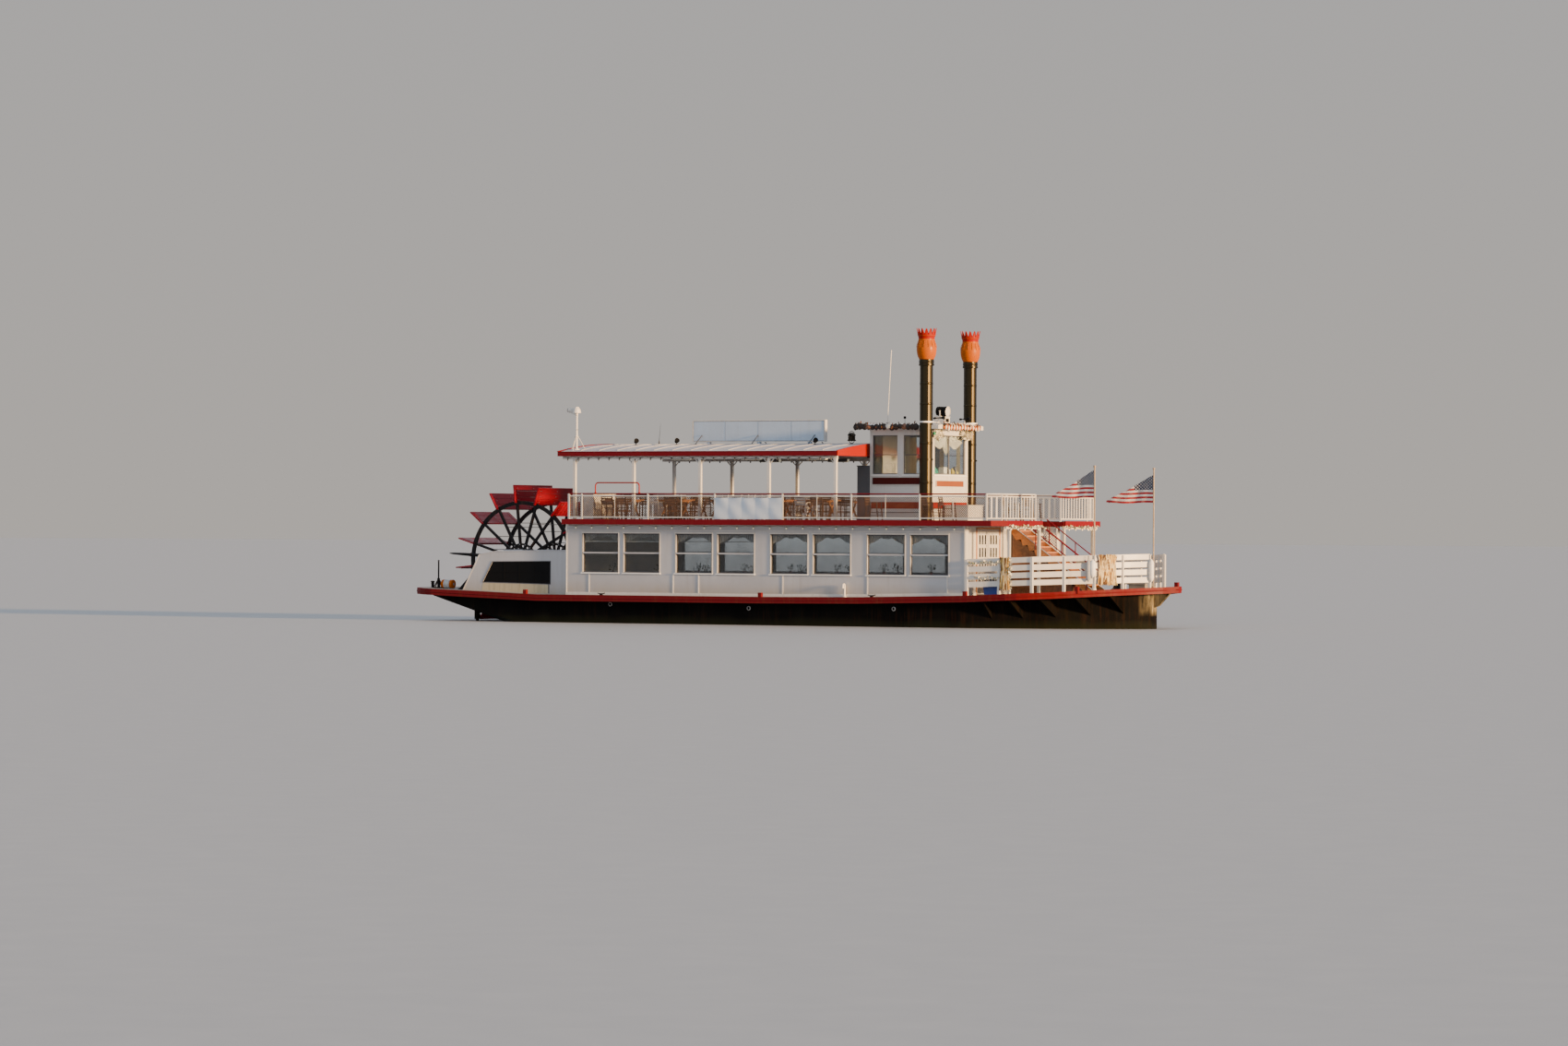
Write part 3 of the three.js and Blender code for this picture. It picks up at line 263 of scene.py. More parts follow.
def piece(name, shape, finishes, stands_for=(), bevel=0.0, body="boat"):
    """One object on a body, with its faces turned out, its finishes and the nodes that it stands for."""
    mesh = bpy.data.meshes.new(name)
    mesh.from_pydata(shape.points, [], shape.faces)
    for finish in finishes:
        mesh.materials.append(finish)
    mesh.polygons.foreach_set("material_index", shape.finishes)
    mesh.polygons.foreach_set("use_smooth", [True] * len(shape.faces))
    work = bmesh.new()
    work.from_mesh(mesh)
    bmesh.ops.recalc_face_normals(work, faces=work.faces)
    work.to_mesh(mesh)
    work.free()
    mesh.set_sharp_from_angle(angle=SHARP_FROM)
    made = placed(name, mesh)
    if bevel:
        rounding = made.modifiers.new("rounded edges", "BEVEL")
        rounding.width, rounding.segments = bevel, 2
        rounding.limit_method, rounding.angle_limit = "ANGLE", ROUNDED_FROM
        rounding.harden_normals = True
    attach(made, body)
    if stands_for:
        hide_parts(*stands_for)
    return made


def pair(name, shape, finishes, stands_for=(), bevel=0.0, body="boat"):
    """A starboard piece and its twin to port. body and stands_for are written with * for the side."""
    for side, made in zip(SIDE_NAMES, (shape, shape.twin())):
        nodes = [node.replace("*", side) for node in stands_for]
        piece(f"{name}_{side}", made, finishes, nodes, bevel, body.replace("*", side))


def sheet_mesh(name, columns, rows, spot, flat_spot, finish):
    """Cloth on a grid. It keeps the place of each point on the flat cloth, in metres."""
    grid = [(i, j) for j in range(rows + 1) for i in range(columns + 1)]
    wide = columns + 1
    corners = [j * wide + i for j in range(rows) for i in range(columns)]
    mesh = bpy.data.meshes.new(name)
    mesh.from_pydata([spot(i, j) for i, j in grid], [], [(c, c + 1, c + wide + 1, c + wide) for c in corners])
    flat = mesh.attributes.new("flat", "FLOAT_VECTOR", "POINT")
    flat.data.foreach_set("vector", [c for i, j in grid for c in (*flat_spot(i, j), 0)])
    mesh.polygons.foreach_set("use_smooth", [True] * len(corners))
    mesh.materials.append(finish)
    made = placed(name, mesh)
    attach(made, "boat")
    return made

# Finishes. Every finish is worked out from the place in the boat's own frame.


class Wiring:
    """Adds nodes to a tree, sets them and joins them."""

    def __init__(self, tree):
        self.tree = tree

    def feed(self, socket, value):
        if isinstance(value, bpy.types.NodeSocket):
            self.tree.links.new(value, socket)
        else:
            socket.default_value = (*value, 1.0) if socket.type == "RGBA" else value

    def node(self, kind, inputs=(), **settings):
        made = self.tree.nodes.new("ShaderNode" + kind)
        for key, value in settings.items():
            setattr(made, key, value)
        for key, value in dict(inputs).items():
            self.feed(made.inputs[key], value)
        return made

    def math(self, operation, *values, clamp=False):
        return self.node("Math", enumerate(values), operation=operation, use_clamp=clamp).outputs[0]

    def times(self, *values, clamp=False):
        return self.math("MULTIPLY", *values, clamp=clamp)

    def ramp(self, value, low, high, to_low=0.0, to_high=1.0):
        """A value between low and high, stretched to 0 to 1 or to the given ends."""
        inputs = {"Value": value, "From Min": low, "From Max": high, "To Min": to_low, "To Max": to_high}
        return self.node("MapRange", inputs).outputs[0]

    def mix(self, mask, under, over):
        return self.node("Mix", {0: mask, 6: under, 7: over}, data_type="RGBA").outputs[2]

    def scaled(self, place, *scale):
        return self.node("VectorMath", {0: place, 1: scale}, operation="MULTIPLY").outputs[0]

    def noise(self, place, scale, detail=4.0, roughness=0.55):
        inputs = {"Vector": place, "Scale": scale, "Detail": detail, "Roughness": roughness}
        return self.node("TexNoise", inputs).outputs["Fac"]


def group(name, inputs, outputs):
    """An empty shader node group with named sockets. Returns its wiring, inputs and outputs."""
    tree = bpy.data.node_groups.new(name, "ShaderNodeTree")
    for label, value in inputs.items():
        kind = "NodeSocketVector" if value is None else "NodeSocketFloat"
        made = tree.interface.new_socket(label, in_out="INPUT", socket_type=kind)
        if value is not None:
            made.default_value = value
    for label in outputs:
        tree.interface.new_socket(label, in_out="OUTPUT", socket_type="NodeSocketFloat")
    return Wiring(tree), tree.nodes.new("NodeGroupInput").outputs, tree.nodes.new("NodeGroupOutput").inputs


def weather_group():
    """Worn patches, runs of dirt down a face, fine specks and a soft unevenness of paint."""
    names = ["Patches", "Runs", "Specks", "Brushing"]
    w, given, out = group("weather", {"Place": None, "Patch": 1.2, "Run": 0.12}, names)
    place = given["Place"]
    broad = w.noise(place, w.math("DIVIDE", 1.0, given["Patch"]), 6.0, 0.62)
    w.feed(out["Patches"], w.ramp(broad, 0.42, 0.68))
    runs = w.noise(w.scaled(place, 1.0, 1.0, 0.07), w.math("DIVIDE", 1.0, given["Run"]), 3.0, 0.6)
    patchy = w.noise(place, 0.55, 2.0)
    w.feed(out["Runs"], w.times(w.ramp(runs, 0.5, 0.78), w.ramp(patchy, 0.35, 0.65)))
    w.feed(out["Specks"], w.ramp(w.noise(place, 38.0, 3.0, 0.7), 0.63, 0.72))
    w.feed(out["Brushing"], w.noise(w.scaled(place, 1.0, 1.0, 3.5), 14.0, 4.0))
    return w.tree


def edge_group():
    """Paint rubbed off along the edges."""
    w, given, out = group("edge wear", {"Place": None, "Reach": 0.02}, ["Worn"])
    round_normal = w.node("Bevel", {"Radius": given["Reach"]}, samples=4).outputs[0]
    own_normal = w.node("NewGeometry").outputs["Normal"]
    alike = w.node("VectorMath", {0: round_normal, 1: own_normal}, operation="DOT_PRODUCT")
    near = w.ramp(alike.outputs["Value"], 0.985, 0.86)
    broken = w.ramp(w.noise(given["Place"], 9.0, 6.0, 0.7), 0.42, 0.6)
    w.feed(out["Worn"], w.times(near, broken, clamp=True))
    return w.tree


def grain_group():
    """Wood grain along X, Y or Z, as long fibres with darker rings."""
    w, given, out = group("wood grain", {"Stretched": None}, ["Grain", "Fibres"])
    rings = w.math("SINE", w.times(w.noise(given["Stretched"], 2.2, 3.0), 46.0))
    w.feed(out["Grain"], w.ramp(rings, -1.0, 1.0))
    w.feed(out["Fibres"], w.noise(given["Stretched"], 36.0, 4.0, 0.7))
    return w.tree


def weave_group():
    """Threads of a plain weave, from the cloth's own flat coordinates in metres."""
    w, given, out = group("weave", {"Flat": None, "Thread": 0.002}, ["Thread height"])
    split = w.node("SeparateXYZ", {0: given["Flat"]}).outputs
    half_turns = w.math("DIVIDE", pi, given["Thread"])
    waves = [w.math("ABSOLUTE", w.math("SINE", w.times(split[k], half_turns))) for k in (0, 1)]
    w.feed(out["Thread height"], w.times(*waves))
    return w.tree


WEATHER = weather_group()
EDGE = edge_group()
GRAIN = grain_group()
WEAVE = weave_group()


def shade(base, factor):
    return tuple(min(c * factor, 1.0) for c in base)


class Finish(Wiring):
    """A new material: its wiring, its place in the boat's frame and its shader."""

    def __init__(self, name, **plain):
        self.material = bpy.data.materials.new(name)
        self.material.use_nodes = True
        super().__init__(self.material.node_tree)
        self.shader = self.tree.nodes["Principled BSDF"].inputs
        for label, value in plain.items():
            self.feed(self.shader[label.replace("_", " ").title().replace("Ior", "IOR")], value)
        self.place = self.node("TexCoord").outputs["Object"]

    def grouped(self, tree, **inputs):
        return self.node("Group", inputs, node_tree=tree).outputs

    def weather(self, **inputs):
        return self.grouped(WEATHER, Place=self.place, **inputs)

    def lifted(self, low, high):
        """0 below one height and 1 above another."""
        return self.ramp(self.node("SeparateXYZ", {0: self.place}).outputs[2], low, high)

    def done(self, tone, rough, height, strength, distance):
        """Joins up the colour, the roughness and the relief. Returns the material."""
        relief = self.node("Bump", {"Height": height, "Strength": strength, "Distance": distance})
        for label, value in (("Base Color", tone), ("Roughness", rough), ("Normal", relief.outputs[0])):
            self.feed(self.shader[label], value)
        return self.material


def paint(name, base, rough=0.45, dirt=0.35, dirt_colour=(0.16, 0.12, 0.08), worn=0.6, under=None, patch=1.4,
          brushed=0.12, gloss=0.5):
    """Brushed paint with faded patches, runs of dirt, specks, and edges worn down to what is under it."""
    w = Finish(name, specular_ior_level=gloss)
    weather = w.weather(Patch=patch)
    tone = w.mix(w.times(weather["Patches"], 0.5), base, shade(base, 1.22))
    tone = w.mix(w.times(weather["Runs"], dirt), tone, dirt_colour)
    tone = w.mix(w.times(weather["Specks"], 0.55 * dirt), tone, dirt_colour)
    if worn:
        edge = w.grouped(EDGE, Place=w.place, Reach=0.018)
        tone = w.mix(w.times(edge["Worn"], worn), tone, under or shade(base, 0.45))
    uneven = w.ramp(weather["Patches"], 0.0, 1.0, rough - 0.06, rough + 0.14)
    return w.done(tone, uneven, weather["Brushing"], brushed, 0.004)


def wall_paint():
    """House white gone grey, with tea-brown dirt that has splashed up from the deck."""
    w = Finish("wall_paint")
    base = (0.47, 0.47, 0.485)
    weather = w.weather(Patch=2.6, Run=0.16)
    tone = w.mix(weather["Patches"], shade(base, 0.93), shade(base, 1.06))
    tone = w.mix(w.times(weather["Runs"], 0.22), tone, (0.25, 0.2, 0.14))
    splash = w.times(w.lifted(1.5, 0.98), w.noise(w.place, 1.6, 5.0, 0.65))
    tone = w.mix(splash, tone, (0.36, 0.27, 0.15))
    rusty = w.times(weather["Specks"], w.lifted(1.9, 1.0))
    tone = w.mix(w.times(rusty, 0.7), tone, (0.26, 0.1, 0.03))
    dents = w.math("ADD", w.noise(w.place, 0.9, 2.0), w.times(weather["Brushing"], 0.06))
    return w.done(tone, w.ramp(weather["Patches"], 0.0, 1.0, 0.38, 0.56), dents, 0.25, 0.03)


def hull_paint():
    """Black bottom paint: bleached and rust-streaked towards the stem, with a weed line at the water."""
    w = Finish("hull_paint", specular_ior_level=0.06)
    weather = w.weather(Patch=1.1, Run=0.1)
    bowward = w.node("SeparateXYZ", {0: w.place}).outputs[0]
    tone = w.mix(weather["Patches"], (0.0012, 0.0011, 0.001), (0.0045, 0.0036, 0.003))
    streaks = w.noise(w.scaled(w.place, 1.0, 1.0, 0.16), 3.4, 6.0, 0.68)
    brown = w.times(w.ramp(bowward, 6.5, 13.0), w.ramp(streaks, 0.52, 0.74), clamp=True)
    tone = w.mix(w.times(brown, 0.6), tone, (0.03, 0.013, 0.003))
    above_water = w.times(w.lifted(0.42, 0.62), w.ramp(streaks, 0.4, 0.6))
    stem = w.times(w.ramp(bowward, 12.9, 13.35), above_water, clamp=True)
    tone = w.mix(stem, tone, (0.36, 0.29, 0.16))
    tone = w.mix(w.times(weather["Runs"], 0.4), tone, (0.05, 0.017, 0.005))
    wave = w.noise(w.scaled(w.place, 1.0, 1.0, 0.0), 0.8, 3.0)
    wetness = w.math("ADD", w.lifted(0.34, 0.06), w.ramp(wave, 0.3, 0.7, -0.45, 0.25), clamp=True)
    tone = w.mix(w.times(wetness, 0.8), tone, (0.012, 0.013, 0.005))
    relief = w.math("ADD", streaks, weather["Brushing"])
    return w.done(tone, w.ramp(wetness, 0.0, 1.0, 0.62, 0.3), relief, 0.3, 0.01)


def stack_paint():
    """Black enamel with a faint film of soot that runs down it. Its reflections are tinted gold: the painted colour of
    sunlight in its highlight.
    """
    w = Finish("stack_black", specular_ior_level=0.42, specular_tint=(1.0, 0.8, 0.42))
    soot = w.noise(w.scaled(w.place, 1.0, 1.0, 0.12), 5.0, 4.0)
    tone = w.mix(w.ramp(soot, 0.4, 0.75), (0.0025, 0.0025, 0.0025), (0.008, 0.0065, 0.0045))
    return w.done(tone, w.ramp(soot, 0.3, 0.8, 0.3, 0.36), soot, 0.05, 0.002)


def deck_paint():
    w = Finish("deck_paint")
    weather = w.weather(Patch=0.9)
    tone = w.mix(weather["Patches"], (0.2, 0.19, 0.18), (0.32, 0.3, 0.27))
    tone = w.mix(w.times(weather["Specks"], 0.4), tone, (0.1, 0.09, 0.08))
    rough = w.ramp(weather["Patches"], 0.0, 1.0, 0.72, 0.88)
    return w.done(tone, rough, w.noise(w.place, 240.0, 2.0), 0.5, 0.002)


def roof_paint():
    """White roof coating, weathered to grey and lilac, with patches of dust."""
    w = Finish("roof_paint")
    tone = w.mix(w.weather(Patch=3.0)["Patches"], (0.45, 0.44, 0.47), (0.58, 0.57, 0.57))
    tone = w.mix(w.ramp(w.noise(w.place, 2.4, 6.0, 0.7), 0.55, 0.8), tone, (0.42, 0.38, 0.33))
    return w.done(tone, 0.68, w.noise(w.place, 1.6, 3.0), 0.3, 0.03)


def wood(name, base, dark, stretch, rough=0.35, coat=0.3):
    """Boards with their grain drawn out along one direction."""
    w = Finish(name, coat_weight=coat)
    grain = w.grouped(GRAIN, Stretched=w.scaled(w.place, *stretch))
    tone = w.mix(w.times(grain["Grain"], 0.55), base, dark)
    patches = w.weather(Patch=0.5)["Patches"]
    tone = w.mix(w.times(patches, 0.35), tone, shade(base, 1.35))
    return w.done(tone, w.ramp(patches, 0.0, 1.0, rough, rough + 0.2), grain["Fibres"], 0.2, 0.002)


def metal(name, base, rough, metallic=0.9, stain=(0.1, 0.05, 0.02)):
    w = Finish(name, metallic=metallic)
    patches = w.weather(Patch=0.3)["Patches"]
    tone = w.mix(w.times(patches, 0.4), base, stain)
    uneven = w.ramp(patches, 0.0, 1.0, rough, rough + 0.25)
    return w.done(tone, uneven, w.noise(w.place, 120.0, 2.0), 0.1, 0.001)


def window_glass():
    """Grey glass with a film of salt. The lamps shine through it."""
    w = Finish("window_glass", transmission_weight=1.0)
    film = w.noise(w.scaled(w.place, 1.0, 1.0, 0.5), 3.0, 4.0)
    clear = w.node("BsdfTransparent", {"Color": (0.55, 0.58, 0.6)}).outputs[0]
    for_lamps = w.node("LightPath").outputs["Is Shadow Ray"]
    glassy = w.tree.nodes["Principled BSDF"].outputs[0]
    lit_through = w.node("MixShader", {0: for_lamps, 1: glassy, 2: clear}).outputs[0]
    w.feed(w.tree.nodes["Material Output"].inputs["Surface"], lit_through)
    tone = w.mix(film, (0.46, 0.5, 0.52), (0.6, 0.63, 0.64))
    return w.done(tone, w.ramp(film, 0.4, 0.8, 0.02, 0.09), w.noise(w.place, 0.8, 1.0), 0.1, 0.02)


def moulded(name, base, rough=0.5, emission=0.0, gloss=0.5):
    """Plain moulded plastic, rubber or lamp glass, with a fine orange-peel skin."""
    w = Finish(name, specular_ior_level=gloss)
    mottle = w.noise(w.place, 1.7, 4.0)
    tone = w.mix(mottle, shade(base, 0.85), shade(base, 1.15))
    if emission:
        w.feed(w.shader["Emission Color"], tone)
        w.feed(w.shader["Emission Strength"], emission)
    uneven = w.ramp(mottle, 0.2, 0.8, rough - 0.08, rough + 0.12)
    return w.done(tone, uneven, w.noise(w.place, 90.0, 2.0), 0.15, 0.001)


def netting():
    """Painted wire: brown over a rusting core."""
    w = Finish("netting")
    rusting = w.ramp(w.noise(w.place, 7.0, 5.0, 0.7), 0.4, 0.65)
    tone = w.mix(rusting, (0.17, 0.07, 0.025), (0.07, 0.032, 0.015))
    return w.done(tone, 0.6, w.noise(w.place, 300.0, 2.0), 0.2, 0.001)


def stalks(name, dull, bright):
    """Dry maize stalks, mottled along their length."""
    w = Finish(name)
    blades = w.noise(w.scaled(w.place, 1.0, 1.0, 0.1), 26.0, 4.0, 0.7)
    tone = w.mix(w.ramp(blades, 0.3, 0.7), dull, bright)
    return w.done(tone, 0.75, w.noise(w.scaled(w.place, 1.0, 1.0, 0.08), 160.0, 3.0), 0.5, 0.003)


class Cloth(Finish):
    """Woven cloth, with its own coordinates in metres from its hoist or left end and from its foot."""

    def __init__(self, name, thread):
        super().__init__(name, sheen_weight=0.3)
        self.flat = self.node("Attribute", attribute_name="flat").outputs["Vector"]
        self.threads = self.grouped(WEAVE, Flat=self.flat, Thread=thread)["Thread height"]

    def done(self, tone, rough=0.85):
        return super().done(tone, rough, self.threads, 0.3, 0.001)


def plain_cloth(name, thread, base, rough=0.85):
    """Cloth of one colour, with the light and dark of handling."""
    w = Cloth(name, thread)
    handled = w.mix(w.noise(w.flat, 3.0, 4.0), shade(base, 0.86), shade(base, 1.1))
    return w.done(w.mix(w.times(w.threads, 0.15), handled, shade(base, 0.6)), rough)


def flag_cloth(name, fly, hoist):
    """Thirteen stripes and a blue canton with rows of small stars."""
    w = Cloth(name, 0.003)
    split = w.node("SeparateXYZ", {0: w.flat}).outputs
    stripe = w.math("MODULO", w.math("FLOOR", w.times(split[1], 13 / hoist)), 2.0)
    red, white, blue = (0.42, 0.006, 0.012), (0.8, 0.77, 0.7), (0.008, 0.011, 0.05)
    striped = w.mix(w.math("GREATER_THAN", stripe, 0.5), red, white)
    canton_wide, canton_tall = fly * 0.4, hoist * 7 / 13
    above_stripes = w.math("SUBTRACT", split[1], hoist * 6 / 13)

    def spaced(way, size, count):
        """Number of the nearest star, and how far away it is."""
        steps = w.times(way, count / size)
        nearest = w.math("ROUND", steps)
        return nearest, w.times(w.math("SUBTRACT", steps, nearest), size / count)

    column, across_x = spaced(split[0], canton_wide, 12)
    row, across_y = spaced(above_stripes, canton_tall, 10)
    squares = w.math("ADD", w.times(across_x, across_x), w.times(across_y, across_y))
    point = w.math("PINGPONG", w.math("ARCTAN2", across_x, across_y), pi / 5)
    lean = math.radians(72)
    reach = w.times(w.math("SQRT", squares), w.math("COSINE", w.math("SUBTRACT", lean, point)))
    is_star = w.math("LESS_THAN", reach, canton_tall * 0.068 * cos(lean))
    paired = w.math("LESS_THAN", w.math("MODULO", w.math("ADD", column, row), 2.0), 0.5)
    field = w.mix(w.times(is_star, paired), blue, white)
    beside_fly, over_stripes = w.math("LESS_THAN", split[0], canton_wide), w.math("GREATER_THAN", above_stripes, 0.0)
    tone = w.mix(w.times(beside_fly, over_stripes), striped, field)
    return w.done(w.mix(w.ramp(w.noise(w.flat, 4.0, 4.0), 0.5, 0.8), tone, (0.32, 0.28, 0.24)))


WALL = wall_paint()
HULL = hull_paint()
DECK = deck_paint()
ROOF = roof_paint()
GLASS = window_glass()
NETTING = netting()
STALKS = stalks("gold_stalks", (0.36, 0.17, 0.025), (0.66, 0.42, 0.09))
STALKS_PALE = stalks("pale_stalks", (0.5, 0.36, 0.15), (0.72, 0.6, 0.34))
STALKS_BROWN = stalks("brown_stalks", (0.05, 0.022, 0.007), (0.2, 0.09, 0.025))
RUST = (0.14, 0.055, 0.02)
DULL = 0.12
WHITE = paint("white_paint", (0.62, 0.6, 0.56), 0.42, 0.3, RUST, 0.5, (0.4, 0.35, 0.28))
GUARD_RED = paint("guard_red", (0.13, 0.0045, 0.007), 0.5, 0.55, RUST, 0.75, (0.09, 0.04, 0.025), 0.8, gloss=DULL)
TRIM_RED = paint("trim_red", (0.16, 0.004, 0.009), 0.42, 0.25, RUST, 0.4, gloss=DULL)
WHEEL_RED = paint("wheel_red", (0.32, 0.004, 0.016), 0.38, 0.4, (0.09, 0.012, 0.012), 0.5, RUST, 0.6, gloss=DULL)
BRIGHT_RED = paint("bright_red", (0.3, 0.009, 0.001), 0.4, 0.2, RUST, 0.3, gloss=DULL)
CROWN_ORANGE = paint("crown_orange", (0.4, 0.085, 0.0), 0.36, 0.25, (0.12, 0.03, 0.01), 0.2, None, 0.5, gloss=DULL)
BOARD_RED = paint("board_red", (0.075, 0.008, 0.006), 0.5, 0.3, RUST, 0.3, gloss=DULL)
WHEEL_BLACK = paint("wheel_black", (0.01, 0.01, 0.011), 0.45, 0.5, RUST, 0.6, RUST, 0.7, gloss=DULL)
STACK_BLACK = stack_paint()
PANEL_BLACK = moulded("panel_black", (0.004, 0.0038, 0.004), 0.7, gloss=0.15)
# The sign board is white; the blue-grey of this paint stands for the sky-lit shade on its face: painted shade.
SIGN = paint("sign_white_painted_blue_shade", (0.44, 0.53, 0.64), 0.4, 0.2, (0.2, 0.2, 0.18), 0.2)
BEIGE = paint("beige_paint", (0.5, 0.43, 0.28), 0.55, 0.6, RUST, 0.4)
CABINET_GREY = moulded("cabinet_grey", (0.09, 0.09, 0.1), 0.55)
VARNISH = wood("varnished_pine", (0.56, 0.2, 0.045), (0.25, 0.07, 0.015), (1.0, 4.0, 4.0), 0.28, 0.5)
DARK_WOOD = wood("dark_boards", (0.2, 0.075, 0.03), (0.07, 0.025, 0.012), (1.0, 5.0, 1.0))
TABLE_WOOD = wood("table_boards", (0.3, 0.14, 0.06), (0.12, 0.05, 0.02), (4.0, 1.0, 4.0))
STAFF_WOOD = wood("staff_wood", (0.3, 0.22, 0.15), (0.14, 0.1, 0.07), (5.0, 5.0, 1.0), 0.4, 0.2)
BRONZE = metal("dark_bronze", (0.028, 0.02, 0.012), 0.35)
STEEL = metal("galvanised_steel", (0.42, 0.43, 0.44), 0.4)
CHROME = metal("bright_metal", (0.75, 0.76, 0.78), 0.12, 1.0, (0.5, 0.45, 0.4))
FENDER_GREY = moulded("fender_grey", (0.32, 0.33, 0.35), 0.55)
BULB = moulded("bulb_glass", (0.9, 0.82, 0.62), 0.2, 0.25)
WIRE = moulded("lamp_wire", (0.03, 0.03, 0.03), 0.6)
PALE = moulded("pale_plastic", (0.85, 0.84, 0.8), 0.45)
GREEN_LAMP = moulded("green_lamp", (0.02, 0.35, 0.16), 0.15)
RED_LAMP = moulded("red_lamp", (0.6, 0.02, 0.02), 0.15)
VINYL = moulded("seat_vinyl", (0.03, 0.03, 0.035), 0.5)
VALANCE = plain_cloth("valance_cloth", 0.002, (0.55, 0.52, 0.5))
BANNER = plain_cloth("banner_cloth", 0.0025, (0.6, 0.68, 0.78), 0.6)

SLOT_FINISHES = {
    "hull_black": HULL, "steel": STEEL, "deck": DECK, "dark_red": TRIM_RED, "wall": WALL, "glass": GLASS,
    "white": WHITE, "wood": TABLE_WOOD, "red": BRIGHT_RED, "banner": BANNER, "awning": ROOF, "vinyl": VINYL,
    "black": STACK_BLACK, "brass": BRONZE, "flag": BANNER, "straw": STALKS,
}
NODE_FINISHES = {
    "jackstaff": STAFF_WOOD, "sign_board": SIGN, "guard_strake": GUARD_RED, "stair_locker": DARK_WOOD,
    "helm_console": VARNISH,
}


def dress_nodes():
    """Gives each node of the frame its finish."""
    for part in frame["record"]["subparts"]:
        finish = NODE_FINISHES.get(part["node"]) or SLOT_FINISHES[part["material_slot"]]
        mesh = frame["nodes"][part["node"]].data
        mesh.materials.clear()
        mesh.materials.append(finish)


dress_nodes()

# Heights of the main deck along its sheer, from the deck's own top edge
SHEER = [(-14.5, 1.18), (-9.0, 0.98), (0.0, 0.98), (4.0, 1.01), (8.0, 1.1), (11.0, 1.24), (14.3, 1.45)]


def deck_z(x):
    for (x0, z0), (x1, z1) in zip(SHEER, SHEER[1:]):
        if x <= x1:
            return z0 + (z1 - z0) * (x - x0) / (x1 - x0)
    return SHEER[-1][1]


DECK2_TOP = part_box("upper_deck")[1][2]


# Deck edge: rubbing iron on the guard, bollards and cleats

BOW_CURVE = Sizes(start=9.6, end=14.23, power=1.7, half=3.9)
STERN = Sizes(aft=-14.5, corner=1.1)


def guard_half(x):
    """Half the breadth of the deck at x."""
    if x < BOW_CURVE.start:
        return BOW_CURVE.half
    way = min((x - BOW_CURVE.start) / (BOW_CURVE.end - BOW_CURVE.start), 1)
    return max(BOW_CURVE.half * (1 - way ** BOW_CURVE.power), 0.11)


def guard_line(drop, steps=26):
    """The guard's outer edge on the starboard side, from the stern's middle to the nose."""
    half, aft, corner = BOW_CURVE.half, STERN.aft, STERN.corner
    line = [(aft, -y) for y in (0.0, 1.4)]
    for t in (pi / 2 * i / 8 for i in range(9)):
        line.append((aft + corner - corner * cos(t), -half + corner - corner * sin(t)))
    line += [(x, -half) for x in (-9.0, -4.0, 0.0, 4.0, 8.0)]
    reach = BOW_CURVE.end - BOW_CURVE.start
    line += [(x, -guard_half(x)) for x in (BOW_CURVE.start + reach * i / steps for i in range(steps + 1))]
    return [(x, y, deck_z(x) - drop) for x, y in line]


def rubbing_irons():
    """Half-round iron along the middle of the guard, let into its face."""
    iron = Shape()
    iron.sweep([(x, y + 0.004 if y < -3.8 else y, z) for x, y, z in guard_line(0.11)], 0.022, 8)
    pair("rubbing_iron", iron, [GUARD_RED])


def bollards(made, x, y):
    """Two horned posts on one base plate."""
    foot = deck_z(x + 0.2) + 0.001
    for post_x in (x - 0.13, x + 0.13):
        post = [(0.055, 0), (0.055, 0.2), (0.075, 0.215), (0.075, 0.24), (0.05, 0.255)]
        made.turned(post, (post_x, y, foot), 16)
        made.rod((post_x, y - 0.1, foot + 0.16), (post_x, y + 0.1, foot + 0.16), 0.016, 8)
    made.pad(x, y, 0.31, 0.09, foot - 0.02, foot + 0.02)


def deck_gear():
    cleats = Shape()
    bollards(cleats, -14.05, -2.6)
    for x in (-6.4, 4.4):
        y, foot = -3.74, deck_z(x)
        cleats.pad(x, y, 0.05, 0.03, foot - 0.01, foot + 0.035)
        horns = ((-0.15, 0.075), (-0.08, 0.05), (0.08, 0.05), (0.15, 0.075))
        cleats.sweep([(x + along, y, foot + up) for along, up in horns], 0.018, 8)
    pair("bollards", cleats, [WHEEL_BLACK], bevel=0.004)
    capstan = Shape()
    barrel = [(0.28, -0.03), (0.28, 0.03), (0.2, 0.06), (0.14, 0.2), (0.13, 0.34), (0.2, 0.42), (0.2, 0.47),
              (0.12, 0.5)]
    capstan.turned(barrel, (11.9, 0, deck_z(11.9)), 24)
    piece("bow_capstan", capstan, [WHEEL_BLACK], bevel=0.004)
    hatch = Shape()
    hatch.block((12.75, 0, deck_z(12.75) + 0.07), (0.62, 0.62, 0.16))
    hatch.block((12.75, 0, deck_z(12.75) + 0.165), (0.68, 0.68, 0.05))
    piece("bow_hatch", hatch, [DECK], bevel=0.008)


rubbing_irons()
deck_gear()

# Paddle wheel: black rims and arms, red boards, rods and bolts

WHEEL = Sizes(x=-11.35, z=2.15, rim=2.13, rim_deep=0.13, rim_y=1.13, board=2.72, arms=16, half=1.29)


def wheel_at(angle, radius, y):
    return (WHEEL.x + radius * cos(angle), y, WHEEL.z + radius * sin(angle))


def wheel_ring(made, radius, deep, y, wide, finish):
    """Flat ring of square section about the wheel's axle."""
    corners = [(radius, -1), (radius, 1), (radius - deep, 1), (radius - deep, -1)]
    rings = [[wheel_at(angle, r, y + side * wide / 2) for r, side in corners] for angle in turns(96)]
    made.loft(rings, finish, looped=True)


def on_axle(made, profile, y, sides, finish):
    made.turned(profile, (WHEEL.x, y, WHEEL.z), sides, finish, axis=(0, 1, 0))


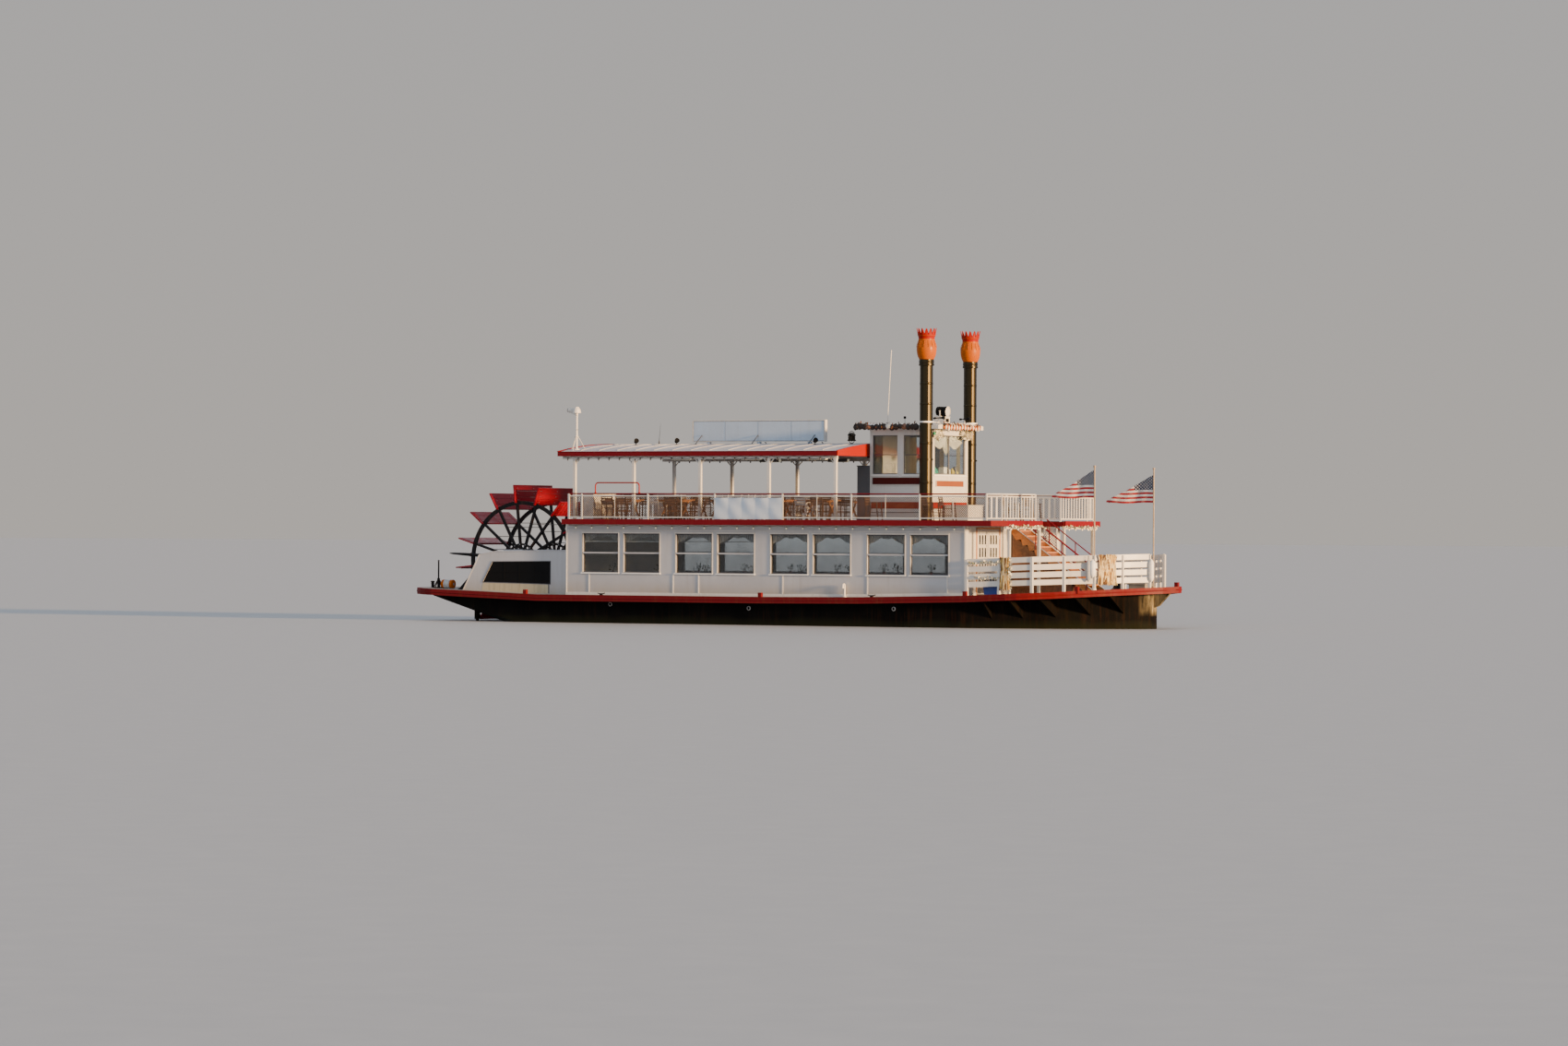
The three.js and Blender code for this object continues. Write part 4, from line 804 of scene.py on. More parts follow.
def paddle_wheel():
    red, black, iron = 0, 1, 2
    hub = [(0.1, -0.1), (0.17, -0.1), (0.19, -0.06), (0.33, -0.055)]
    made = Shape()
    arms = turns(WHEEL.arms, 0.25)
    for side in SIDES:
        y = side * WHEEL.rim_y
        wheel_ring(made, WHEEL.rim, WHEEL.rim_deep, y, 0.09, black)
        wheel_ring(made, 0.62, 0.07, y, 0.075, black)
        on_axle(made, hub + [(r, -way) for r, way in reversed(hub)], y, 32, black)
        for angle in arms:
            made.bar(wheel_at(angle, 0.2, y), wheel_at(angle, 2.14, y), 0.085, 0.085, black)
            made.bar(wheel_at(angle, 2.14, y), wheel_at(angle, 2.68, y), 0.06, 0.06, red)
            for r in (0.27, 0.585, 2.08):
                made.rod(wheel_at(angle, r, y - side * 0.05), wheel_at(angle, r, y + side * 0.05), 0.02, 6, iron)
    board = Shape()
    for inner, outer in ((2.07, 2.283), (2.289, 2.502), (2.508, WHEEL.board)):
        board.box((inner, -WHEEL.half, -0.022), (outer, WHEEL.half, 0.022), red)
    for y in (-1.13, -1.04, 0, 1.04, 1.13):
        for r in (2.18, 2.4, 2.6):
            board.pin(r, y, -0.04, 0.04, 0.014, 6, iron)
    for r in (2.12, 2.6):
        board.pad(r, 0, 0.03, 1.1, 0.022, 0.05, red)
    for angle in arms:
        made.copy_in(board, Matrix.Translation((WHEEL.x, 0, WHEEL.z)) @ Matrix.Rotation(-angle, 4, "Y"))
        for r in (1.35, 2.08):
            made.rod(wheel_at(angle, r, -WHEEL.rim_y), wheel_at(angle, r, WHEEL.rim_y), 0.012, 6, black)
    on_axle(made, [(0.09, -1.49), (0.09, 1.49)], 0, 32, iron)
    for y in (-0.95, 0.95):
        on_axle(made, [(0.13, -0.05), (0.13, 0.05)], y, 24, iron)
    finishes = [WHEEL_RED, WHEEL_BLACK, STEEL]
    piece("paddle_wheel_timbers", made, finishes, ["paddle_wheel"], 0.004, body="wheel")


paddle_wheel()

# Stacks: seams, collar rings, stays and the leafed crowns

STACK = Sizes(x=5.32, y=1.6)
STACK_AXIS = (STACK.x, -STACK.y, 0)
CROWN = Sizes(base=9.1603, points=14, tip=10.23)


def round_stack(radius, angle, z):
    """Point on a circle about the starboard stack."""
    return (STACK.x + radius * cos(angle), -STACK.y + radius * sin(angle), z)


def stack_fittings():
    made = Shape()
    foot = DECK2_TOP
    for z in (4.9, 6.25, 7.6, 8.3):
        made.collar(STACK_AXIS, 0.2255, 0.231, z, z + 0.068, 0.008, 48)
    apron = [(0.24, foot + 0.001), (0.36, foot + 0.001), (0.36, foot + 0.03), (0.24, foot + 0.06)]
    made.turned(apron, STACK_AXIS, 48)
    for t in turns(10):
        made.rod(round_stack(0.32, t, foot + 0.03), round_stack(0.32, t, foot + 0.05), 0.016, 6)
    for z, r in ((8.94, 0.268), (9.04, 0.262)):
        made.collar(STACK_AXIS, 0.25, r, z, z + 0.075, 0.015, 48)
    pair("stack_bands", made, [STACK_BLACK])


def crown():
    """Bulb, ring, cup, and points that flare outwards."""
    orange, red = 0, 1
    made = Shape()
    base = CROWN.base

    def turned(profile, finish):
        made.turned([(r, base + up) for r, up in profile], STACK_AXIS, 56, finish)

    bulb = [(0.255, 0), (0.262, 0.02), (0.3, 0.09), (0.326, 0.19), (0.344, 0.32), (0.343, 0.39), (0.333, 0.47),
            (0.31, 0.55), (0.286, 0.62), (0.28, 0.655)]
    turned(bulb + [(0.2, 0.655), (0.2, 0)], orange)
    turned([(0.22, 0.655), (0.281, 0.655), (0.284, 0.675), (0.281, 0.695), (0.22, 0.695)], orange)
    turned([(0.28, 0.8), (0.309, 0.802), (0.314, 0.809), (0.309, 0.816), (0.28, 0.818)], orange)
    cup = [(0.278, 0.695), (0.28, 0.74), (0.296, 0.8), (0.306, 0.82)]
    turned(cup + [(0.285, 0.82), (0.27, 0.79), (0.25, 0.74), (0.2, 0.72)], red)
    wide, thick = pi / CROWN.points, 0.012
    outline = ((0, 1.0), (0.25, 0.9), (0.5, 0.62), (0.75, 0.36), (0.92, 0.15), (1.0, 0.03))
    ribs = ((0.31, 0.36), (0.349, 0.42), (0.337, 0.5), (0.3, 0.6), (0.284, 0.65))
    for turn in turns(CROWN.points, 0.5):
        rings = []
        for way, share in outline:
            z = base + 0.8 + way * (CROWN.tip - base - 0.8)
            spread = 0.302 + 0.052 * way ** 1.4
            half = wide * share
            outer = [(-half, spread), (0, spread + 0.012 * (1 - way)), (half, spread)]
            inner = [(a, spread - thick) for a in (half, 0, -half)]
            rings.append([round_stack(r, turn + a, z) for a, r in outer + inner])
        made.loft(rings, red)
        made.sweep([round_stack(r, turn - wide, base + up) for r, up in ribs], 0.006, 6, orange)
    pair("crown_leaves", made, [CROWN_ORANGE, BRIGHT_RED], ["stack_crown_*"])


stack_fittings()
crown()


# Rails of the upper deck: posts, red handrail, wire netting along the sides, pickets at the ends

RAIL = Sizes(y=3.75, top=4.55, post=0.05, low=3.71, second=4.45)
RAIL_POSTS = (-7.72, -7.2, -4.5, -1.8, 0.9, 3.6, 6.25, 8.8)
FORE_RAIL = Sizes(x=9.2, corner=3.4, gate=0.94, aft=8.1)
AFT_RAIL = Sizes(x=-7.84, half=3.6)
RAIL_FOOT = DECK2_TOP + 0.0003
WHITE_PART, RED_PART, NET_PART, IRON_PART = 0, 1, 2, 3


def rail_posts(made, points):
    """Square posts with a welded foot plate and two bolts."""
    half = RAIL.post / 2
    for x, y in points:
        made.pad(x, y, half, half, RAIL_FOOT, RAIL.top - 0.02, WHITE_PART)
        made.pad(x, y, 0.05, 0.045, RAIL_FOOT, RAIL_FOOT + 0.008, WHITE_PART)
        for way in (-0.038, 0.038):
            made.pin(x + way, y, RAIL_FOOT + 0.008, RAIL_FOOT + 0.018, 0.008, 6, IRON_PART)


def rail_bars(made, points, handrail):
    for (x0, y0), (x1, y1) in zip(points, points[1:]):
        for z in (RAIL.second, RAIL.low):
            made.bar((x0, y0, z), (x1, y1, z), 0.036, 0.04, WHITE_PART)
    made.sweep([(x, y, RAIL.top - 0.022) for x, y in points], 0.024, 10, handrail)


def pickets(made, points, pitch=0.2, wide=0.055):
    """Flat upright slats between posts."""
    for p, q in zip(points, points[1:]):
        p, q = Vector((*p, 0)), Vector((*q, 0))
        count = round((q - p).length / pitch)
        along = (q - p).normalized() * wide / 2
        out = Vector((-along.y, along.x, 0)).normalized() * 0.009
        for k in range(1, count):
            foot = p.lerp(q, k / count)
            ends = [foot + along + out, foot - along + out, foot - along - out, foot + along - out]
            made.loft([[(c.x, c.y, z) for c in ends] for z in (RAIL.low - 0.01, RAIL.second + 0.01)], WHITE_PART)


def crossed_strips(made, frame_x, frame_z, y, starts, half_wide, half_thick, depth, shortest, finish, capped):
    """Two layers of slanting strips, each cut off where it meets the frame. starts are where they would set out."""
    (x0, x1), (z0, z1) = frame_x, frame_z
    for lean in (1, -1):
        for start in starts:
            low_x, high_x = max(start, x0), min(start + z1 - z0, x1)
            if high_x - low_x < shortest:
                continue
            ends = [Vector((x, z0 + (x - start))) for x in (low_x, high_x)]
            if lean < 0:
                ends = [Vector((x0 + x1 - x, z)) for x, z in ends]
            along = (ends[1] - ends[0]).normalized()
            made.loft([[(x - along.y * half_wide * a, y + lean * depth + half_thick * b, z + along.x * half_wide * a)
                        for a, b in SQUARE] for x, z in ends], finish, capped)


def upper_rails():
    made = Shape()
    side = [(x, -RAIL.y) for x in RAIL_POSTS]
    x, gate = FORE_RAIL.x, -FORE_RAIL.gate
    bow = [side[-1], (x, -FORE_RAIL.corner), (x, gate), (FORE_RAIL.aft, gate)]
    rail_posts(made, side + bow[1:])
    rail_bars(made, side, RED_PART)
    rail_bars(made, bow, WHITE_PART)
    low, high, pitch = RAIL.low + 0.015, RAIL.second - 0.015, 0.08
    for x0, x1 in ((x0 + 0.025, x1 - 0.025) for x0, x1 in zip(RAIL_POSTS, RAIL_POSTS[1:])):
        aft = x0 - (high - low)
        starts = [aft + k * pitch for k in range(int((x1 - aft) / pitch) + 1)]
        crossed_strips(made, (x0, x1), (low, high), -RAIL.y, starts, 0.006, 0.002, 0.002, 0.02, NET_PART, False)
    pickets(made, bow)
    # a strut halfway along each bay
    for x0, x1 in zip(RAIL_POSTS[1:], RAIL_POSTS[2:]):
        x = (x0 + x1) / 2
        for low, high in ((RAIL.low, RAIL.second), (RAIL.second, RAIL.top - 0.03)):
            made.bar((x, -RAIL.y, low), (x, -RAIL.y, high), 0.02, 0.02, WHITE_PART)
    finishes = [WHITE, TRIM_RED, NETTING, STEEL]
    pair("deck_rail", made, finishes, ["upper_rail_*"])
    made = Shape()
    line = [(AFT_RAIL.x, k * AFT_RAIL.half) for k in (-1, -0.5, 0, 0.5, 1)]
    rail_posts(made, line)
    rail_bars(made, line, RED_PART)
    pickets(made, line)
    piece("aft_deck_rail", made, finishes, ["aft_rail"])


upper_rails()

# Red hoop on the starboard rail

HOOP = Sizes(aft=-6.65, fore=-4.86, top=4.912, r=0.022)


def rail_hoop():
    made = Shape()
    y, foot = -RAIL.y, RAIL.top + 0.0005
    aft, fore, bend = HOOP.aft, HOOP.fore, 0.12
    quarter = [pi / 2 * i / 6 for i in range(7)]
    route = [(aft, y, foot)]
    route += [(aft + bend - bend * cos(t), y, HOOP.top - bend + bend * sin(t)) for t in quarter]
    route += [(fore - bend + bend * sin(t), y, HOOP.top - bend + bend * cos(t)) for t in quarter]
    made.sweep(route + [(fore, y, foot)], HOOP.r, 12)
    for x in (aft, fore):
        made.turned([(0.04, foot), (0.04, foot + 0.008), (0.028, foot + 0.03)], (x, y, 0), 16)
    piece("rail_hoop", made, [BRIGHT_RED], ["gate_hoop"])


rail_hoop()

# Flags and the banner on the rail


def flat_sheet(name, columns, rows, place, size, finish, node):
    """Sheet cut as a rectangle. place gives each point from its shares along and up."""
    made = sheet_mesh(name, columns, rows, lambda i, j: place(i / columns, j / rows),
                      lambda i, j: (i / columns * size[0], j / rows * size[1]), finish)
    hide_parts(node)
    return made


def pleated(way, deep, turn):
    """Cloth folded to and fro: how far past the first fold a point lies, and how far back."""
    level, layer, heading = 0.0, 0, 1
    while True:
        if way < pi * turn:
            angle = way / turn
            return level + heading * turn * sin(angle), turn * (2 * layer + 1 - cos(angle))
        way -= pi * turn
        layer, heading = layer + 1, -heading
        if way < deep:
            return level + heading * way, 2 * turn * layer
        way -= deep
        level += heading * deep


def flag(name, staff, top, hoist, fly, node):
    """Flag in a light air. Its upper fly corner hangs in pleats on the line from the hoist's top to the foot."""
    staff_x, staff_y, staff_r = staff
    hoist_top = Vector((0, hoist))
    fold_line = (Vector((fly, 0.05 * hoist)) - hoist_top).normalized()
    outwards = Vector((-fold_line.y, fold_line.x))

    def place(along, up):
        spot = Vector((along * fly, up * hoist))
        past, back = (spot - hoist_top).dot(outwards), 0.0
        if past > 0:
            folded, back = pleated(past, 0.1, 0.013)
            spot -= outwards * (past - folded)
        way = spot.x / fly
        sway = 0.035 * fly * sin(6.5 * way) * way + 0.012 * sin(19 * way + 5 * spot.y) * min(1, 4 * way)
        sag = 0.018 * hoist * sin(pi * way) - 0.012 * sin(8 * way)
        return (staff_x - staff_r - 0.96 * spot.x, staff_y + back + sway, top - hoist + spot.y - sag)

    made = flat_sheet(name, 150, 120, place, (fly, hoist), flag_cloth(name + "_cloth", fly, hoist), node)


flag("jack_ensign", (13.22, 0, 0.026), 5.2, 0.93, 1.85, "jack_flag")
flag("side_ensign", (12.15, -2.33, 0.03), 5.34, 0.92, 1.65, "side_flag")


def staff_sleeve():
    """Varnished upper length of the flagstaff beside the fence."""
    made = Shape()
    profile = [(0.0285, 2.34), (0.0285, 5.44), (0.0465, 5.443), (0.0465, 5.503), (0.02, 5.508)]
    made.turned(profile, (12.15, -2.33, 0), 24)
    piece("flagstaff_sleeve", made, [STAFF_WOOD])


staff_sleeve()


def rail_banner():
    """Blank cloth tied to the rail, a little slack between its ties."""
    aft, fore, low, high = -1.79, 0.89, 3.65, 4.4
    wide, tall = fore - aft, high - low

    def place(along, up):
        ties = abs(sin(pi * along * 5))
        slack = 0.012 * ties * (0.3 + up) + 0.006 * sin(along * 21 + up * 6)
        sag = 0.012 * ties * up ** 3
        return (aft + wide * along, -3.7785 - slack, low + tall * up - sag)

    made = flat_sheet("deck_banner", 90, 26, place, (wide, tall), BANNER, "rail_banner")
    hem = Shape()
    for z in (low + 0.012, high - 0.02):
        route = [place(k / 60, (z - low) / tall) for k in range(61)]
        hem.sweep([(x, y - 0.002, z) for x, y, z in route], 0.005, 6)
    for k in range(6):
        x, y, z = place(k / 5, 0.97)
        over_rail = [(-3.79, 4.46), (-3.75, 4.49), (-3.72, 4.45), (-3.735, 4.4)]
        hem.sweep([(x, *spot) for spot in [(y, z), (y - 0.012, z + 0.04)] + over_rail], 0.003, 6, 1)
    ties = piece("banner_hem", hem, [BANNER, PALE])


rail_banner()


# Stair from the bow to the upper deck

STAIR = Sizes(top=(8.0553, 3.49), foot=11.16, half=0.5, board=0.05, deep=0.26, treads=11)
STAIR_SLOPE = (deck_z(STAIR.foot) + 0.04 - STAIR.top[1]) / (STAIR.foot - STAIR.top[0])


def stair_z(x):
    return STAIR.top[1] + (x - STAIR.top[0]) * STAIR_SLOPE


def bow_stair():
    wooden, red, pale, dark = 0, 1, 2, 3
    made = Shape()
    half, board, foot, head = STAIR.half, STAIR.board, STAIR.foot, STAIR.top[0]
    run = (foot - head) / (STAIR.treads + 1)
    inside = half - board + 0.002
    outline = [(x, stair_z(x)) for x in (head, foot - 0.3, foot - 0.02)]
    outline += [(foot + 0.02, deck_z(foot) + 0.03), (foot, deck_z(foot) + 0.001)]
    outline.append((foot - 0.33, deck_z(foot - 0.33) + 0.006))
    for x in (head + run * i for i in range(STAIR.treads - 1, 0, -1)):
        for step, drop in ((0.42, STAIR.deep - 0.03), (-0.3, STAIR.deep + 0.06)):
            under = stair_z(x + run * max(step, 0)) - drop
            outline.append((x + run * step, max(under, deck_z(x) + 0.006)))
    outline.append((head, stair_z(head) - STAIR.deep))
    cap = strip([(x, stair_z(x) + 0.002) for x in (head, foot - 0.02)], 0.02)
    for side in SIDES:
        inner, outer = side * (half - board), side * half
        made.plate(outline, "y", inner, outer, wooden)
        made.plate(cap, "y", inner - side * 0.004, outer + side * 0.004, pale)
    for i in range(1, STAIR.treads + 1):
        x = head + run * (i - 0.5)
        z = stair_z(x + run / 2) + 0.005
        made.box((x - run * 0.45, -inside, z - 0.034), (x + run * 0.57, inside, z), wooden)
        made.box((x + run * 0.5, -inside + 0.01, z), (x + run * 0.575, inside - 0.01, z + 0.004), pale)
        made.box((x - run * 0.45, -inside, z), (x - run * 0.45 + 0.018, inside, z + 0.15), dark)
        for y in (-half, half):
            for bolt in (x + 0.08, x + 0.2):
                made.rod((bolt, y - 0.006, z - 0.017), (bolt, y + 0.006, z - 0.017), 0.009, 6, dark)
    for side in SIDES:
        y = side * (half + 0.015)
        for rise in (0.8, 0.45):
            made.rod((8.9, y, stair_z(8.9) + rise), (11.06, y, stair_z(11.06) + rise), 0.02, 10, red)
        for x in (8.9, 11.06):
            bend = ((0, 0.8), (0.03, 0.76), (0.03, 0.5), (0, 0.45))
            made.sweep([(x + out, y, stair_z(x) + rise) for out, rise in bend], 0.02, 10, red)
        for x in (9.0, 10.0, 10.96):
            made.pin(x, y, stair_z(x) - 0.15, stair_z(x) + 0.8, 0.018, 10, red)
            near, far = (y, y + 0.02) if side > 0 else (y - 0.008, y)
            made.box((x - 0.05, near, stair_z(x) - 0.17), (x + 0.05, far, stair_z(x) - 0.04), dark)
    piece("bow_stairway", made, [VARNISH, TRIM_RED, WHITE, DARK_WOOD], ["bow_stair"])


bow_stair()

# Gear on the starboard quarter: ribbed drum, pole on its tripod

DRUM = Sizes(x=-13.22, y=-3.05, r=0.16, half=0.23)


def stern_drum():
    made = Shape()
    middle = deck_z(DRUM.x - DRUM.half) + DRUM.r + 0.0005
    r, half = DRUM.r, DRUM.half
    end = [(0.03, half), (r - 0.02, half), (r, half - 0.012), (r, 0.12), (0.1, 0.12)]
    rib = [(0.1, -0.016), (r - 0.012, -0.016), (r - 0.004, -0.008), (r - 0.004, 0.008), (r - 0.012, 0.016),
           (0.1, 0.016)]

    def band(profile, finish, side=1, x=0.0):
        made.turned([(radius, x + side * out) for radius, out in profile], (DRUM.x, DRUM.y, middle), 40, finish,
                    axis=(1, 0, 0))

    for side in SIDES:
        band(end, 0, side)
        band([(0.045, half + 0.004), (0.045, half - 0.02)], 2, side)
    for k in range(7):
        band(rib, 3 if k % 2 else 1, x=-0.118 + 0.236 * k / 6)
    piece("quarter_drum", made, [CROWN_ORANGE, PALE, STEEL, FENDER_GREY], ["stern_drum"])


POLE = Sizes(x=-13.7, y=-2.95, top=2.15)


def stern_pole():
    made = Shape()
    foot = deck_z(POLE.x - 0.22) + 0.001
    x, y = POLE.x, POLE.y
    made.pin(x, y, foot, POLE.top, 0.032, 14, far_radius=0.026)
    made.turned([(0.036, POLE.top - 0.03), (0.036, POLE.top), (0.02, POLE.top + 0.008)], (x, y, 0), 14)
    made.pad(x, y, 0.22, 0.03, foot, foot + 0.04)
    made.pad(x, y, 0.03, 0.22, foot, foot + 0.04)
    for dx, dy in ((-0.2, 0), (0.2, 0), (0, -0.2), (0, 0.2)):
        made.bar((x + dx, y + dy, foot + 0.03), (x + dx * 0.1, y + dy * 0.1, foot + 0.32), 0.026, 0.026)
        made.pin(x + dx, y + dy, foot + 0.04, foot + 0.06, 0.016, 6)
    made.turned([(0.034, 0.3), (0.05, 0.3), (0.05, 0.35), (0.034, 0.35)], (x, y, foot), 14)
    piece("quarter_pole", made, [WHEEL_BLACK], ["stern_pole"], 0.003)


stern_drum()
stern_pole()

# Bell in its ring on the awning

BELL = Sizes(x=1.51, pivot=6.61, hoop_half=0.236, hoop_tall=0.211, hoop_middle=6.53)


def deck_bell():
    """Bell with its yoke, and the hoop that carries it on the awning's crown."""
    x, pivot = BELL.x, BELL.pivot
    made = Shape()
    outer = [(0.158, 6.4), (0.161, 6.408), (0.158, 6.418), (0.141, 6.44), (0.124, 6.475), (0.112, 6.52), (0.103, 6.565),
             (0.093, 6.6), (0.072, 6.628), (0.04, 6.642), (0.028, 6.65)]
    inner = [(0.02, 6.63), (0.02, 6.56), (0.062, 6.55), (0.092, 6.51), (0.108, 6.46), (0.148, 6.4)]
    made.turned(outer + inner, (x, 0, 0), 48)
    for r, z in ((0.1475, 6.43), (0.1155, 6.51), (0.1, 6.575)):
        bead = [(r - 0.006, z - 0.006), (r + 0.003, z - 0.004), (r + 0.003, z + 0.004), (r - 0.006, z + 0.006)]
        made.turned(bead, (x, 0, 0), 48)
    made.rod((x, -0.206, pivot), (x, 0.206, pivot), 0.013, 12)
    yoke = [(-0.13, pivot), (-0.115, 6.64), (-0.07, 6.668), (0, 6.678), (0.07, 6.668), (0.115, 6.64), (0.13, pivot)]
    for (y0, z0), (y1, z1) in zip(yoke, yoke[1:]):
        made.bar((x, y0, z0), (x, y1, z1), 0.045, 0.032)
    for y in (-0.13, 0.13):
        made.turned([(0.03, -0.02), (0.03, 0.02)], (x, y, pivot), 16, axis=(0, 1, 0))
    clapper = [(0.004, 6.56), (0.008, 6.45), (0.028, 6.43), (0.032, 6.405), (0.02, 6.385), (0.006, 6.38)]
    made.turned(clapper, (x, 0, 0), 20)
    piece("deck_bell", made, [BRONZE], ["bell"], body="bell")
    stand = Shape()
    hoop = [(x, BELL.hoop_half * cos(t), BELL.hoop_middle + BELL.hoop_tall * sin(t)) for t in turns(56)]
    stand.sweep(hoop, 0.0125, 10, looped=True)
    for side in SIDES:
        bearing = [(r, side * out) for r, out in ((0.026, 0.207), (0.032, 0.21), (0.032, 0.235), (0.02, 0.242))]
        stand.turned(bearing, (x, 0, pivot), 16, axis=(0, 1, 0))
    stand.turned([(0.06, 6.302), (0.06, 6.312), (0.025, 6.32), (0.02, 6.335)], (x, 0, 0), 20)
    stand.box((x - 0.15, -0.16, 6.2995), (x + 0.15, 0.16, 6.309))
    for dx, dy in ((-0.12, -0.13), (0.12, -0.13), (-0.12, 0.13), (0.12, 0.13)):
        stand.pin(x + dx, dy, 6.309, 6.322, 0.012, 6)
    piece("bell_ring", stand, [WHEEL_BLACK], ["bell_stand"])


deck_bell()

# Bundles of dry maize stalks tied to the starboard fence

FENCE = Sizes(corners=((8.02, -3.665), (10.4, -3.5), (12.15, -2.33), (13.35, -0.56)))
STALK_MIX = (0, 0, 0, 1, 1, 2, 2)


def fence_top(x):
    return 2.335 + 0.038 * (x - 8)


def between(table, z):
    """Values of a table of rows, blended at a height."""
    for low, high in zip(table, table[1:]):
        if z <= high[0]:
            share = max(0.0, (z - low[0]) / (high[0] - low[0]))
            return [a + (b - a) * share for a, b in zip(low[1:], high[1:])]
    return list(table[-1][1:])


def held(share):
    return max(-1, min(1, share))


def stalk_bundle(name, board, way, top, sections, face, count, stands_for=()):
    """Stalks that lean a little apart against one of the fence's boards, with curling leaves and twine."""
    made = Shape()
    low, high = sections[0][0], sections[-1][0]
    corner, end = (Vector(FENCE.corners[k]) for k in (board, board + 1))
    along = (end - corner).normalized()
    out = Vector((along.y, -along.x))
    middle = corner + along * way

    def at(breadth, depth, rise):
        half, thick = between(sections, rise)
        spot = middle + along * (breadth * half) + out * (face + thick * (1 + depth))
        return Vector((*spot, top + rise))

    tone, run_left = 0, 0
    for k in range(count):
        if run_left == 0:
            tone, run_left = chance.choice(STALK_MIX), chance.randint(2, 5)
        run_left -= 1
        b = -0.97 + 1.94 * (k + vary(0.1, 0.9)) / count
        limit = math.sqrt(max(0, 1 - b * b)) * 0.9
        d = vary(-limit, limit) if chance.random() < 0.5 else limit * vary(0.75, 1)
        foot, head = low + abs(chance.gauss(0, 0.07)), high - abs(chance.gauss(0, 0.06))
        lean = vary(-0.1, 0.1)
        steps = [i / 5 for i in range(6)]
        route = [at(held(b + lean * (step - 0.5)), d, foot + (head - foot) * step) for step in steps]
        made.sweep(route, [0.013, 0.0125, 0.012, 0.0115, 0.011, 0.008], 5, tone)
    for k in range(count * 2):
        b, rise = vary(-0.9, 0.9), vary(low + 0.1, high - 0.3)
        d = math.sqrt(1 - b * b) * vary(0.75, 1.0)
        length, turn = vary(0.22, 0.42), vary(-0.22, 0.22)
        rings = []
        for step in steps:
            spot = at(held(b + turn * step), d + 0.1 * sin(step * pi), min(rise + length * step, high))
            side = along.to_3d() * (0.024 * sin(pi * (0.15 + 0.84 * step)) + 0.001)
            back = out.to_3d() * 0.001
            rings.append([spot + side, spot + back * 2, spot - side, spot - back])
        made.loft(rings, chance.choice((0, 1, 2, 2)))
    for rise in (low * 0.52, low * 0.3):
        loop = [at(0.99 * cos(t), 0.97 * sin(t), rise) for t in turns(36)]
        made.sweep(loop, 0.006, 6, 3, looped=True)
    piece(name, made, [STALKS, STALKS_BROWN, STALKS_PALE, PALE], stands_for)


BOW_SECTIONS = [(-1.03, 0.37, 0.075), (-0.78, 0.35, 0.062), (-0.3, 0.315, 0.048), (-0.12, 0.33, 0.055),
                (0.02, 0.365, 0.07)]
stalk_bundle("stalk_bundle", 2, 0.465, fence_top(12.4), BOW_SECTIONS, 0.0203, 120, ["straw_bundle"])


# Saloon sides: window frames, sills, battens, mouldings and the strings of bulbs

WINDOW = Sizes(wide=1.46, low=1.78, high=3.14, pane=3.42)
WINDOW_STARTS = (-7.32, -5.64, -3.52, -1.84, 0.28, 1.96, 4.08, 5.76)
BLIND_WINDOWS = WINDOW_STARTS[:2]
SALOON = Sizes(aft=-8.0, fore=7.87, half=3.5, top=3.45)


def mitred(made, outer, inner, y0, y1, finish):
    """Four mitred lengths of moulding between two four-cornered outlines in a side wall."""
    for k in range(4):
        made.loft([[(x, y, z) for (x, z), y in zip((outer[c], inner[c], inner[c], outer[c]), (y0, y0, y1, y1))]
                   for c in (k, (k + 1) % 4)], finish)


def frame_ring(made, x0, x1, z0, z1, wide, y0, y1, finish=0):
    """Mitred moulding round an opening in a side wall."""
    outer = [(x0 - wide, z0 - wide), (x1 + wide, z0 - wide), (x1 + wide, z1 + wide), (x0 - wide, z1 + wide)]
    mitred(made, outer, [(x0, z0), (x1, z0), (x1, z1), (x0, z1)], y0, y1, finish)


def saloon_windows():
    white, dark, pale = 0, 1, 2
    made = Shape()
    wall = -SALOON.half
    mouldings = ((0, 0.035, -0.012, 0.001, white), (0.006, 0.012, -0.016, -0.004, dark), (0.03, 0.03, 0.06, 0.0795, dark))
    for x0 in WINDOW_STARTS:
        x1 = x0 + WINDOW.wide
        for inset, wide, y0, y1, finish in mouldings:
            frame_ring(made, x0 + inset, x1 - inset, WINDOW.low + inset, WINDOW.high - inset, wide,
                       wall + y0, wall + y1, finish)
        made.box((x0 - 0.05, wall - 0.045, WINDOW.low - 0.05), (x1 + 0.05, wall + 0.06, WINDOW.low - 0.012), pale)
        made.box((x0 - 0.05, wall - 0.03, WINDOW.high + 0.036), (x1 + 0.05, wall + 0.0, WINDOW.high + 0.052), white)
        for x in (x0 + 0.12, x1 - 0.12):
            made.pin(x, wall - 0.022, WINDOW.low - 0.05, WINDOW.low - 0.062, 0.006, 6, dark)
    pair("window_frames", made, [WHITE, CABINET_GREY, PALE])


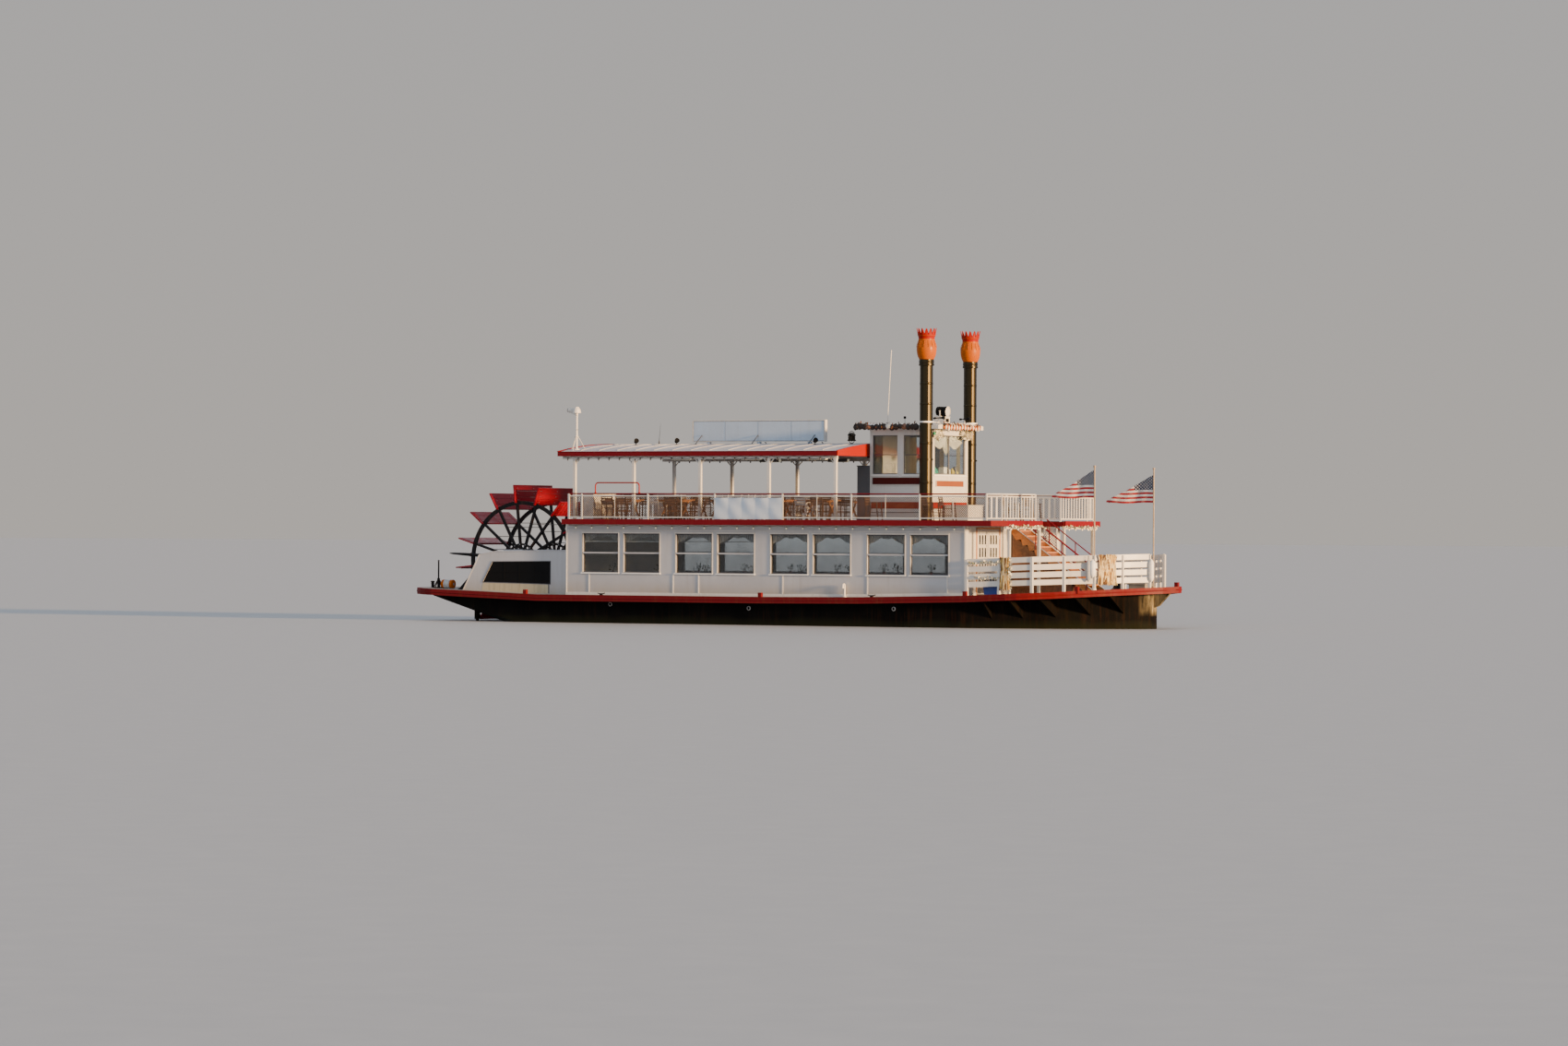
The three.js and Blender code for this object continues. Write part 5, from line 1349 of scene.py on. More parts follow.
def wall_trim():
    """Battens over the panel joints, base moulding, corner strips and a strake under the deck edge."""
    made = Shape()
    wall = -SALOON.half
    for x in (-7.05, -3.62, -2.59, 0.77, 4.1, 7.19):
        made.box((x - 0.022, wall - 0.014, deck_z(x) + 0.001), (x + 0.022, wall + 0.001, 1.725))
    steps = [SALOON.aft + (SALOON.fore - SALOON.aft) * k / 12 for k in range(13)]
    foot = [(x, deck_z(x) + 0.001) for x in steps]
    for rise, out in ((0.085, 0.024), (0.1, 0.012)):
        made.plate(strip(foot, rise), "y", wall - out, wall + 0.001)
    for x in (SALOON.aft + 0.02, SALOON.fore - 0.02):
        made.box((x - 0.022, wall - 0.016, deck_z(x) + 0.002), (x + 0.022, wall + 0.001, SALOON.top - 0.002))
    made.box((SALOON.aft, wall - 0.03, 3.405), (SALOON.fore, wall + 0.001, 3.448))
    made.box((SALOON.aft, wall - 0.02, 3.235), (SALOON.fore, wall + 0.001, 3.258))
    pair("saloon_trim", made, [WHITE], bevel=0.003)
    vent = Shape()
    x, y = 3.25, wall - 0.07
    foot = deck_z(x) + 0.001
    route = [(x, y, foot), (x, y, foot + 0.38)]
    for t in (pi * k / 10 for k in range(1, 11)):
        route.append((x, y - 0.06 + 0.06 * cos(t), foot + 0.38 + 0.06 * sin(t)))
    vent.sweep(route + [(x, y - 0.12, foot + 0.33)], 0.035, 14)
    vent.turned([(0.062, 0), (0.062, 0.012), (0.038, 0.03)], (x, y, foot), 16)
    vent.turned([(0.047, 0.3), (0.047, 0.345), (0.036, 0.35)], (x, y - 0.12, foot), 16)
    pair("side_vent", vent, [WHITE])
    for x, z in ((-6.2, 0.66), (-0.6, 0.58), (5.1, 0.62)):
        outlet = Shape()
        flange = [(0.075, 0.0), (0.075, 0.014), (0.05, 0.02), (0.048, -0.02)]
        outlet.turned(flange, (x, -3.446, z), 20, axis=(0, -1, 0))
        pair(f"hull_outlet_{abs(round(x))}", outlet, [STEEL])


def bulb(made, x, y, z, glass, socket):
    """Lamp that hangs from its socket."""
    made.turned([(0.006, 0.03), (0.016, 0.028), (0.018, 0.0), (0.014, -0.008)], (x, y, z), 8, socket)
    profile = [(0.012, -0.006), (0.022, -0.024), (0.027, -0.042), (0.022, -0.062), (0.01, -0.073), (0.001, -0.075)]
    made.turned(profile, (x, y, z), 10, glass)


def bulb_string(route, pitch, sag):
    """Cable slung along a route in short swags, with a bulb at each low point."""
    made = Shape()
    for p, q in zip(route, route[1:]):
        p, q = Vector(p), Vector(q)
        count = max(1, round((q - p).length / pitch))
        line = []
        for k in range(count * 6 + 1):
            share = k / (count * 6)
            spot = p.lerp(q, share)
            spot.z -= sag * abs(sin(pi * share * count))
            line.append(spot)
        made.sweep(line, 0.005, 5, 1)
        for spot in line[3::6]:
            bulb(made, spot.x, spot.y, spot.z - 0.026, 0, 1)
    return made


def deck_edge_bulbs():
    y, z = -SALOON.half - 0.055, 3.425
    made = bulb_string([(-7.9, y, z), (7.8, y, z)], 0.65, 0.02)
    pair("deck_edge_bulbs", made, [BULB, WIRE])


saloon_windows()
wall_trim()
deck_edge_bulbs()

# Valances of gathered dark cloth at the heads of the saloon windows


def gathered_strip(name, x0, x1, y, top, drop, pitch, depth, finish, columns, rows=6, athwart=False):
    """Cloth gathered on a rod. drop gives the length hanging at each place along it."""
    steps = [x0 + (x1 - x0) / columns * i for i in range(columns + 1)]
    row = [(x, y + depth * sin(2 * pi * x / pitch)) for x in steps]
    lengths = [0.0]
    for p, q in zip(row, row[1:]):
        lengths.append(lengths[-1] + math.dist(p, q))
    longest = max(drop(x) for x in steps)

    def spot(i, j):
        x, fold_y = row[i]
        share = 1 - j / rows
        swing = 0.45 + 0.55 * (0.35 + 0.65 * share)
        out, height = y + (fold_y - y) * swing, top - drop(x) * share
        return (out, x, height) if athwart else (x, out, height)


    def flat_spot(i, j):
        return lengths[i], j / rows * drop(steps[i])

    made = sheet_mesh(name, columns, rows, spot, flat_spot, finish)


def window_valances():
    head = WINDOW.high + 0.03

    def drop(x):
        for x0 in WINDOW_STARTS:
            share = (x - x0) / WINDOW.wide
            if -0.06 <= share <= 1.06:
                side = abs(2 * share - 1)
                return 0.13 + 0.25 * min(side, 1) ** 2.6 + 0.05 * sin(3 * pi * share) ** 2
        return 0.38

    rod_y = WINDOW.pane - 0.06
    for side, name in zip(SIDES, SIDE_NAMES):
        gathered_strip(f"saloon_valance_{name}", -7.4, 7.3, side * rod_y, head, drop, 0.085, 0.013, VALANCE,
                       1300)
    rod = Shape()
    rod.rod((-7.45, -rod_y, head), (7.35, -rod_y, head), 0.008, 8)
    for x in (-7.4, -3.7, 0.1, 3.9, 7.3):
        rod.rod((x, -rod_y, head), (x, -WINDOW.pane, head), 0.006, 6)
    pair("valance_rod", rod, [STEEL])
    blinds = Shape()
    for x0 in BLIND_WINDOWS:
        for k in range(13):
            z = 2.87 + 0.021 * k
            blinds.box((x0 + 0.03, -3.4, z), (x0 + WINDOW.wide - 0.03, -3.38, z + 0.0025))
        blinds.box((x0 + 0.03, -3.402, 2.842), (x0 + WINDOW.wide - 0.03, -3.378, 2.868))
    pair("window_blinds", blinds, [PALE])


window_valances()

# Awning: front gable, bulbs, light boxes, floodlights, whip aerial, roof seams

AWNING = Sizes(aft=-8.3, fore=2.94, half=3.6, low=5.86, edge=6.0, rise=0.3)
AWNING_POSTS = (-7.72, -5.3, -2.6, 0.15, 2.78)


def roof_z(y):
    """Height of the awning's upper face."""
    return AWNING.edge + AWNING.rise * (1 - (y / (AWNING.half - 0.06)) ** 2)


def awning_fittings():
    red, bright, white = 0, 1, 2
    made = Shape()
    aft, fore, half = AWNING.aft, AWNING.fore, AWNING.half
    row = [-half + 2 * half * k / 24 for k in range(25)]
    lip = [(y, max(roof_z(y), AWNING.edge) + 0.012) for y in row]
    gable = [(-half + 0.002, AWNING.low - 0.02), (half - 0.002, AWNING.low - 0.02)] + lip[::-1]
    # The front gable and its lip take the brighter red, and the aft gable the darker trim red, though both are the same
    # red boards: painted sunlight on the front.
    for x0, x1, finish in ((fore + 0.0005, fore + 0.022, bright), (aft - 0.018, aft - 0.0005, red)):
        made.plate(gable, "x", x0, x1, finish)
        made.plate(strip(lip, 0.012), "x", x0 - 0.03, x1 + 0.006, finish)
    for side in SIDES:
        y = side * half
        made.box((aft, y, 5.985), (fore, y + side * 0.014, 6.006), red)
        made.box((aft, y, 5.842), (fore, y + side * 0.01, 5.858), red)
    for k in range(1, 15):
        x = aft + (fore - aft) * k / 15
        made.plate(strip([(y, roof_z(y) + 0.001) for y in row[1:-1]], 0.016), "x", x - 0.02, x + 0.02, white)
    piece("awning_trim", made, [TRIM_RED, BRIGHT_RED, ROOF, STEEL])
    braces = Shape()
    y = -3.4
    for x in AWNING_POSTS:
        braces.pad(x, y, 0.07, 0.07, DECK2_TOP + 0.001, DECK2_TOP + 0.02)
        braces.pad(x, y, 0.06, 0.06, 5.69, 5.738)
        for way in (-1, 1):
            if -8 < x + way * 0.35 < 2.86:
                braces.bar((x + way * 0.05, y, 5.59), (x + way * 0.19, y, 5.73), 0.05, 0.03)
    for y, z in ((-1.25, 6.14), (-2.35, 6.04)):
        braces.box((aft + 0.12, y, z), (fore - 0.1, y + 0.05, z + 0.06))
    pair("awning_braces", braces, [WHITE], bevel=0.004)


def awning_lights():
    y = -AWNING.half + 0.13
    line = bulb_string([(AWNING.aft + 0.12, y, 5.835), (AWNING.fore - 0.1, y, 5.835)], 0.42, 0.045)
    pair("awning_bulbs", line, [CABINET_GREY, WIRE])
    boxes = Shape()
    for x in (-3.55, -0.75, 1.85):
        boxes.block((x, -3.1, 5.77), (0.8, 0.16, 0.11), 0)
        boxes.block((x, -3.1, 5.712), (0.74, 0.12, 0.012), 1)
        for end in (x - 0.404, x + 0.404):
            boxes.block((end, -3.1, 5.77), (0.012, 0.15, 0.1), 1)
        for hanger in (x - 0.3, x + 0.3):
            boxes.pin(hanger, -3.1, 5.82, 5.93, 0.01, 6, 2)
    pair("deck_lamps", boxes, [CABINET_GREY, BULB, STEEL], bevel=0.006)
    floods = Shape()
    for x, y, turn in ((-6.55, -1.2, 0.5), (-5.0, -1.0, -0.4), (0.75, -1.25, 0.3)):
        z = roof_z(y)
        floods.pad(x, y, 0.05, 0.05, z - 0.01, z + 0.012)
        floods.pin(x, y, z, z + 0.07, 0.012)
        ahead = (cos(turn), -0.7, 0.5)
        centre = Vector((x, y, z + 0.13))
        profile = [(0.03, -0.09), (0.05, -0.07), (0.078, 0.03), (0.088, 0.06), (0.088, 0.075), (0.07, 0.07)]
        floods.turned(profile, centre, 20, 0, ahead)
        floods.turned([(0.07, 0.055), (0.07, 0.066)], centre, 20, 1, ahead)
        yoke = ((0.09, 0), (0.09, -0.06), (0, -0.07), (-0.09, -0.06), (-0.09, 0))
        floods.sweep([centre + Vector((0, out, up)) for out, up in yoke], 0.008, 6)
    piece("roof_floods", floods, [PANEL_BLACK, BULB])
    whip = Shape()
    x, y = -6.32, 0.0
    z = roof_z(y)
    whip.turned([(0.06, -0.01), (0.06, 0.012), (0.03, 0.02), (0.025, 0.1), (0.012, 0.14)], (x, y, z), 16)
    whip.rod((x, y, z + 0.13), (x + 0.06, y, 7.03), 0.008, 6, 1, far_radius=0.003)
    piece("whip_aerial", whip, [CABINET_GREY, PANEL_BLACK])


def mast_lamp():
    """Lamp with its shade and sight glass on the after side of the mast's dome, with stays and a cleat."""
    white, dark, steel = 0, 1, 2
    made = Shape()
    x, y = -7.9, -3.0
    lamp, behind = (x - 0.24, y, 7.46), (-1, 0, 0.1)
    made.turned([(0.042, 7.28), (0.052, 7.29), (0.052, 7.34), (0.042, 7.35)], (x, y, 0), 16, white)
    made.bar((x, y, 7.32), (x - 0.2, y, 7.35), 0.04, 0.03, white)
    made.turned([(0.055, -0.13), (0.08, -0.11), (0.085, 0.05), (0.075, 0.1), (0.04, 0.12)], lamp, 20, white, behind)
    made.turned([(0.062, 0.1), (0.07, 0.118), (0.05, 0.13), (0.001, 0.135)], lamp, 20, dark, behind)
    made.turned([(0.04, 6.5), (0.058, 6.505), (0.058, 6.54), (0.04, 6.545)], (x, y, 0), 16, steel)
    made.rod((x + 0.045, y - 0.06, 6.78), (x + 0.045, y + 0.06, 6.78), 0.01, 8, steel)
    foot = roof_z(y)
    made.turned([(0.12, -0.02), (0.12, 0.012), (0.05, 0.03), (0.042, 0.07)], (x, y, foot), 20, white)
    for turn in (0.6, 2.7, 4.8):
        out_x, out_y = cos(turn), sin(turn)
        stay_y = y + 0.3 * out_y
        made.rod((x + 0.03 * out_x, y + 0.03 * out_y, foot + 0.5), (x + 0.3 * out_x, stay_y, roof_z(stay_y) - 0.01),
                 0.01, 6, white)
    piece("mast_lamp", made, [WHITE, PANEL_BLACK, STEEL])


def sign_frame():
    """Thin frame and ribs round the blank sign, with its braces down to the roof."""
    pale, dark = 0, 1
    made = Shape()
    x0, x1, z0, z1 = -4.9, 0.48, 6.38, 7.15
    for side in SIDES:
        y = side * 0.07
        for gap, wide, out, finish in ((0.03, 0.03, 0.012, pale), (0.045, 0.01, 0.006, dark)):
            frame_ring(made, x0 + gap, x1 - gap, z0 + gap, z1 - gap, wide, y, y + side * out, finish)
        for x in (x0 + (x1 - x0) * k / 4 for k in (1, 2, 3)):
            made.box((x - 0.003, y, z0 + 0.05), (x + 0.003, y + side * 0.003, z1 - 0.05), dark)
        foot_y = side * 0.55
        foot = roof_z(foot_y)
        for x in (x0 + 0.4, (x0 + x1) / 2, x1 - 0.4):
            made.bar((x, y + side * 0.01, 6.62), (x, foot_y, foot), 0.03, 0.02, dark)
            made.pad(x, foot_y, 0.05, 0.05, foot - 0.01, foot + 0.008, dark)
    for x in (x1, x0 - 0.012):
        made.box((x, -0.075, z0), (x + 0.012, 0.075, z1), pale)
    piece("sign_frame", made, [WHITE, CABINET_GREY], bevel=0.002)


awning_fittings()
awning_lights()
mast_lamp()
sign_frame()

# Pilothouse: frames, boards, bands, swags, searchlight, horns, curtains

PILOT = Sizes(aft=2.98, fore=5.38, half=1.33, sill=5.23, head=6.57)
PILOT_ROOF = Sizes(aft=2.56, fore=5.82, half=1.65, low=6.7803, thick=0.13, rise=0.09)
PILOT_SIDES = ((3.09, 4.06), (4.3, 5.26))
BOARD_ORANGE = paint("board_orange", (0.24, 0.06, 0.012), 0.5, 0.3, RUST, 0.3)
CURTAIN = plain_cloth("curtain_cloth", 0.002, (0.62, 0.5, 0.28))
SWAG_DARK = paint("dark_garland", (0.018, 0.009, 0.006), 0.6, 0.3, (0.1, 0.07, 0.03), 0.0, brushed=0.6)
OLIVE = plain_cloth("olive_curtain", 0.002, (0.16, 0.15, 0.11))
LINEN = plain_cloth("white_linen", 0.0015, (0.68, 0.66, 0.6))


def front_ring(made, y0, y1, z0, z1, wide, x0, x1, finish=0):
    """Mitred moulding round an opening in a wall that faces the bow."""
    frame_made = Shape()
    frame_ring(frame_made, y0, y1, z0, z1, wide, x0, x1, finish)
    made.add([(b, a, c) for a, b, c in frame_made.points], frame_made.faces, finish)


def pilothouse_trim():
    white, dark, board, red, pale, orange = range(6)
    made = Shape()
    sill, head, aft, fore, half = PILOT.sill, PILOT.head, PILOT.aft, PILOT.fore, PILOT.half
    belts = ((0.006, red, 4.04, 4.27), (0.008, dark, 3.9, 3.925), (0.02, white, 3.602, 3.7))
    for side in SIDES:
        wall = side * half

        def outwards(depth, finish, x0, x1, z0, z1, start=0.0005):
            made.box((x0, wall + side * start, z0), (x1, wall + side * depth, z1), finish)

        for x0, x1 in PILOT_SIDES:
            inner = (wall - side * 0.055, wall - side * 0.03)
            frame_ring(made, x0, x1, sill, head, 0.04, wall - side * 0.001, wall + side * 0.014, white)
            frame_ring(made, x0 + 0.025, x1 - 0.025, sill + 0.025, head - 0.025, 0.025, *inner, dark)
            made.box((x0, inner[0], 5.885), (x1, inner[1], 5.91), dark)
            outwards(0.04, pale, x0 - 0.05, x1 + 0.05, sill - 0.055, sill - 0.015)
        outwards(0.038, board, 3.1, 5.04, 4.88, 5.11, 0.031)
        frame_ring(made, 3.095, 5.045, 4.875, 5.115, 0.015, wall + side * 0.03, wall + side * 0.042, white)
        for depth, finish, z0, z1 in belts + ((0.014, white, 6.69, 6.779),):
            outwards(depth, finish, aft, fore, z0, z1)
        for x in (aft + 0.025, fore - 0.025):
            outwards(0.012, white, x - 0.025, x + 0.025, 3.7, 6.69)
    front_ring(made, -1.12, 1.12, sill, head, 0.045, fore - 0.001, fore + 0.016, white)
    front_ring(made, -1.095, 1.095, sill + 0.025, head - 0.025, 0.025, fore - 0.055, fore - 0.03, dark)
    made.box((fore - 0.055, -0.03, sill), (fore - 0.03, 0.03, head), dark)
    made.box((fore, -1.2, sill - 0.06), (fore + 0.05, 1.2, sill - 0.02), pale)
    made.box((fore + 0.0005, -1.0, 4.8), (fore + 0.02, 1.0, 5.02), orange)
    front_ring(made, -0.985, 0.985, 4.815, 5.005, 0.015, fore + 0.018, fore + 0.03, white)
    for depth, finish, z0, z1 in belts:
        made.box((fore + 0.0005, -half, z0), (fore + depth, half, z1), finish)
    for y in (-half, half - 0.05):
        made.box((fore + 0.0005, y, 3.7), (fore + 0.012, y + 0.05, 6.69), white)
    finishes = [WHITE, CABINET_GREY, BOARD_RED, BRIGHT_RED, PALE, BOARD_ORANGE]
    piece("pilothouse_trim", made, finishes, bevel=0.002)


def lump(made, place, size, finish):
    """Bunched cloth or leaves, about round and uneven."""
    a, b, c = size
    rings = []
    for rise in (pi * (j + 0.12) / 6.24 for j in range(7)):
        out, up = sin(rise), -cos(rise) * c
        rings.append([place + Vector((out * cos(t) * a, out * sin(t) * b, up)) * vary(0.78, 1.18) for t in turns(10)])
    made.loft(rings, finish)


def roof_garland():
    """Thick dark garland along the sides of the pilothouse roof, with orange and cream bunches in front."""
    dark, orange, cream, brown = 0, 1, 2, 3
    made = Shape()
    edge = PILOT_ROOF.low + 0.085
    aft, fore, half = PILOT_ROOF.aft, PILOT_ROOF.fore, PILOT_ROOF.half

    def bunches(p, q, pitch, size, finishes, leaves):
        p, q = Vector(p), Vector(q)
        count = round((q - p).length / pitch)
        for k in range(count):
            spot = p.lerp(q, (k + 0.5) / count) + Vector((0, 0, vary(-0.03, 0.03)))
            lump(made, spot, [s * vary(0.8, 1.15) for s in size], finishes[k % len(finishes)])
            for _ in range(leaves):
                tip = spot + Vector([vary(-1, 1) * s for s in size])
                leaf(made, tip, vary(0.07, 0.13), chance.choice((dark, dark, brown)))

    sides = (dark, dark, dark, brown, dark, dark, dark, dark, cream)
    for y in (-half - 0.03, half + 0.03):
        bunches((aft, y, edge), (5.04, y, edge), 0.16, (0.11, 0.05, 0.1), sides, 6)
    for x, reach, z, pitch, size, finishes, leaves in (
            (aft - 0.03, half, edge, 0.16, (0.05, 0.11, 0.095), (dark, dark, brown), 5),
            (fore + 0.04, 1.34, edge + 0.04, 0.15, (0.05, 0.08, 0.06), (dark, brown), 3),
            (fore + 0.05, 1.34, edge - 0.03, 0.1, (0.045, 0.05, 0.085), (orange, cream), 0)):
        bunches((x, -reach, z), (x, reach, z), pitch, size, finishes, leaves)
    piece("roof_garland", made, [SWAG_DARK, CROWN_ORANGE, LINEN, DARK_WOOD])
    flowers = Shape()
    for y in (-1.02, 1.02):
        for _ in range(64):
            spot = (PILOT.fore + vary(0.05, 0.17), y + chance.gauss(0, 0.13), 6.62 + chance.gauss(0, 0.075))
            blossom(flowers, spot, vary(0.07, 0.11), 0, 1)
    # The hearts of these blossoms take the bulb glass, which glows a little though they are no lamp: painted light.
    piece("front_blossoms", flowers, [PETAL, BULB])


def searchlight():
    """Ribbed drum with its ring and lens, on a yoke above the white case."""
    white, dark, lens = 0, 1, 2
    made = Shape()
    ribs = [(0.1515 + 0.012 * (k % 2), 0.03 + 0.022 * k) for k in range(13)]
    drum = [(0.09, -0.012), (0.152, 0.0), (0.156, 0.03)] + ribs + [(0.152, 0.31)]
    rim = [(0.148, 0.3), (0.172, 0.305), (0.176, 0.34), (0.172, 0.412), (0.152, 0.416), (0.148, 0.395), (0.148, 0.31)]
    bezel = [(0.165, 0.402), (0.179, 0.398), (0.181, 0.41), (0.17, 0.42), (0.153, 0.42), (0.153, 0.41)]
    front = [(0.15, 0.3925), (0.12, 0.399), (0.06, 0.403), (0.001, 0.404)]
    for profile, finish in ((drum, dark), (rim, dark), (bezel, white), (front, lens)):
        made.turned(profile, (4.9, 0, 7.42), 40, finish, axis=(0.39, 0, -0.02))
    for side in SIDES:
        made.bar((5.08, side * 0.17, 7.24), (5.08, side * 0.17, 7.44), 0.04, 0.016, white)
        made.rod((5.08, side * 0.158, 7.42), (5.08, side * 0.195, 7.42), 0.025, 12, white)
    made.box((5.04, -0.185, 7.232), (5.12, 0.185, 7.25), white)
    made.turned([(0.07, 7.231), (0.07, 7.25)], (5.08, 0, 0), 24, white)
    for z0, z1 in ((6.99, 7.0), (7.21, 7.2305)):
        made.box((4.865, -0.205, z0), (5.295, 0.205, z1), white)
    made.box((5.281, -0.12, 7.04), (5.287, 0.12, 7.16), dark)
    piece("searchlight", made, [WHITE, PANEL_BLACK, CABINET_GREY])


def roof_gear():
    """Horns on their brackets, side lights and the collars round the stacks."""
    white, dark, green, red = 0, 1, 2, 3
    made = Shape()
    horn = [(0.02, -0.2), (0.035, -0.19), (0.035, -0.12), (0.016, -0.1), (0.016, 0.0), (0.028, 0.12), (0.06, 0.2),
            (0.075, 0.225), (0.06, 0.215)]
    edge = PILOT_ROOF.low + PILOT_ROOF.thick
    for side in SIDES:
        x, y = 5.45, side * 0.95
        foot = edge + PILOT_ROOF.rise * (1 - (y / PILOT_ROOF.half) ** 2)
        made.pad(x, y, 0.07, 0.04, foot - 0.01, foot + 0.015, white)
        made.bar((x, y, foot), (x, y, foot + 0.16), 0.03, 0.03, white)
        made.turned(horn, (x, y, foot + 0.19), 20, dark, axis=(1, 0, 0.05))
        x, y = 4.46, side * 1.55
        made.bar((x, y, edge - 0.01), (x, y, edge + 0.22), 0.025, 0.02, white)
        made.turned([(0.03, -0.04), (0.045, -0.03), (0.045, 0.03), (0.03, 0.045)], (x, y, edge + 0.26), 16, dark)
        y = side * 1.36
        made.box((5.5, y - 0.012, 6.5), (5.53, y + 0.012, 6.78), white)
        lamp = [(0.03, -0.05), (0.042, -0.045), (0.042, 0.045), (0.03, 0.05)]
        made.turned(lamp, (5.515, y, 6.62), 16, green if side < 0 else red)
    made.turned([(0.032, 0.0), (0.05, 0.0), (0.05, 0.015), (0.032, 0.05)], (2.818, 0.2, 6.995), 16, white)
    piece("roof_gear", made, [WHITE, PANEL_BLACK, GREEN_LAMP, RED_LAMP])
    bands = Shape()
    x, y = STACK.x, -STACK.y
    for z, tall, finish in ((6.99, 0.055, 1), (5.7, 0.05, 0)):
        bands.collar(STACK_AXIS, 0.2253, 0.239, z, z + tall, 0, 48, finish)
        bands.box((x + 0.236, y - 0.03, z), (x + 0.27, y + 0.03, z + tall), finish)
    bands.bar((x - 0.05, -1.34, 5.725), (x - 0.05, -1.37, 5.725), 0.06, 0.04)
    for dx in (-0.2, 0.2):
        bands.rod((x + dx, y + 0.1, 7.015), (x + dx * 0.9, -1.0, 7.0), 0.012, 8, 1)
    pair("stack_clamps", bands, [STACK_BLACK, PALE])


def pilot_cloth(name, x0, x1, y, top, drop, finish, columns, rows=8, athwart=True, pitch=0.05, depth=0.014):
    gathered_strip(name, x0, x1, y, top, drop, pitch, depth, finish, columns, rows, athwart)


def pilothouse_cloths():
    """Drawn curtains beside the panes and the white swags in the front window."""
    def long_drop(_):
        return 1.28

    def swag(y):
        return 0.24 + 0.2 * abs(sin(2 * pi * (y + 1.1) / 2.2)) ** 1.5

    for side, name in zip(SIDES, SIDE_NAMES):
        y = side * 1.225
        pilot_cloth(f"pilot_curtain_{name}", 3.1, 3.42, y, 6.54, long_drop, CURTAIN, 60, athwart=False)
        pilot_cloth(f"pilot_fore_curtain_{name}", 4.32, 4.5, y, 6.54, long_drop, CURTAIN, 40, athwart=False)
    for name, start in zip(SIDE_NAMES, (-1.1, 0.84)):
        pilot_cloth(f"pilot_window_curtain_{name}", start, start + 0.26, 5.2, 6.54, long_drop, OLIVE, 50)
    pilot_cloth("pilot_front_valance", -1.1, 1.1, 5.27, 6.55, swag, LINEN, 260, pitch=0.07)


pilothouse_trim()
searchlight()
roof_gear()
pilothouse_cloths()


# Side boxes of the wheel: black panels, painted strips, edge beads, spars and gussets

SIDE_BOX = Sizes(outer=3.35, top=((-8.1, 2.54), (-11.0, 2.5), (-11.72, 2.38)))
PANEL = ((-11.56, 1.4), (-8.75, 1.35), (-8.75, 2.14), (-11.16, 2.11))


def inset(outline, gap):
    """The outline of a four-cornered panel, drawn in by a gap."""
    middle_x, middle_z = (sum(values) / len(values) for values in zip(*outline))
    return [(x - math.copysign(gap, x - middle_x), z - math.copysign(gap, z - middle_z)) for x, z in outline]


def side_box_trim():
    black, white, beige, dark = 0, 1, 2, 3
    made = Shape()
    wall = -SIDE_BOX.outer
    made.plate(inset(PANEL, 0.003), "y", wall + 0.0248, wall + 0.013, black)
    for x in (-10.68, -10.06, -9.44):
        made.box((x - 0.02, wall + 0.006, 1.415), (x + 0.02, wall + 0.013, 2.09), black)
    made.box((-11.25, wall + 0.004, 1.74), (-8.77, wall + 0.013, 1.775), black)
    margins = ((-0.03, -0.02), (0.02, -0.02), (0.02, 0.02), (-0.02, 0.02))
    outer = [(x + dx, z + dz) for (x, z), (dx, dz) in zip(PANEL, margins)]
    mitred(made, outer, PANEL, wall - 0.012, wall + 0.001, dark)
    painted = [(-11.62, deck_z(-11.62) + 0.02), (-8.82, deck_z(-8.82) + 0.02), (-8.82, 1.318), (-11.56, 1.368)]
    made.plate(painted, "y", wall - 0.003, wall + 0.001, beige)
    made.box((-8.83, wall - 0.01, deck_z(-8.83) + 0.002), (-8.79, wall + 0.001, 1.33), dark)
    foot = [(x, deck_z(x) + 0.001) for x in (-12.38, -11.5, -10, -9, -8.1)]
    made.plate(strip(foot, 0.03), "y", wall - 0.012, wall + 0.001, white)
    rim = [*SIDE_BOX.top, (-12.4, deck_z(-12.4) + 0.01)]
    for (x0, z0), (x1, z1) in zip(rim, rim[1:]):
        for y in (wall - 0.002, -1.562):
            made.bar((x0, y, z0 - 0.012), (x1, y, z1 - 0.012), 0.026, 0.03, white)
    for x in (-12.1 + 0.34 * k for k in range(12)):
        z = deck_z(x) + 0.09
        made.rod((x, wall - 0.004, z), (x, wall + 0.004, z), 0.009, 6, dark)
    for x in (-9.3, -10.6):
        handle = ((-0.14, 2.5), (-0.14, 2.56), (0.14, 2.565), (0.14, 2.5))
        made.sweep([(x + along, -2.45, z) for along, z in handle], 0.01, 8, dark)
        made.pad(x, -2.45, 0.4, 0.45, 2.49, 2.545, white)
    pair("side_box_trim", made, [PANEL_BLACK, WALL, BEIGE, CABINET_GREY], bevel=0.002)
    spar = Shape()
    y = -2.9
    route = [(-11.6, y, 2.31), (-12.0, y, 2.335), (-12.6, y, 2.37), (-13.1, y, 2.395), (-13.27, y, 2.4)]
    spar.sweep(route, [0.06, 0.062, 0.052, 0.034, 0.014], 14)
    for x in (-11.95, -12.35):
        spar.collar((x, y, 2.332 + (-11.95 - x) * 0.06), 0.064, 0.07, -0.03, 0.03, 0.002, 16, axis=(1, 0, 0.05))
    gusset = [(-12.83, deck_z(-12.83) + 0.002), (-12.2, deck_z(-12.2) + 0.002), (-12.2, 1.55), (-12.38, 1.58)]
    spar.plate(gusset, "y", -3.0, -2.97)
    foot = [(x, deck_z(x) + rise) for x, rise in ((-12.85, 0.002), (-12.3, 0.002), (-12.3, 0.04))]
    spar.plate(foot + [(-12.8, deck_z(-12.8) + 0.03)], "y", -3.04, -2.93)
    pair("quarter_spar", spar, [WHEEL_BLACK], bevel=0.003)


side_box_trim()

# Saloon doors: glass and beads in each lite, levers and kick plates, and the doorway's frame

DOOR = Sizes(x=7.87, z0=1.1437, z1=3.324, stile=0.095, lites=3, rows=4)
DOOR_LEAVES = {"door_outer": (-2.644, -1.853), "door_inner": (-1.847, -1.056)}


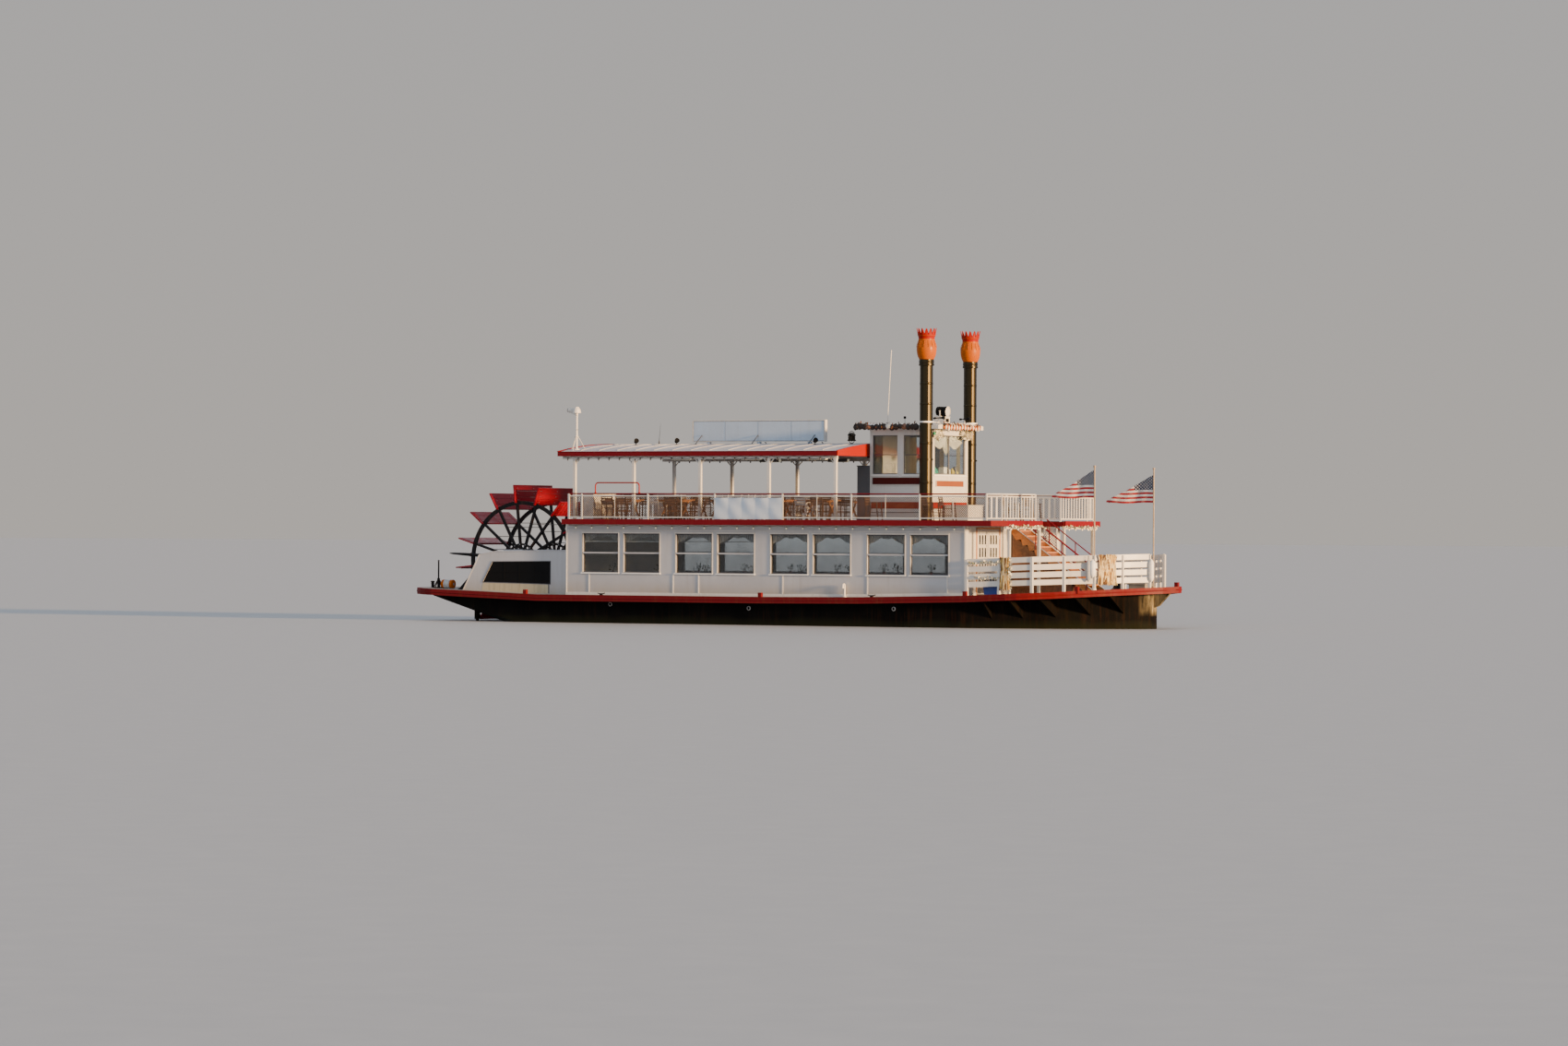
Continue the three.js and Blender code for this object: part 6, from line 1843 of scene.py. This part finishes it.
def lever(made, face, way, y, along, z, hole, reach, plate, finish):
    """Lever, its back plate and its keyhole. way is out of the door and along is where the lever points."""
    back, front, lip = plate
    made.box((face + back * way, y - 0.02, hole - 0.04), (face + front * way, y + 0.02, hole + 0.16), finish)
    made.rod((face, y, z), (face + 0.05 * way, y, z), 0.009, 10, finish)
    grip = [(face + 0.055 * way, y + along * reach[0], z), (face + 0.055 * way, y + along * reach[1], z - 0.003)]
    made.sweep([(face + 0.05 * way, y, z)] + grip, 0.009, 8, finish)
    keyhole = [(0.013, 0.0), (0.013, 0.008), (0.008, 0.01)]
    made.turned(keyhole, (face + lip * way, y, hole), 12, finish, axis=(way, 0, 0))


def door_fittings():
    glass, bead, metal_part, plate = 0, 1, 2, 3
    x = DOOR.x
    pitch_z = (DOOR.z1 - DOOR.z0 - 0.45) / DOOR.rows
    for leaf_name, (y0, y1) in DOOR_LEAVES.items():
        made = Shape()
        pitch_y = (y1 - y0 - 2 * DOOR.stile) / DOOR.lites
        for i in range(DOOR.lites):
            for j in range(DOOR.rows):
                a, b = (y0 + DOOR.stile + pitch_y * (i + s) for s in (0.18, 0.82))
                c, d = (DOOR.z0 + 0.33 + pitch_z * (j + s) for s in (0.12, 0.88))
                made.box((x - 0.025, a + 0.0005, c + 0.0005), (x - 0.02, b - 0.0005, d - 0.0005), glass)
                front_ring(made, a + 0.008, b - 0.008, c + 0.008, d - 0.008, 0.016, x - 0.012, x + 0.003, bead)
        free, inwards = (y1, -1) if leaf_name == "door_outer" else (y0, 1)
        lever(made, x, 1, free + inwards * 0.05, inwards, 2.15, 2.06, (0.03, 0.12), (0, 0.006, 0.006), metal_part)
        made.box((x, y0 + 0.04, DOOR.z0 + 0.03), (x + 0.003, y1 - 0.04, DOOR.z0 + 0.22), plate)
        if leaf_name == "door_outer":
            made.box((x, y1 - 0.022, DOOR.z0), (x + 0.012, y1 - 0.001, DOOR.z1), bead)
        pair(f"{leaf_name}_fittings", made, [GLASS, WHITE, CHROME, STEEL], body=f"{leaf_name}_*")
    wooden, steel, white = 0, 1, 2
    made = Shape()
    x = SALOON.fore
    for y0, y1, z0, z1, back, out, finish in (
            (-2.72, -2.668, 1.1, 3.4, 0.001, 0.022, wooden), (-1.032, -0.98, 1.1, 3.4, 0.001, 0.022, wooden),
            (-2.72, -0.98, 3.345, 3.41, 0.001, 0.022, wooden), (-2.648, -1.052, 1.1, 1.136, 0.06, 0.03, steel),
            (-0.13, -0.07, 1.1, 3.44, 0.001, 0.012, white), (-3.23, -3.17, 1.1, 3.44, 0.001, 0.012, white),
            (-3.499, -2.72, 1.098, 1.2, 0.001, 0.018, white), (-0.98, 0.0, 1.098, 1.2, 0.001, 0.018, white),
            (-3.499, -3.45, 1.1, 3.44, 0.001, 0.014, white)):
        made.box((x - back, y0, z0), (x + out, y1, z1), finish)
    pair("doorway_frame", made, [VARNISH, STEEL, WHITE], bevel=0.003)


def pilot_door_fittings():
    """Raised panels, levers and a kick plate on the pilothouse door, and the trim round its opening."""
    out, back, low, high = 2.98, 3.025, 3.645, 5.615
    made = Shape()
    for z0, z1 in ((low + 0.26, low + 0.9), (low + 1.05, high - 0.14)):
        for x0, x1 in ((out - 0.012, out + 0.0005), (back - 0.0005, back + 0.012)):
            front_ring(made, -0.24, 0.24, z0, z1, 0.03, x0, x1)
            middle = (x0 + x1) / 2
            made.box((middle - 0.004, -0.18, z0 + 0.06), (middle + 0.004, 0.18, z1 - 0.06))
    for face, way in ((out, -1), (back, 1)):
        lever(made, face, way, -0.315, 1, 4.64, 4.54, (0.035, 0.115), (-0.0005, 0.005, 0.004), 1)
    made.box((out - 0.003, -0.33, low + 0.03), (out + 0.0005, 0.33, low + 0.2), 2)
    piece("pilothouse_door_fittings", made, [WHITE, CHROME, STEEL], body="pilothouse_door")
    trim = Shape()
    for y0, y1, z0, z1, proud in ((-0.44, -0.375, 3.601, 5.635, 0.012), (0.385, 0.45, 3.601, 5.635, 0.012),
                                  (-0.46, 0.47, 5.635, 5.71, 0.012), (-0.47, 0.48, 5.71, 5.735, 0.03),
                                  (-1.329, -0.44, 3.602, 3.7, 0.014), (0.45, 1.329, 3.602, 3.7, 0.014)):
        trim.box((out - proud, y0, z0), (out + 0.001, y1, z1))
    piece("pilot_doorway_trim", trim, [WHITE], bevel=0.002)


door_fittings()
pilot_door_fittings()

# Bow: blossom garlands, the lattice beside the stair, fenders and a second bundle of stalks

PETAL = moulded("blossom_petals", (0.7, 0.66, 0.52), 0.6)
DRY_LEAF = moulded("garland_leaves", (0.34, 0.33, 0.14), 0.6)


def spun(axis, angle):
    return Matrix.Rotation(angle, 4, axis)


def blossom(made, place, size, petals, heart):
    """Five cupped petals round a heart, turned a random way."""
    turn = spun("Z", vary(0, 6.28)) @ spun("X", vary(0.2, 1.9)) @ spun("Z", vary(0, 6.28))
    flower = Shape()
    thick = Vector((0, 0, 0.03 * size))
    for t in turns(5):
        out, side = Vector((cos(t), sin(t), 0)), Vector((-sin(t), cos(t), 0))
        rings = []
        for way, wide, lift in ((0.08, 0.1, 0.0), (0.5, 0.36, 0.12), (0.85, 0.3, 0.3), (1.0, 0.08, 0.36)):
            spot, across_it = out * size * way, side * size * wide
            up = Vector((0, 0, size * lift))
            middle = spot + up * 1.2
            rings.append([spot + across_it + up, middle - thick, spot - across_it + up, middle + thick])
        flower.loft(rings, petals)
    knob = [(r * size, h * size) for r, h in ((0, 0), (0.16, 0.04), (0.12, 0.2), (0, 0.24))]
    flower.turned(knob, (0, 0, 0), 6, heart)
    made.copy_in(flower, Matrix.Translation(place) @ turn)


def leaf(made, place, size, finish):
    turn = Matrix.Translation(place) @ spun("Z", vary(0, 6.28)) @ spun("X", vary(0.3, 2.6))
    blade = Shape()
    rings = []
    for way, wide in ((0.0, 0.02), (0.3, 0.22), (0.65, 0.2), (1.0, 0.01)):
        bend = 0.2 * sin(way * 2.6)
        section = ((wide, 0), (0, -0.06), (-wide, 0), (0, 0.01))
        rings.append([(x * size, way * size, (bend + up) * size) for x, up in section])
    blade.loft(rings, finish)
    made.copy_in(blade, turn)


def garland(made, route, count, spread, size, loose=0.0):
    """Blossoms and leaves set at random along a wire."""
    petals, heart, green, wire = 0, 1, 2, 3
    made.sweep(route, 0.006, 5, wire)
    points = [Vector(p) for p in route]
    for k in range(count):
        share = (k + chance.random()) / count * (len(points) - 1)
        i = min(int(share), len(points) - 2)
        place = points[i].lerp(points[i + 1], share - i) + Vector([vary(-spread, spread) for _ in range(3)])
        place.z -= loose * chance.random()
        if chance.random() < 0.5:
            blossom(made, place, size * vary(0.8, 1.2), petals, heart)
        else:
            leaf(made, place, size * vary(1.0, 1.7), green)


def fence_y(x):
    for (x0, y0), (x1, y1) in zip(FENCE.corners, FENCE.corners[1:]):
        if x <= x1:
            return y0 + (y1 - y0) * (x - x0) / (x1 - x0)
    return FENCE.corners[-1][1]


def bow_garlands():
    made = Shape()

    def swags(x0, x1, steps, height):
        """Route of two swags outside the fence."""
        spots = [(x0 + (x1 - x0) * k / steps, 0.05 * abs(sin(2 * pi * k / steps))) for k in range(steps + 1)]
        return [(x, fence_y(x) - 0.045, height(x) - sag) for x, sag in spots]

    front = [(9.475, -3.3 + 6.6 * k / 24, 3.47 - 0.05 * abs(sin(pi * k / 4))) for k in range(25)]
    garland(made, front[:11], 70, 0.035, 0.045, 0.05)
    garland(made, front[14:], 80, 0.035, 0.045, 0.05)
    garland(made, swags(8.1, 9.4, 10, lambda x: fence_top(x) - 0.1), 70, 0.04, 0.045, 0.05)
    x = 9.62
    fall = [(x, fence_y(x) - 0.05, fence_top(x) - 0.02 - 1.12 * k / 8) for k in range(9)]
    garland(made, fall, 60, 0.045, 0.05)
    garland(made, swags(8.3, 9.4, 8, lambda x: 1.75), 40, 0.04, 0.04, 0.04)
    # The hearts of these blossoms take the bulb glass, which glows a little though they are no lamp: painted light.
    piece("bow_garlands", made, [PETAL, BULB, DRY_LEAF, WIRE])


def stair_lattice():
    """White lattice in a frame, on the port side of the stair."""
    made = Shape()
    x0, x1, z0, z1, y = 8.75, 9.22, 1.25, 3.4, 0.62
    for a, b in (((x0, z0), (x1, z0)), ((x0, z1), (x1, z1)), ((x0, z0), (x0, z1)), ((x1, z0), (x1, z1))):
        made.bar((a[0], y, a[1]), (b[0], y, b[1]), 0.04, 0.04)
    starts = [x0 + k * 0.095 for k in range(-24, 30)]
    crossed_strips(made, (x0, x1), (z0, z1), y, starts, 0.013, 0.005, 0.006, 0.03, 0, True)
    piece("stair_lattice", made, [WHITE])


def fender(made, x, y, top, long, radius, finish):
    """Rounded fender hanging from the top board by a webbing strap."""
    end = [(0.012, 0.0), (0.03, -0.03), (radius * 0.7, -0.07), (radius, -0.14)]
    made.turned(end + [(r, -long - h) for r, h in reversed(end)], (x, y, top - 0.12), 24, finish)
    for k in range(3):
        z = top - 0.28 - (long - 0.32) * k / 2
        made.collar((x, y, z), radius - 0.002, radius + 0.006, -0.014, 0.014, 0.006, 24, finish)
    made.bar((x, y, top - 0.13), (x, y, top + 0.012), 0.02, 0.006, 2)


def bow_fenders():
    made = Shape()
    for share, long, radius, finish in ((0.9, 0.75, 0.085, 0), (0.97, 0.62, 0.1, 1)):
        x, y = 10.4 + 1.75 * share, -3.5 + 1.17 * share
        out = radius + 0.025
        fender(made, x + out * 0.55, y - out * 0.83, fence_top(x) - 0.02, long, radius, finish)
    fender(made, 13.44, -0.6, fence_top(13.3) - 0.05, 0.78, 0.085, 1)
    piece("bow_fenders", made, [FENDER_GREY, PALE, WIRE])


bow_garlands()
roof_garland()
stair_lattice()
bow_fenders()
pair("front_bulbs", bulb_string([(9.43, -3.4, 3.44), (9.43, -0.9, 3.44)], 0.5, 0.03), [BULB, WIRE])
SIDE_SECTIONS = [(-1.1, 0.2, 0.06), (-0.8, 0.17, 0.05), (-0.35, 0.13, 0.035), (-0.15, 0.16, 0.045), (0.03, 0.2, 0.06)]
stalk_bundle("fence_stalks", 0, 1.42, fence_top(9.45), SIDE_SECTIONS, 0.0205, 50)


# Upper deck: tables, chairs, lockers. Saloon: potted plants on the tables

# These chairs are dark brown to match their dark shapes in the shade under the awning: painted shade.
CHAIR_BROWN = wood("chair_boards", (0.07, 0.04, 0.022), (0.03, 0.016, 0.01), (4.0, 4.0, 1.0))
COOLER_BLUE = moulded("cooler_blue", (0.015, 0.05, 0.3), 0.4)
JAR_GREEN = moulded("jar_green", (0.05, 0.42, 0.32), 0.15)
JAR_YELLOW = moulded("jar_yellow", (0.62, 0.5, 0.05), 0.2)
DARK_LEAF = moulded("dark_leaf", (0.012, 0.03, 0.012), 0.6)


def chair():
    """Slatted deck chair that faces +X, its seat's middle over the origin."""
    made = Shape()
    for x, y in ((-0.2, -0.2), (0.2, -0.2), (-0.2, 0.2), (0.2, 0.2)):
        top = 0.88 if x < 0 else 0.64
        made.bar((x + (0.05 if x > 0 else -0.04), y, 0), (x, y, 0.44), 0.03, 0.03)
        made.bar((x, y, 0.44), (x - (0.08 if x < 0 else 0), y, top), 0.028, 0.028)
    for k in range(6):
        made.box((-0.21 + 0.072 * k, -0.21, 0.43), (-0.155 + 0.072 * k, 0.21, 0.448))
    for k in range(4):
        z = 0.55 + 0.085 * k
        x = -0.21 - 0.02 * k
        made.box((x - 0.008, -0.2, z), (x + 0.008, 0.2, z + 0.06))
    for y in (-0.215, 0.215):
        made.bar((-0.24, y, 0.63), (0.22, y, 0.645), 0.045, 0.02)
        made.bar((-0.2, y, 0.2), (0.22, y, 0.2), 0.02, 0.02)
    return made


def table():
    """Planked table top on two crossed trestles."""
    made = Shape()
    for k in range(7):
        y = -0.36 + 0.103 * k
        made.box((-0.6, y, 0.7), (0.6, y + 0.096, 0.73))
    for x in (-0.42, 0.42):
        made.bar((x, -0.3, 0), (x, 0.24, 0.7), 0.04, 0.05)
        made.bar((x + 0.04, 0.3, 0), (x + 0.04, -0.24, 0.7), 0.04, 0.05)
        made.box((x - 0.03, -0.34, 0.66), (x + 0.05, 0.34, 0.7))
    made.bar((-0.42, 0, 0.33), (0.46, 0, 0.33), 0.04, 0.05)
    return made


def deck_furniture():
    tables, chairs, pale_chairs = Shape(), Shape(), Shape()
    one_table, one_chair = table(), chair()
    low = DECK2_TOP + 0.001

    def stand(where, what, x, y, turn):
        where.copy_in(what, Matrix.Translation((x, y, low)) @ spun("Z", turn))

    for x in (-6.3, -4.25, -2.2, -0.15, 1.6):
        for y in (-2.35, 2.35):
            stand(tables, one_table, x, y, vary(-0.04, 0.04))
            for dx, dy, turn in ((-0.3, -0.62, 90), (0.32, -0.62, 90), (-0.3, 0.62, -90), (0.32, 0.62, -90)):
                if chance.random() < 0.4:
                    continue
                turn = math.radians(turn) + vary(-0.25, 0.25)
                chair_x = x + dx + vary(-0.05, 0.05)
                stand(chairs if chance.random() < 0.6 else pale_chairs, one_chair, chair_x, y + dy, turn)
    for x, y, turn in ((6.2, -2.9, 0), (6.9, -2.95, 0.2), (6.3, 2.9, 0.1), (7.1, 2.9, -0.2), (4.0, -2.9, 0.1),
                       (4.0, 2.9, 0)):
        stand(chairs, one_chair, x, y, turn)
    piece("deck_tables", tables, [TABLE_WOOD], bevel=0.003)
    piece("deck_chairs", chairs, [CHAIR_BROWN])
    piece("pale_deck_chairs", pale_chairs, [WHITE])
    lockers = Shape()
    # The locker just aft of the pilothouse (finish 1) is dark grey to stand for the shade on that corner: painted
    # shade.
    for x0, x1, y0, y1, high, finish in ((2.46, 2.94, -1.3, -0.8, 5.5, 1), (-7.55, -7.1, -3.15, -1.7, 4.5, 0),
                                         (-7.55, -7.1, 1.7, 3.15, 4.5, 0), (5.5, 6.4, -0.55, 0.55, 4.15, 0)):
        lockers.box((x0, y0, low + 0.04), (x1, y1, high), finish)
        lockers.box((x0 - 0.02, y0 - 0.02, high), (x1 + 0.02, y1 + 0.02, high + 0.03), finish)
        lockers.box((x0 + 0.02, y0 + 0.02, low), (x1 - 0.02, y1 - 0.02, low + 0.04), 2)
        count = max(2, round((y1 - y0) / 0.14))
        for k in range(1, count):
            y = y0 + (y1 - y0) * k / count
            lockers.box((x0 - 0.004, y - 0.006, low + 0.08), (x1 + 0.004, y + 0.006, high - 0.03), finish)
        middle = (y0 + y1) / 2
        lockers.rod((x0 - 0.02, middle - 0.05, high - 0.2), (x0 - 0.02, middle + 0.05, high - 0.2), 0.008, 8, 2)
    piece("deck_lockers", lockers, [WHITE, CABINET_GREY, STEEL], bevel=0.004)
    cooler = Shape()
    x, y = 8.75, -3.2
    foot = deck_z(x) + 0.002
    sections = ((0.24, 0.15, 0.0), (0.27, 0.17, 0.34), (0.28, 0.18, 0.345), (0.28, 0.18, 0.41), (0.25, 0.15, 0.43))
    cooler.loft([[(x + a * half_x, y + b * half_y, foot + z) for a, b in SQUARE] for half_x, half_y, z in sections])
    cooler.box((x - 0.1, y - 0.19, foot + 0.26), (x + 0.1, y - 0.17, foot + 0.29))
    piece("deck_cooler", cooler, [COOLER_BLUE], bevel=0.01)


def potted_plant(made, x, y, z):
    made.turned([(0.045, 0.0), (0.06, 0.09), (0.066, 0.1), (0.06, 0.105), (0.02, 0.1)], (x, y, z), 14, 0)
    for _ in range(16):
        turn, rise = vary(0, 6.28), vary(0.12, 0.32)
        reach = vary(0.06, 0.2)
        out_x, out_y = reach * cos(turn), reach * sin(turn)
        tip = (x + out_x, y + out_y, z + rise)
        bend = (x + out_x / 2, y + out_y / 2, z + 0.09 + rise * 0.6)
        made.sweep([(x, y, z + 0.09), bend, tip], [0.004, 0.003, 0.002], 4, 1)
        leaf(made, tip, 0.09, 1)


def saloon_plants():
    plants, lamps = Shape(), Shape()
    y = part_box("saloon_tables_starboard")[0][1] + 0.45
    for x in (-6.5 + 1.9 * k for k in range(7)):
        potted_plant(plants, x + 0.1, y, deck_z(x) + 0.741)
        lamps.turned([(0.06, 0.0), (0.06, -0.02), (0.01, -0.025), (0.01, -0.12)], (x, -1.6, 3.37), 12, 0)
        shade_profile = [(0.03, -0.12), (0.13, -0.2), (0.14, -0.26), (0.12, -0.25), (0.03, -0.14)]
        lamps.turned(shade_profile, (x, -1.6, 3.37), 20, 1)
    pair("table_plants", plants, [BOARD_RED, DARK_LEAF])
    lamps.box((-7.9, -3.4, 3.37), (7.7, 0.0, 3.4), 2)
    pair("saloon_lamps", lamps, [STEEL, BULB, WHITE])


# The pilot's seat: pedestal, shell and two sewn cushions


def cushion_blank(name, half_x, half_y, thick, place, turn):
    """Crowned pad whose sides draw in between the corners."""
    count = 26
    points, faces = [], []
    for top in (1, -1):
        for j in range(count + 1):
            for i in range(count + 1):
                u, v = 2 * i / count - 1, 2 * j / count - 1
                drawn_y = 1 - 0.05 * (1 - abs(u) ** 3) * abs(v) ** 6
                drawn_x = 1 - 0.05 * (1 - abs(v) ** 3) * abs(u) ** 6
                crown_here = ((1 - abs(u) ** 5) * (1 - abs(v) ** 5)) ** 0.42
                z = top * thick / 2 * crown_here * (1.0 if top > 0 else 0.55)
                points.append(place + turn @ Vector((u * half_x * drawn_x, v * half_y * drawn_y, z)))
    size = (count + 1) ** 2
    for layer in (0, 1):
        for j in range(count):
            for i in range(count):
                a = layer * size + j * (count + 1) + i
                quad = (a, a + 1, a + count + 2, a + count + 1)
                faces.append(quad if layer == 0 else quad[::-1])
    made = Shape()
    made.add(points, faces)
    pad = piece(name, made, [VINYL])
    work = bmesh.new()
    work.from_mesh(pad.data)
    bmesh.ops.remove_doubles(work, verts=work.verts, dist=0.0005)
    work.to_mesh(pad.data)
    work.free()
    return pad


def settled_mesh(pad):
    """A pad's mesh as its modifiers leave it."""
    return bpy.data.meshes.new_from_object(pad.evaluated_get(bpy.context.evaluated_depsgraph_get()))


def plump(pad, voxel, cap):
    """Fills a pad by a cloth simulation. No point of it moves further than cap."""
    remesh = pad.modifiers.new("even mesh", "REMESH")
    remesh.mode, remesh.voxel_size = "VOXEL", voxel
    pad.data = settled_mesh(pad)
    pad.modifiers.clear()
    before = [point.co.copy() for point in pad.data.vertices]
    cloth = pad.modifiers.new("stuffing", "CLOTH")
    cloth.settings.use_pressure = True
    cloth.settings.uniform_pressure_force = 4
    cloth.settings.effector_weights.gravity = 0
    cloth.point_cache.frame_start, cloth.point_cache.frame_end = 1, 20
    scene = bpy.context.scene
    for step in range(1, 21):
        scene.frame_set(step)
    pad.data = settled_mesh(pad)
    pad.modifiers.clear()
    scene.frame_set(1)
    for point, start in zip(pad.data.vertices, before):
        moved = point.co - start
        if moved.length > cap:
            point.co = start + moved * (cap / moved.length)


def cushion(name, half_x, half_y, thick, place, turn, channels):
    """Sewn cushion: its blank filled out, then its channels pressed in and its seam piped."""
    pad = cushion_blank(name, half_x, half_y, thick, place, turn)
    plump(pad, 0.006, 0.012)
    upright = turn.transposed()
    for point in pad.data.vertices:
        u, v, z = upright @ (point.co - place)
        if z > 0:
            nearest = min(abs(v / half_y - c) for c in channels)
            rim = max(0, 1 - abs(u / half_x) ** 5) * max(0, 1 - abs(v / half_y) ** 5)
            point.co -= turn @ Vector((0, 0, 0.014 * math.exp(-(nearest / 0.045) ** 2) * rim))
    rounding = pad.modifiers.new("rounded", "SUBSURF")
    rounding.levels = rounding.render_levels = 1
    pad.data = settled_mesh(pad)
    pad.modifiers.clear()
    for face in pad.data.polygons:
        face.use_smooth = True
    ways = [turn @ Vector((cos(t), sin(t), 0)) for t in turns(72)]
    route = [pad.ray_cast(place + outwards, -outwards)[1] for outwards in ways]
    piping = Shape()
    piping.sweep(route, 0.006, 6, looped=True)
    piece(name + "_piping", piping, [VINYL])


def pilot_seat():
    made = Shape()
    x, foot = 3.9, DECK2_TOP + 0.001
    column = [(0.2, 0.0), (0.2, 0.015), (0.08, 0.035), (0.06, 0.06), (0.06, 0.66), (0.09, 0.68), (0.09, 0.7)]
    made.turned(column, (x, 0, foot), 28)
    made.box((3.71, -0.225, 4.3), (4.11, 0.225, 4.322))
    made.plate([(3.665, 4.33), (3.69, 4.33), (3.67, 4.97), (3.645, 4.97)], "y", -0.2, 0.2)
    for y in (-0.1, 0.1):
        made.bar((3.69, y, 4.31), (3.68, y, 4.4), 0.05, 0.02)
    half_turn = [pi * (i / 16 - 0.5) for i in range(17)]
    rest = [(x + 0.03 + 0.17 * cos(t), 0.17 * sin(t), foot + 0.25) for t in half_turn]
    made.sweep(rest, 0.012, 8)
    for i in (0, 5, 11, 16):
        made.rod((x, 0, foot + 0.25), rest[i], 0.009, 8)
    made.collar((x, 0, foot + 0.225), 0.062, 0.07, 0.0, 0.05, 0.006, 28)
    piece("seat_pedestal", made, [STEEL], ["pilot_seat"], 0.003)
    level = Matrix.Identity(3)
    upright = Matrix.Rotation(math.radians(92), 3, "Y")
    cushion("seat_cushion", 0.19, 0.215, 0.1, Vector((3.92, 0, 4.352)), level, (-0.4, 0.0, 0.4))
    cushion("seat_back_cushion", 0.29, 0.205, 0.07, Vector((3.705, 0, 4.665)), upright, (-0.4, 0.0, 0.4))


def front_window_things():
    """Tail of the white swag and the jars and boxes that stand in the front window."""
    made = Shape()
    x, sill = 5.2, PILOT.sill - 0.02
    made.box((4.95, -1.2, sill - 0.03), (5.3, 1.2, sill), 0)
    green, pale, yellow, grey = 1, 2, 3, 4
    for y, wide, tall, finish in ((-0.78, 0.06, 0.3, green), (-0.6, 0.05, 0.22, green), (-0.12, 0.17, 0.27, pale),
                                  (0.16, 0.12, 0.2, pale), (0.52, 0.08, 0.24, yellow), (0.7, 0.07, 0.3, grey),
                                  (0.84, 0.05, 0.18, yellow)):
        if finish in (green, yellow):
            jar = [(0.8, 0.0), (1, 0.02 / tall), (1, 0.62), (0.45, 0.8), (0.42, 1), (0.001 / wide, 1)]
            made.turned([(r * wide, h * tall) for r, h in jar], (x, y, sill + 0.001), 20, finish)
        else:
            made.pad(x, y, wide * 0.6, wide, sill + 0.001, sill + tall, finish)
    piece("window_sill_things", made, [VARNISH, JAR_GREEN, PALE, JAR_YELLOW, CABINET_GREY], bevel=0.006)

    def tail(y):
        return 0.62 - 0.9 * abs(y)

    pilot_cloth("pilot_window_tail", -0.24, 0.24, 5.235, 6.5, tail, LINEN, 60, 10, pitch=0.06, depth=0.012)


def notch_trim():
    """Red boards round the stair well in the upper deck."""
    made = Shape()
    low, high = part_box("upper_deck")
    z0, z1 = low[2] + 0.004, high[2] + 0.012
    for side in SIDES:
        made.box((8.052, side * 0.832, z0), (high[0] - 0.002, side * 0.8498, z1))
    made.box((8.0502, -0.832, z0), (8.066, 0.832, z1))
    piece("stair_well_trim", made, [TRIM_RED], bevel=0.003)


deck_furniture()
saloon_plants()
pilot_seat()
front_window_things()
notch_trim()


def make_floor():
    """Plain pale floor at the waterline, so that it hides what the water hides."""
    half = 1500
    mesh = bpy.data.meshes.new("floor")
    mesh.from_pydata([(half * a, half * b, 0) for a, b in SQUARE], [], [(0, 1, 2, 3)])
    mesh.materials.append(moulded("floor_paint", (0.44, 0.45, 0.46), 0.6))
    placed("floor", mesh)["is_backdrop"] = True


make_floor()


def plain(box):
    return [[float(c) for c in corner] for corner in box]


{"cad_box": plain(CAD_BOX), "visual_box": plain(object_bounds())}
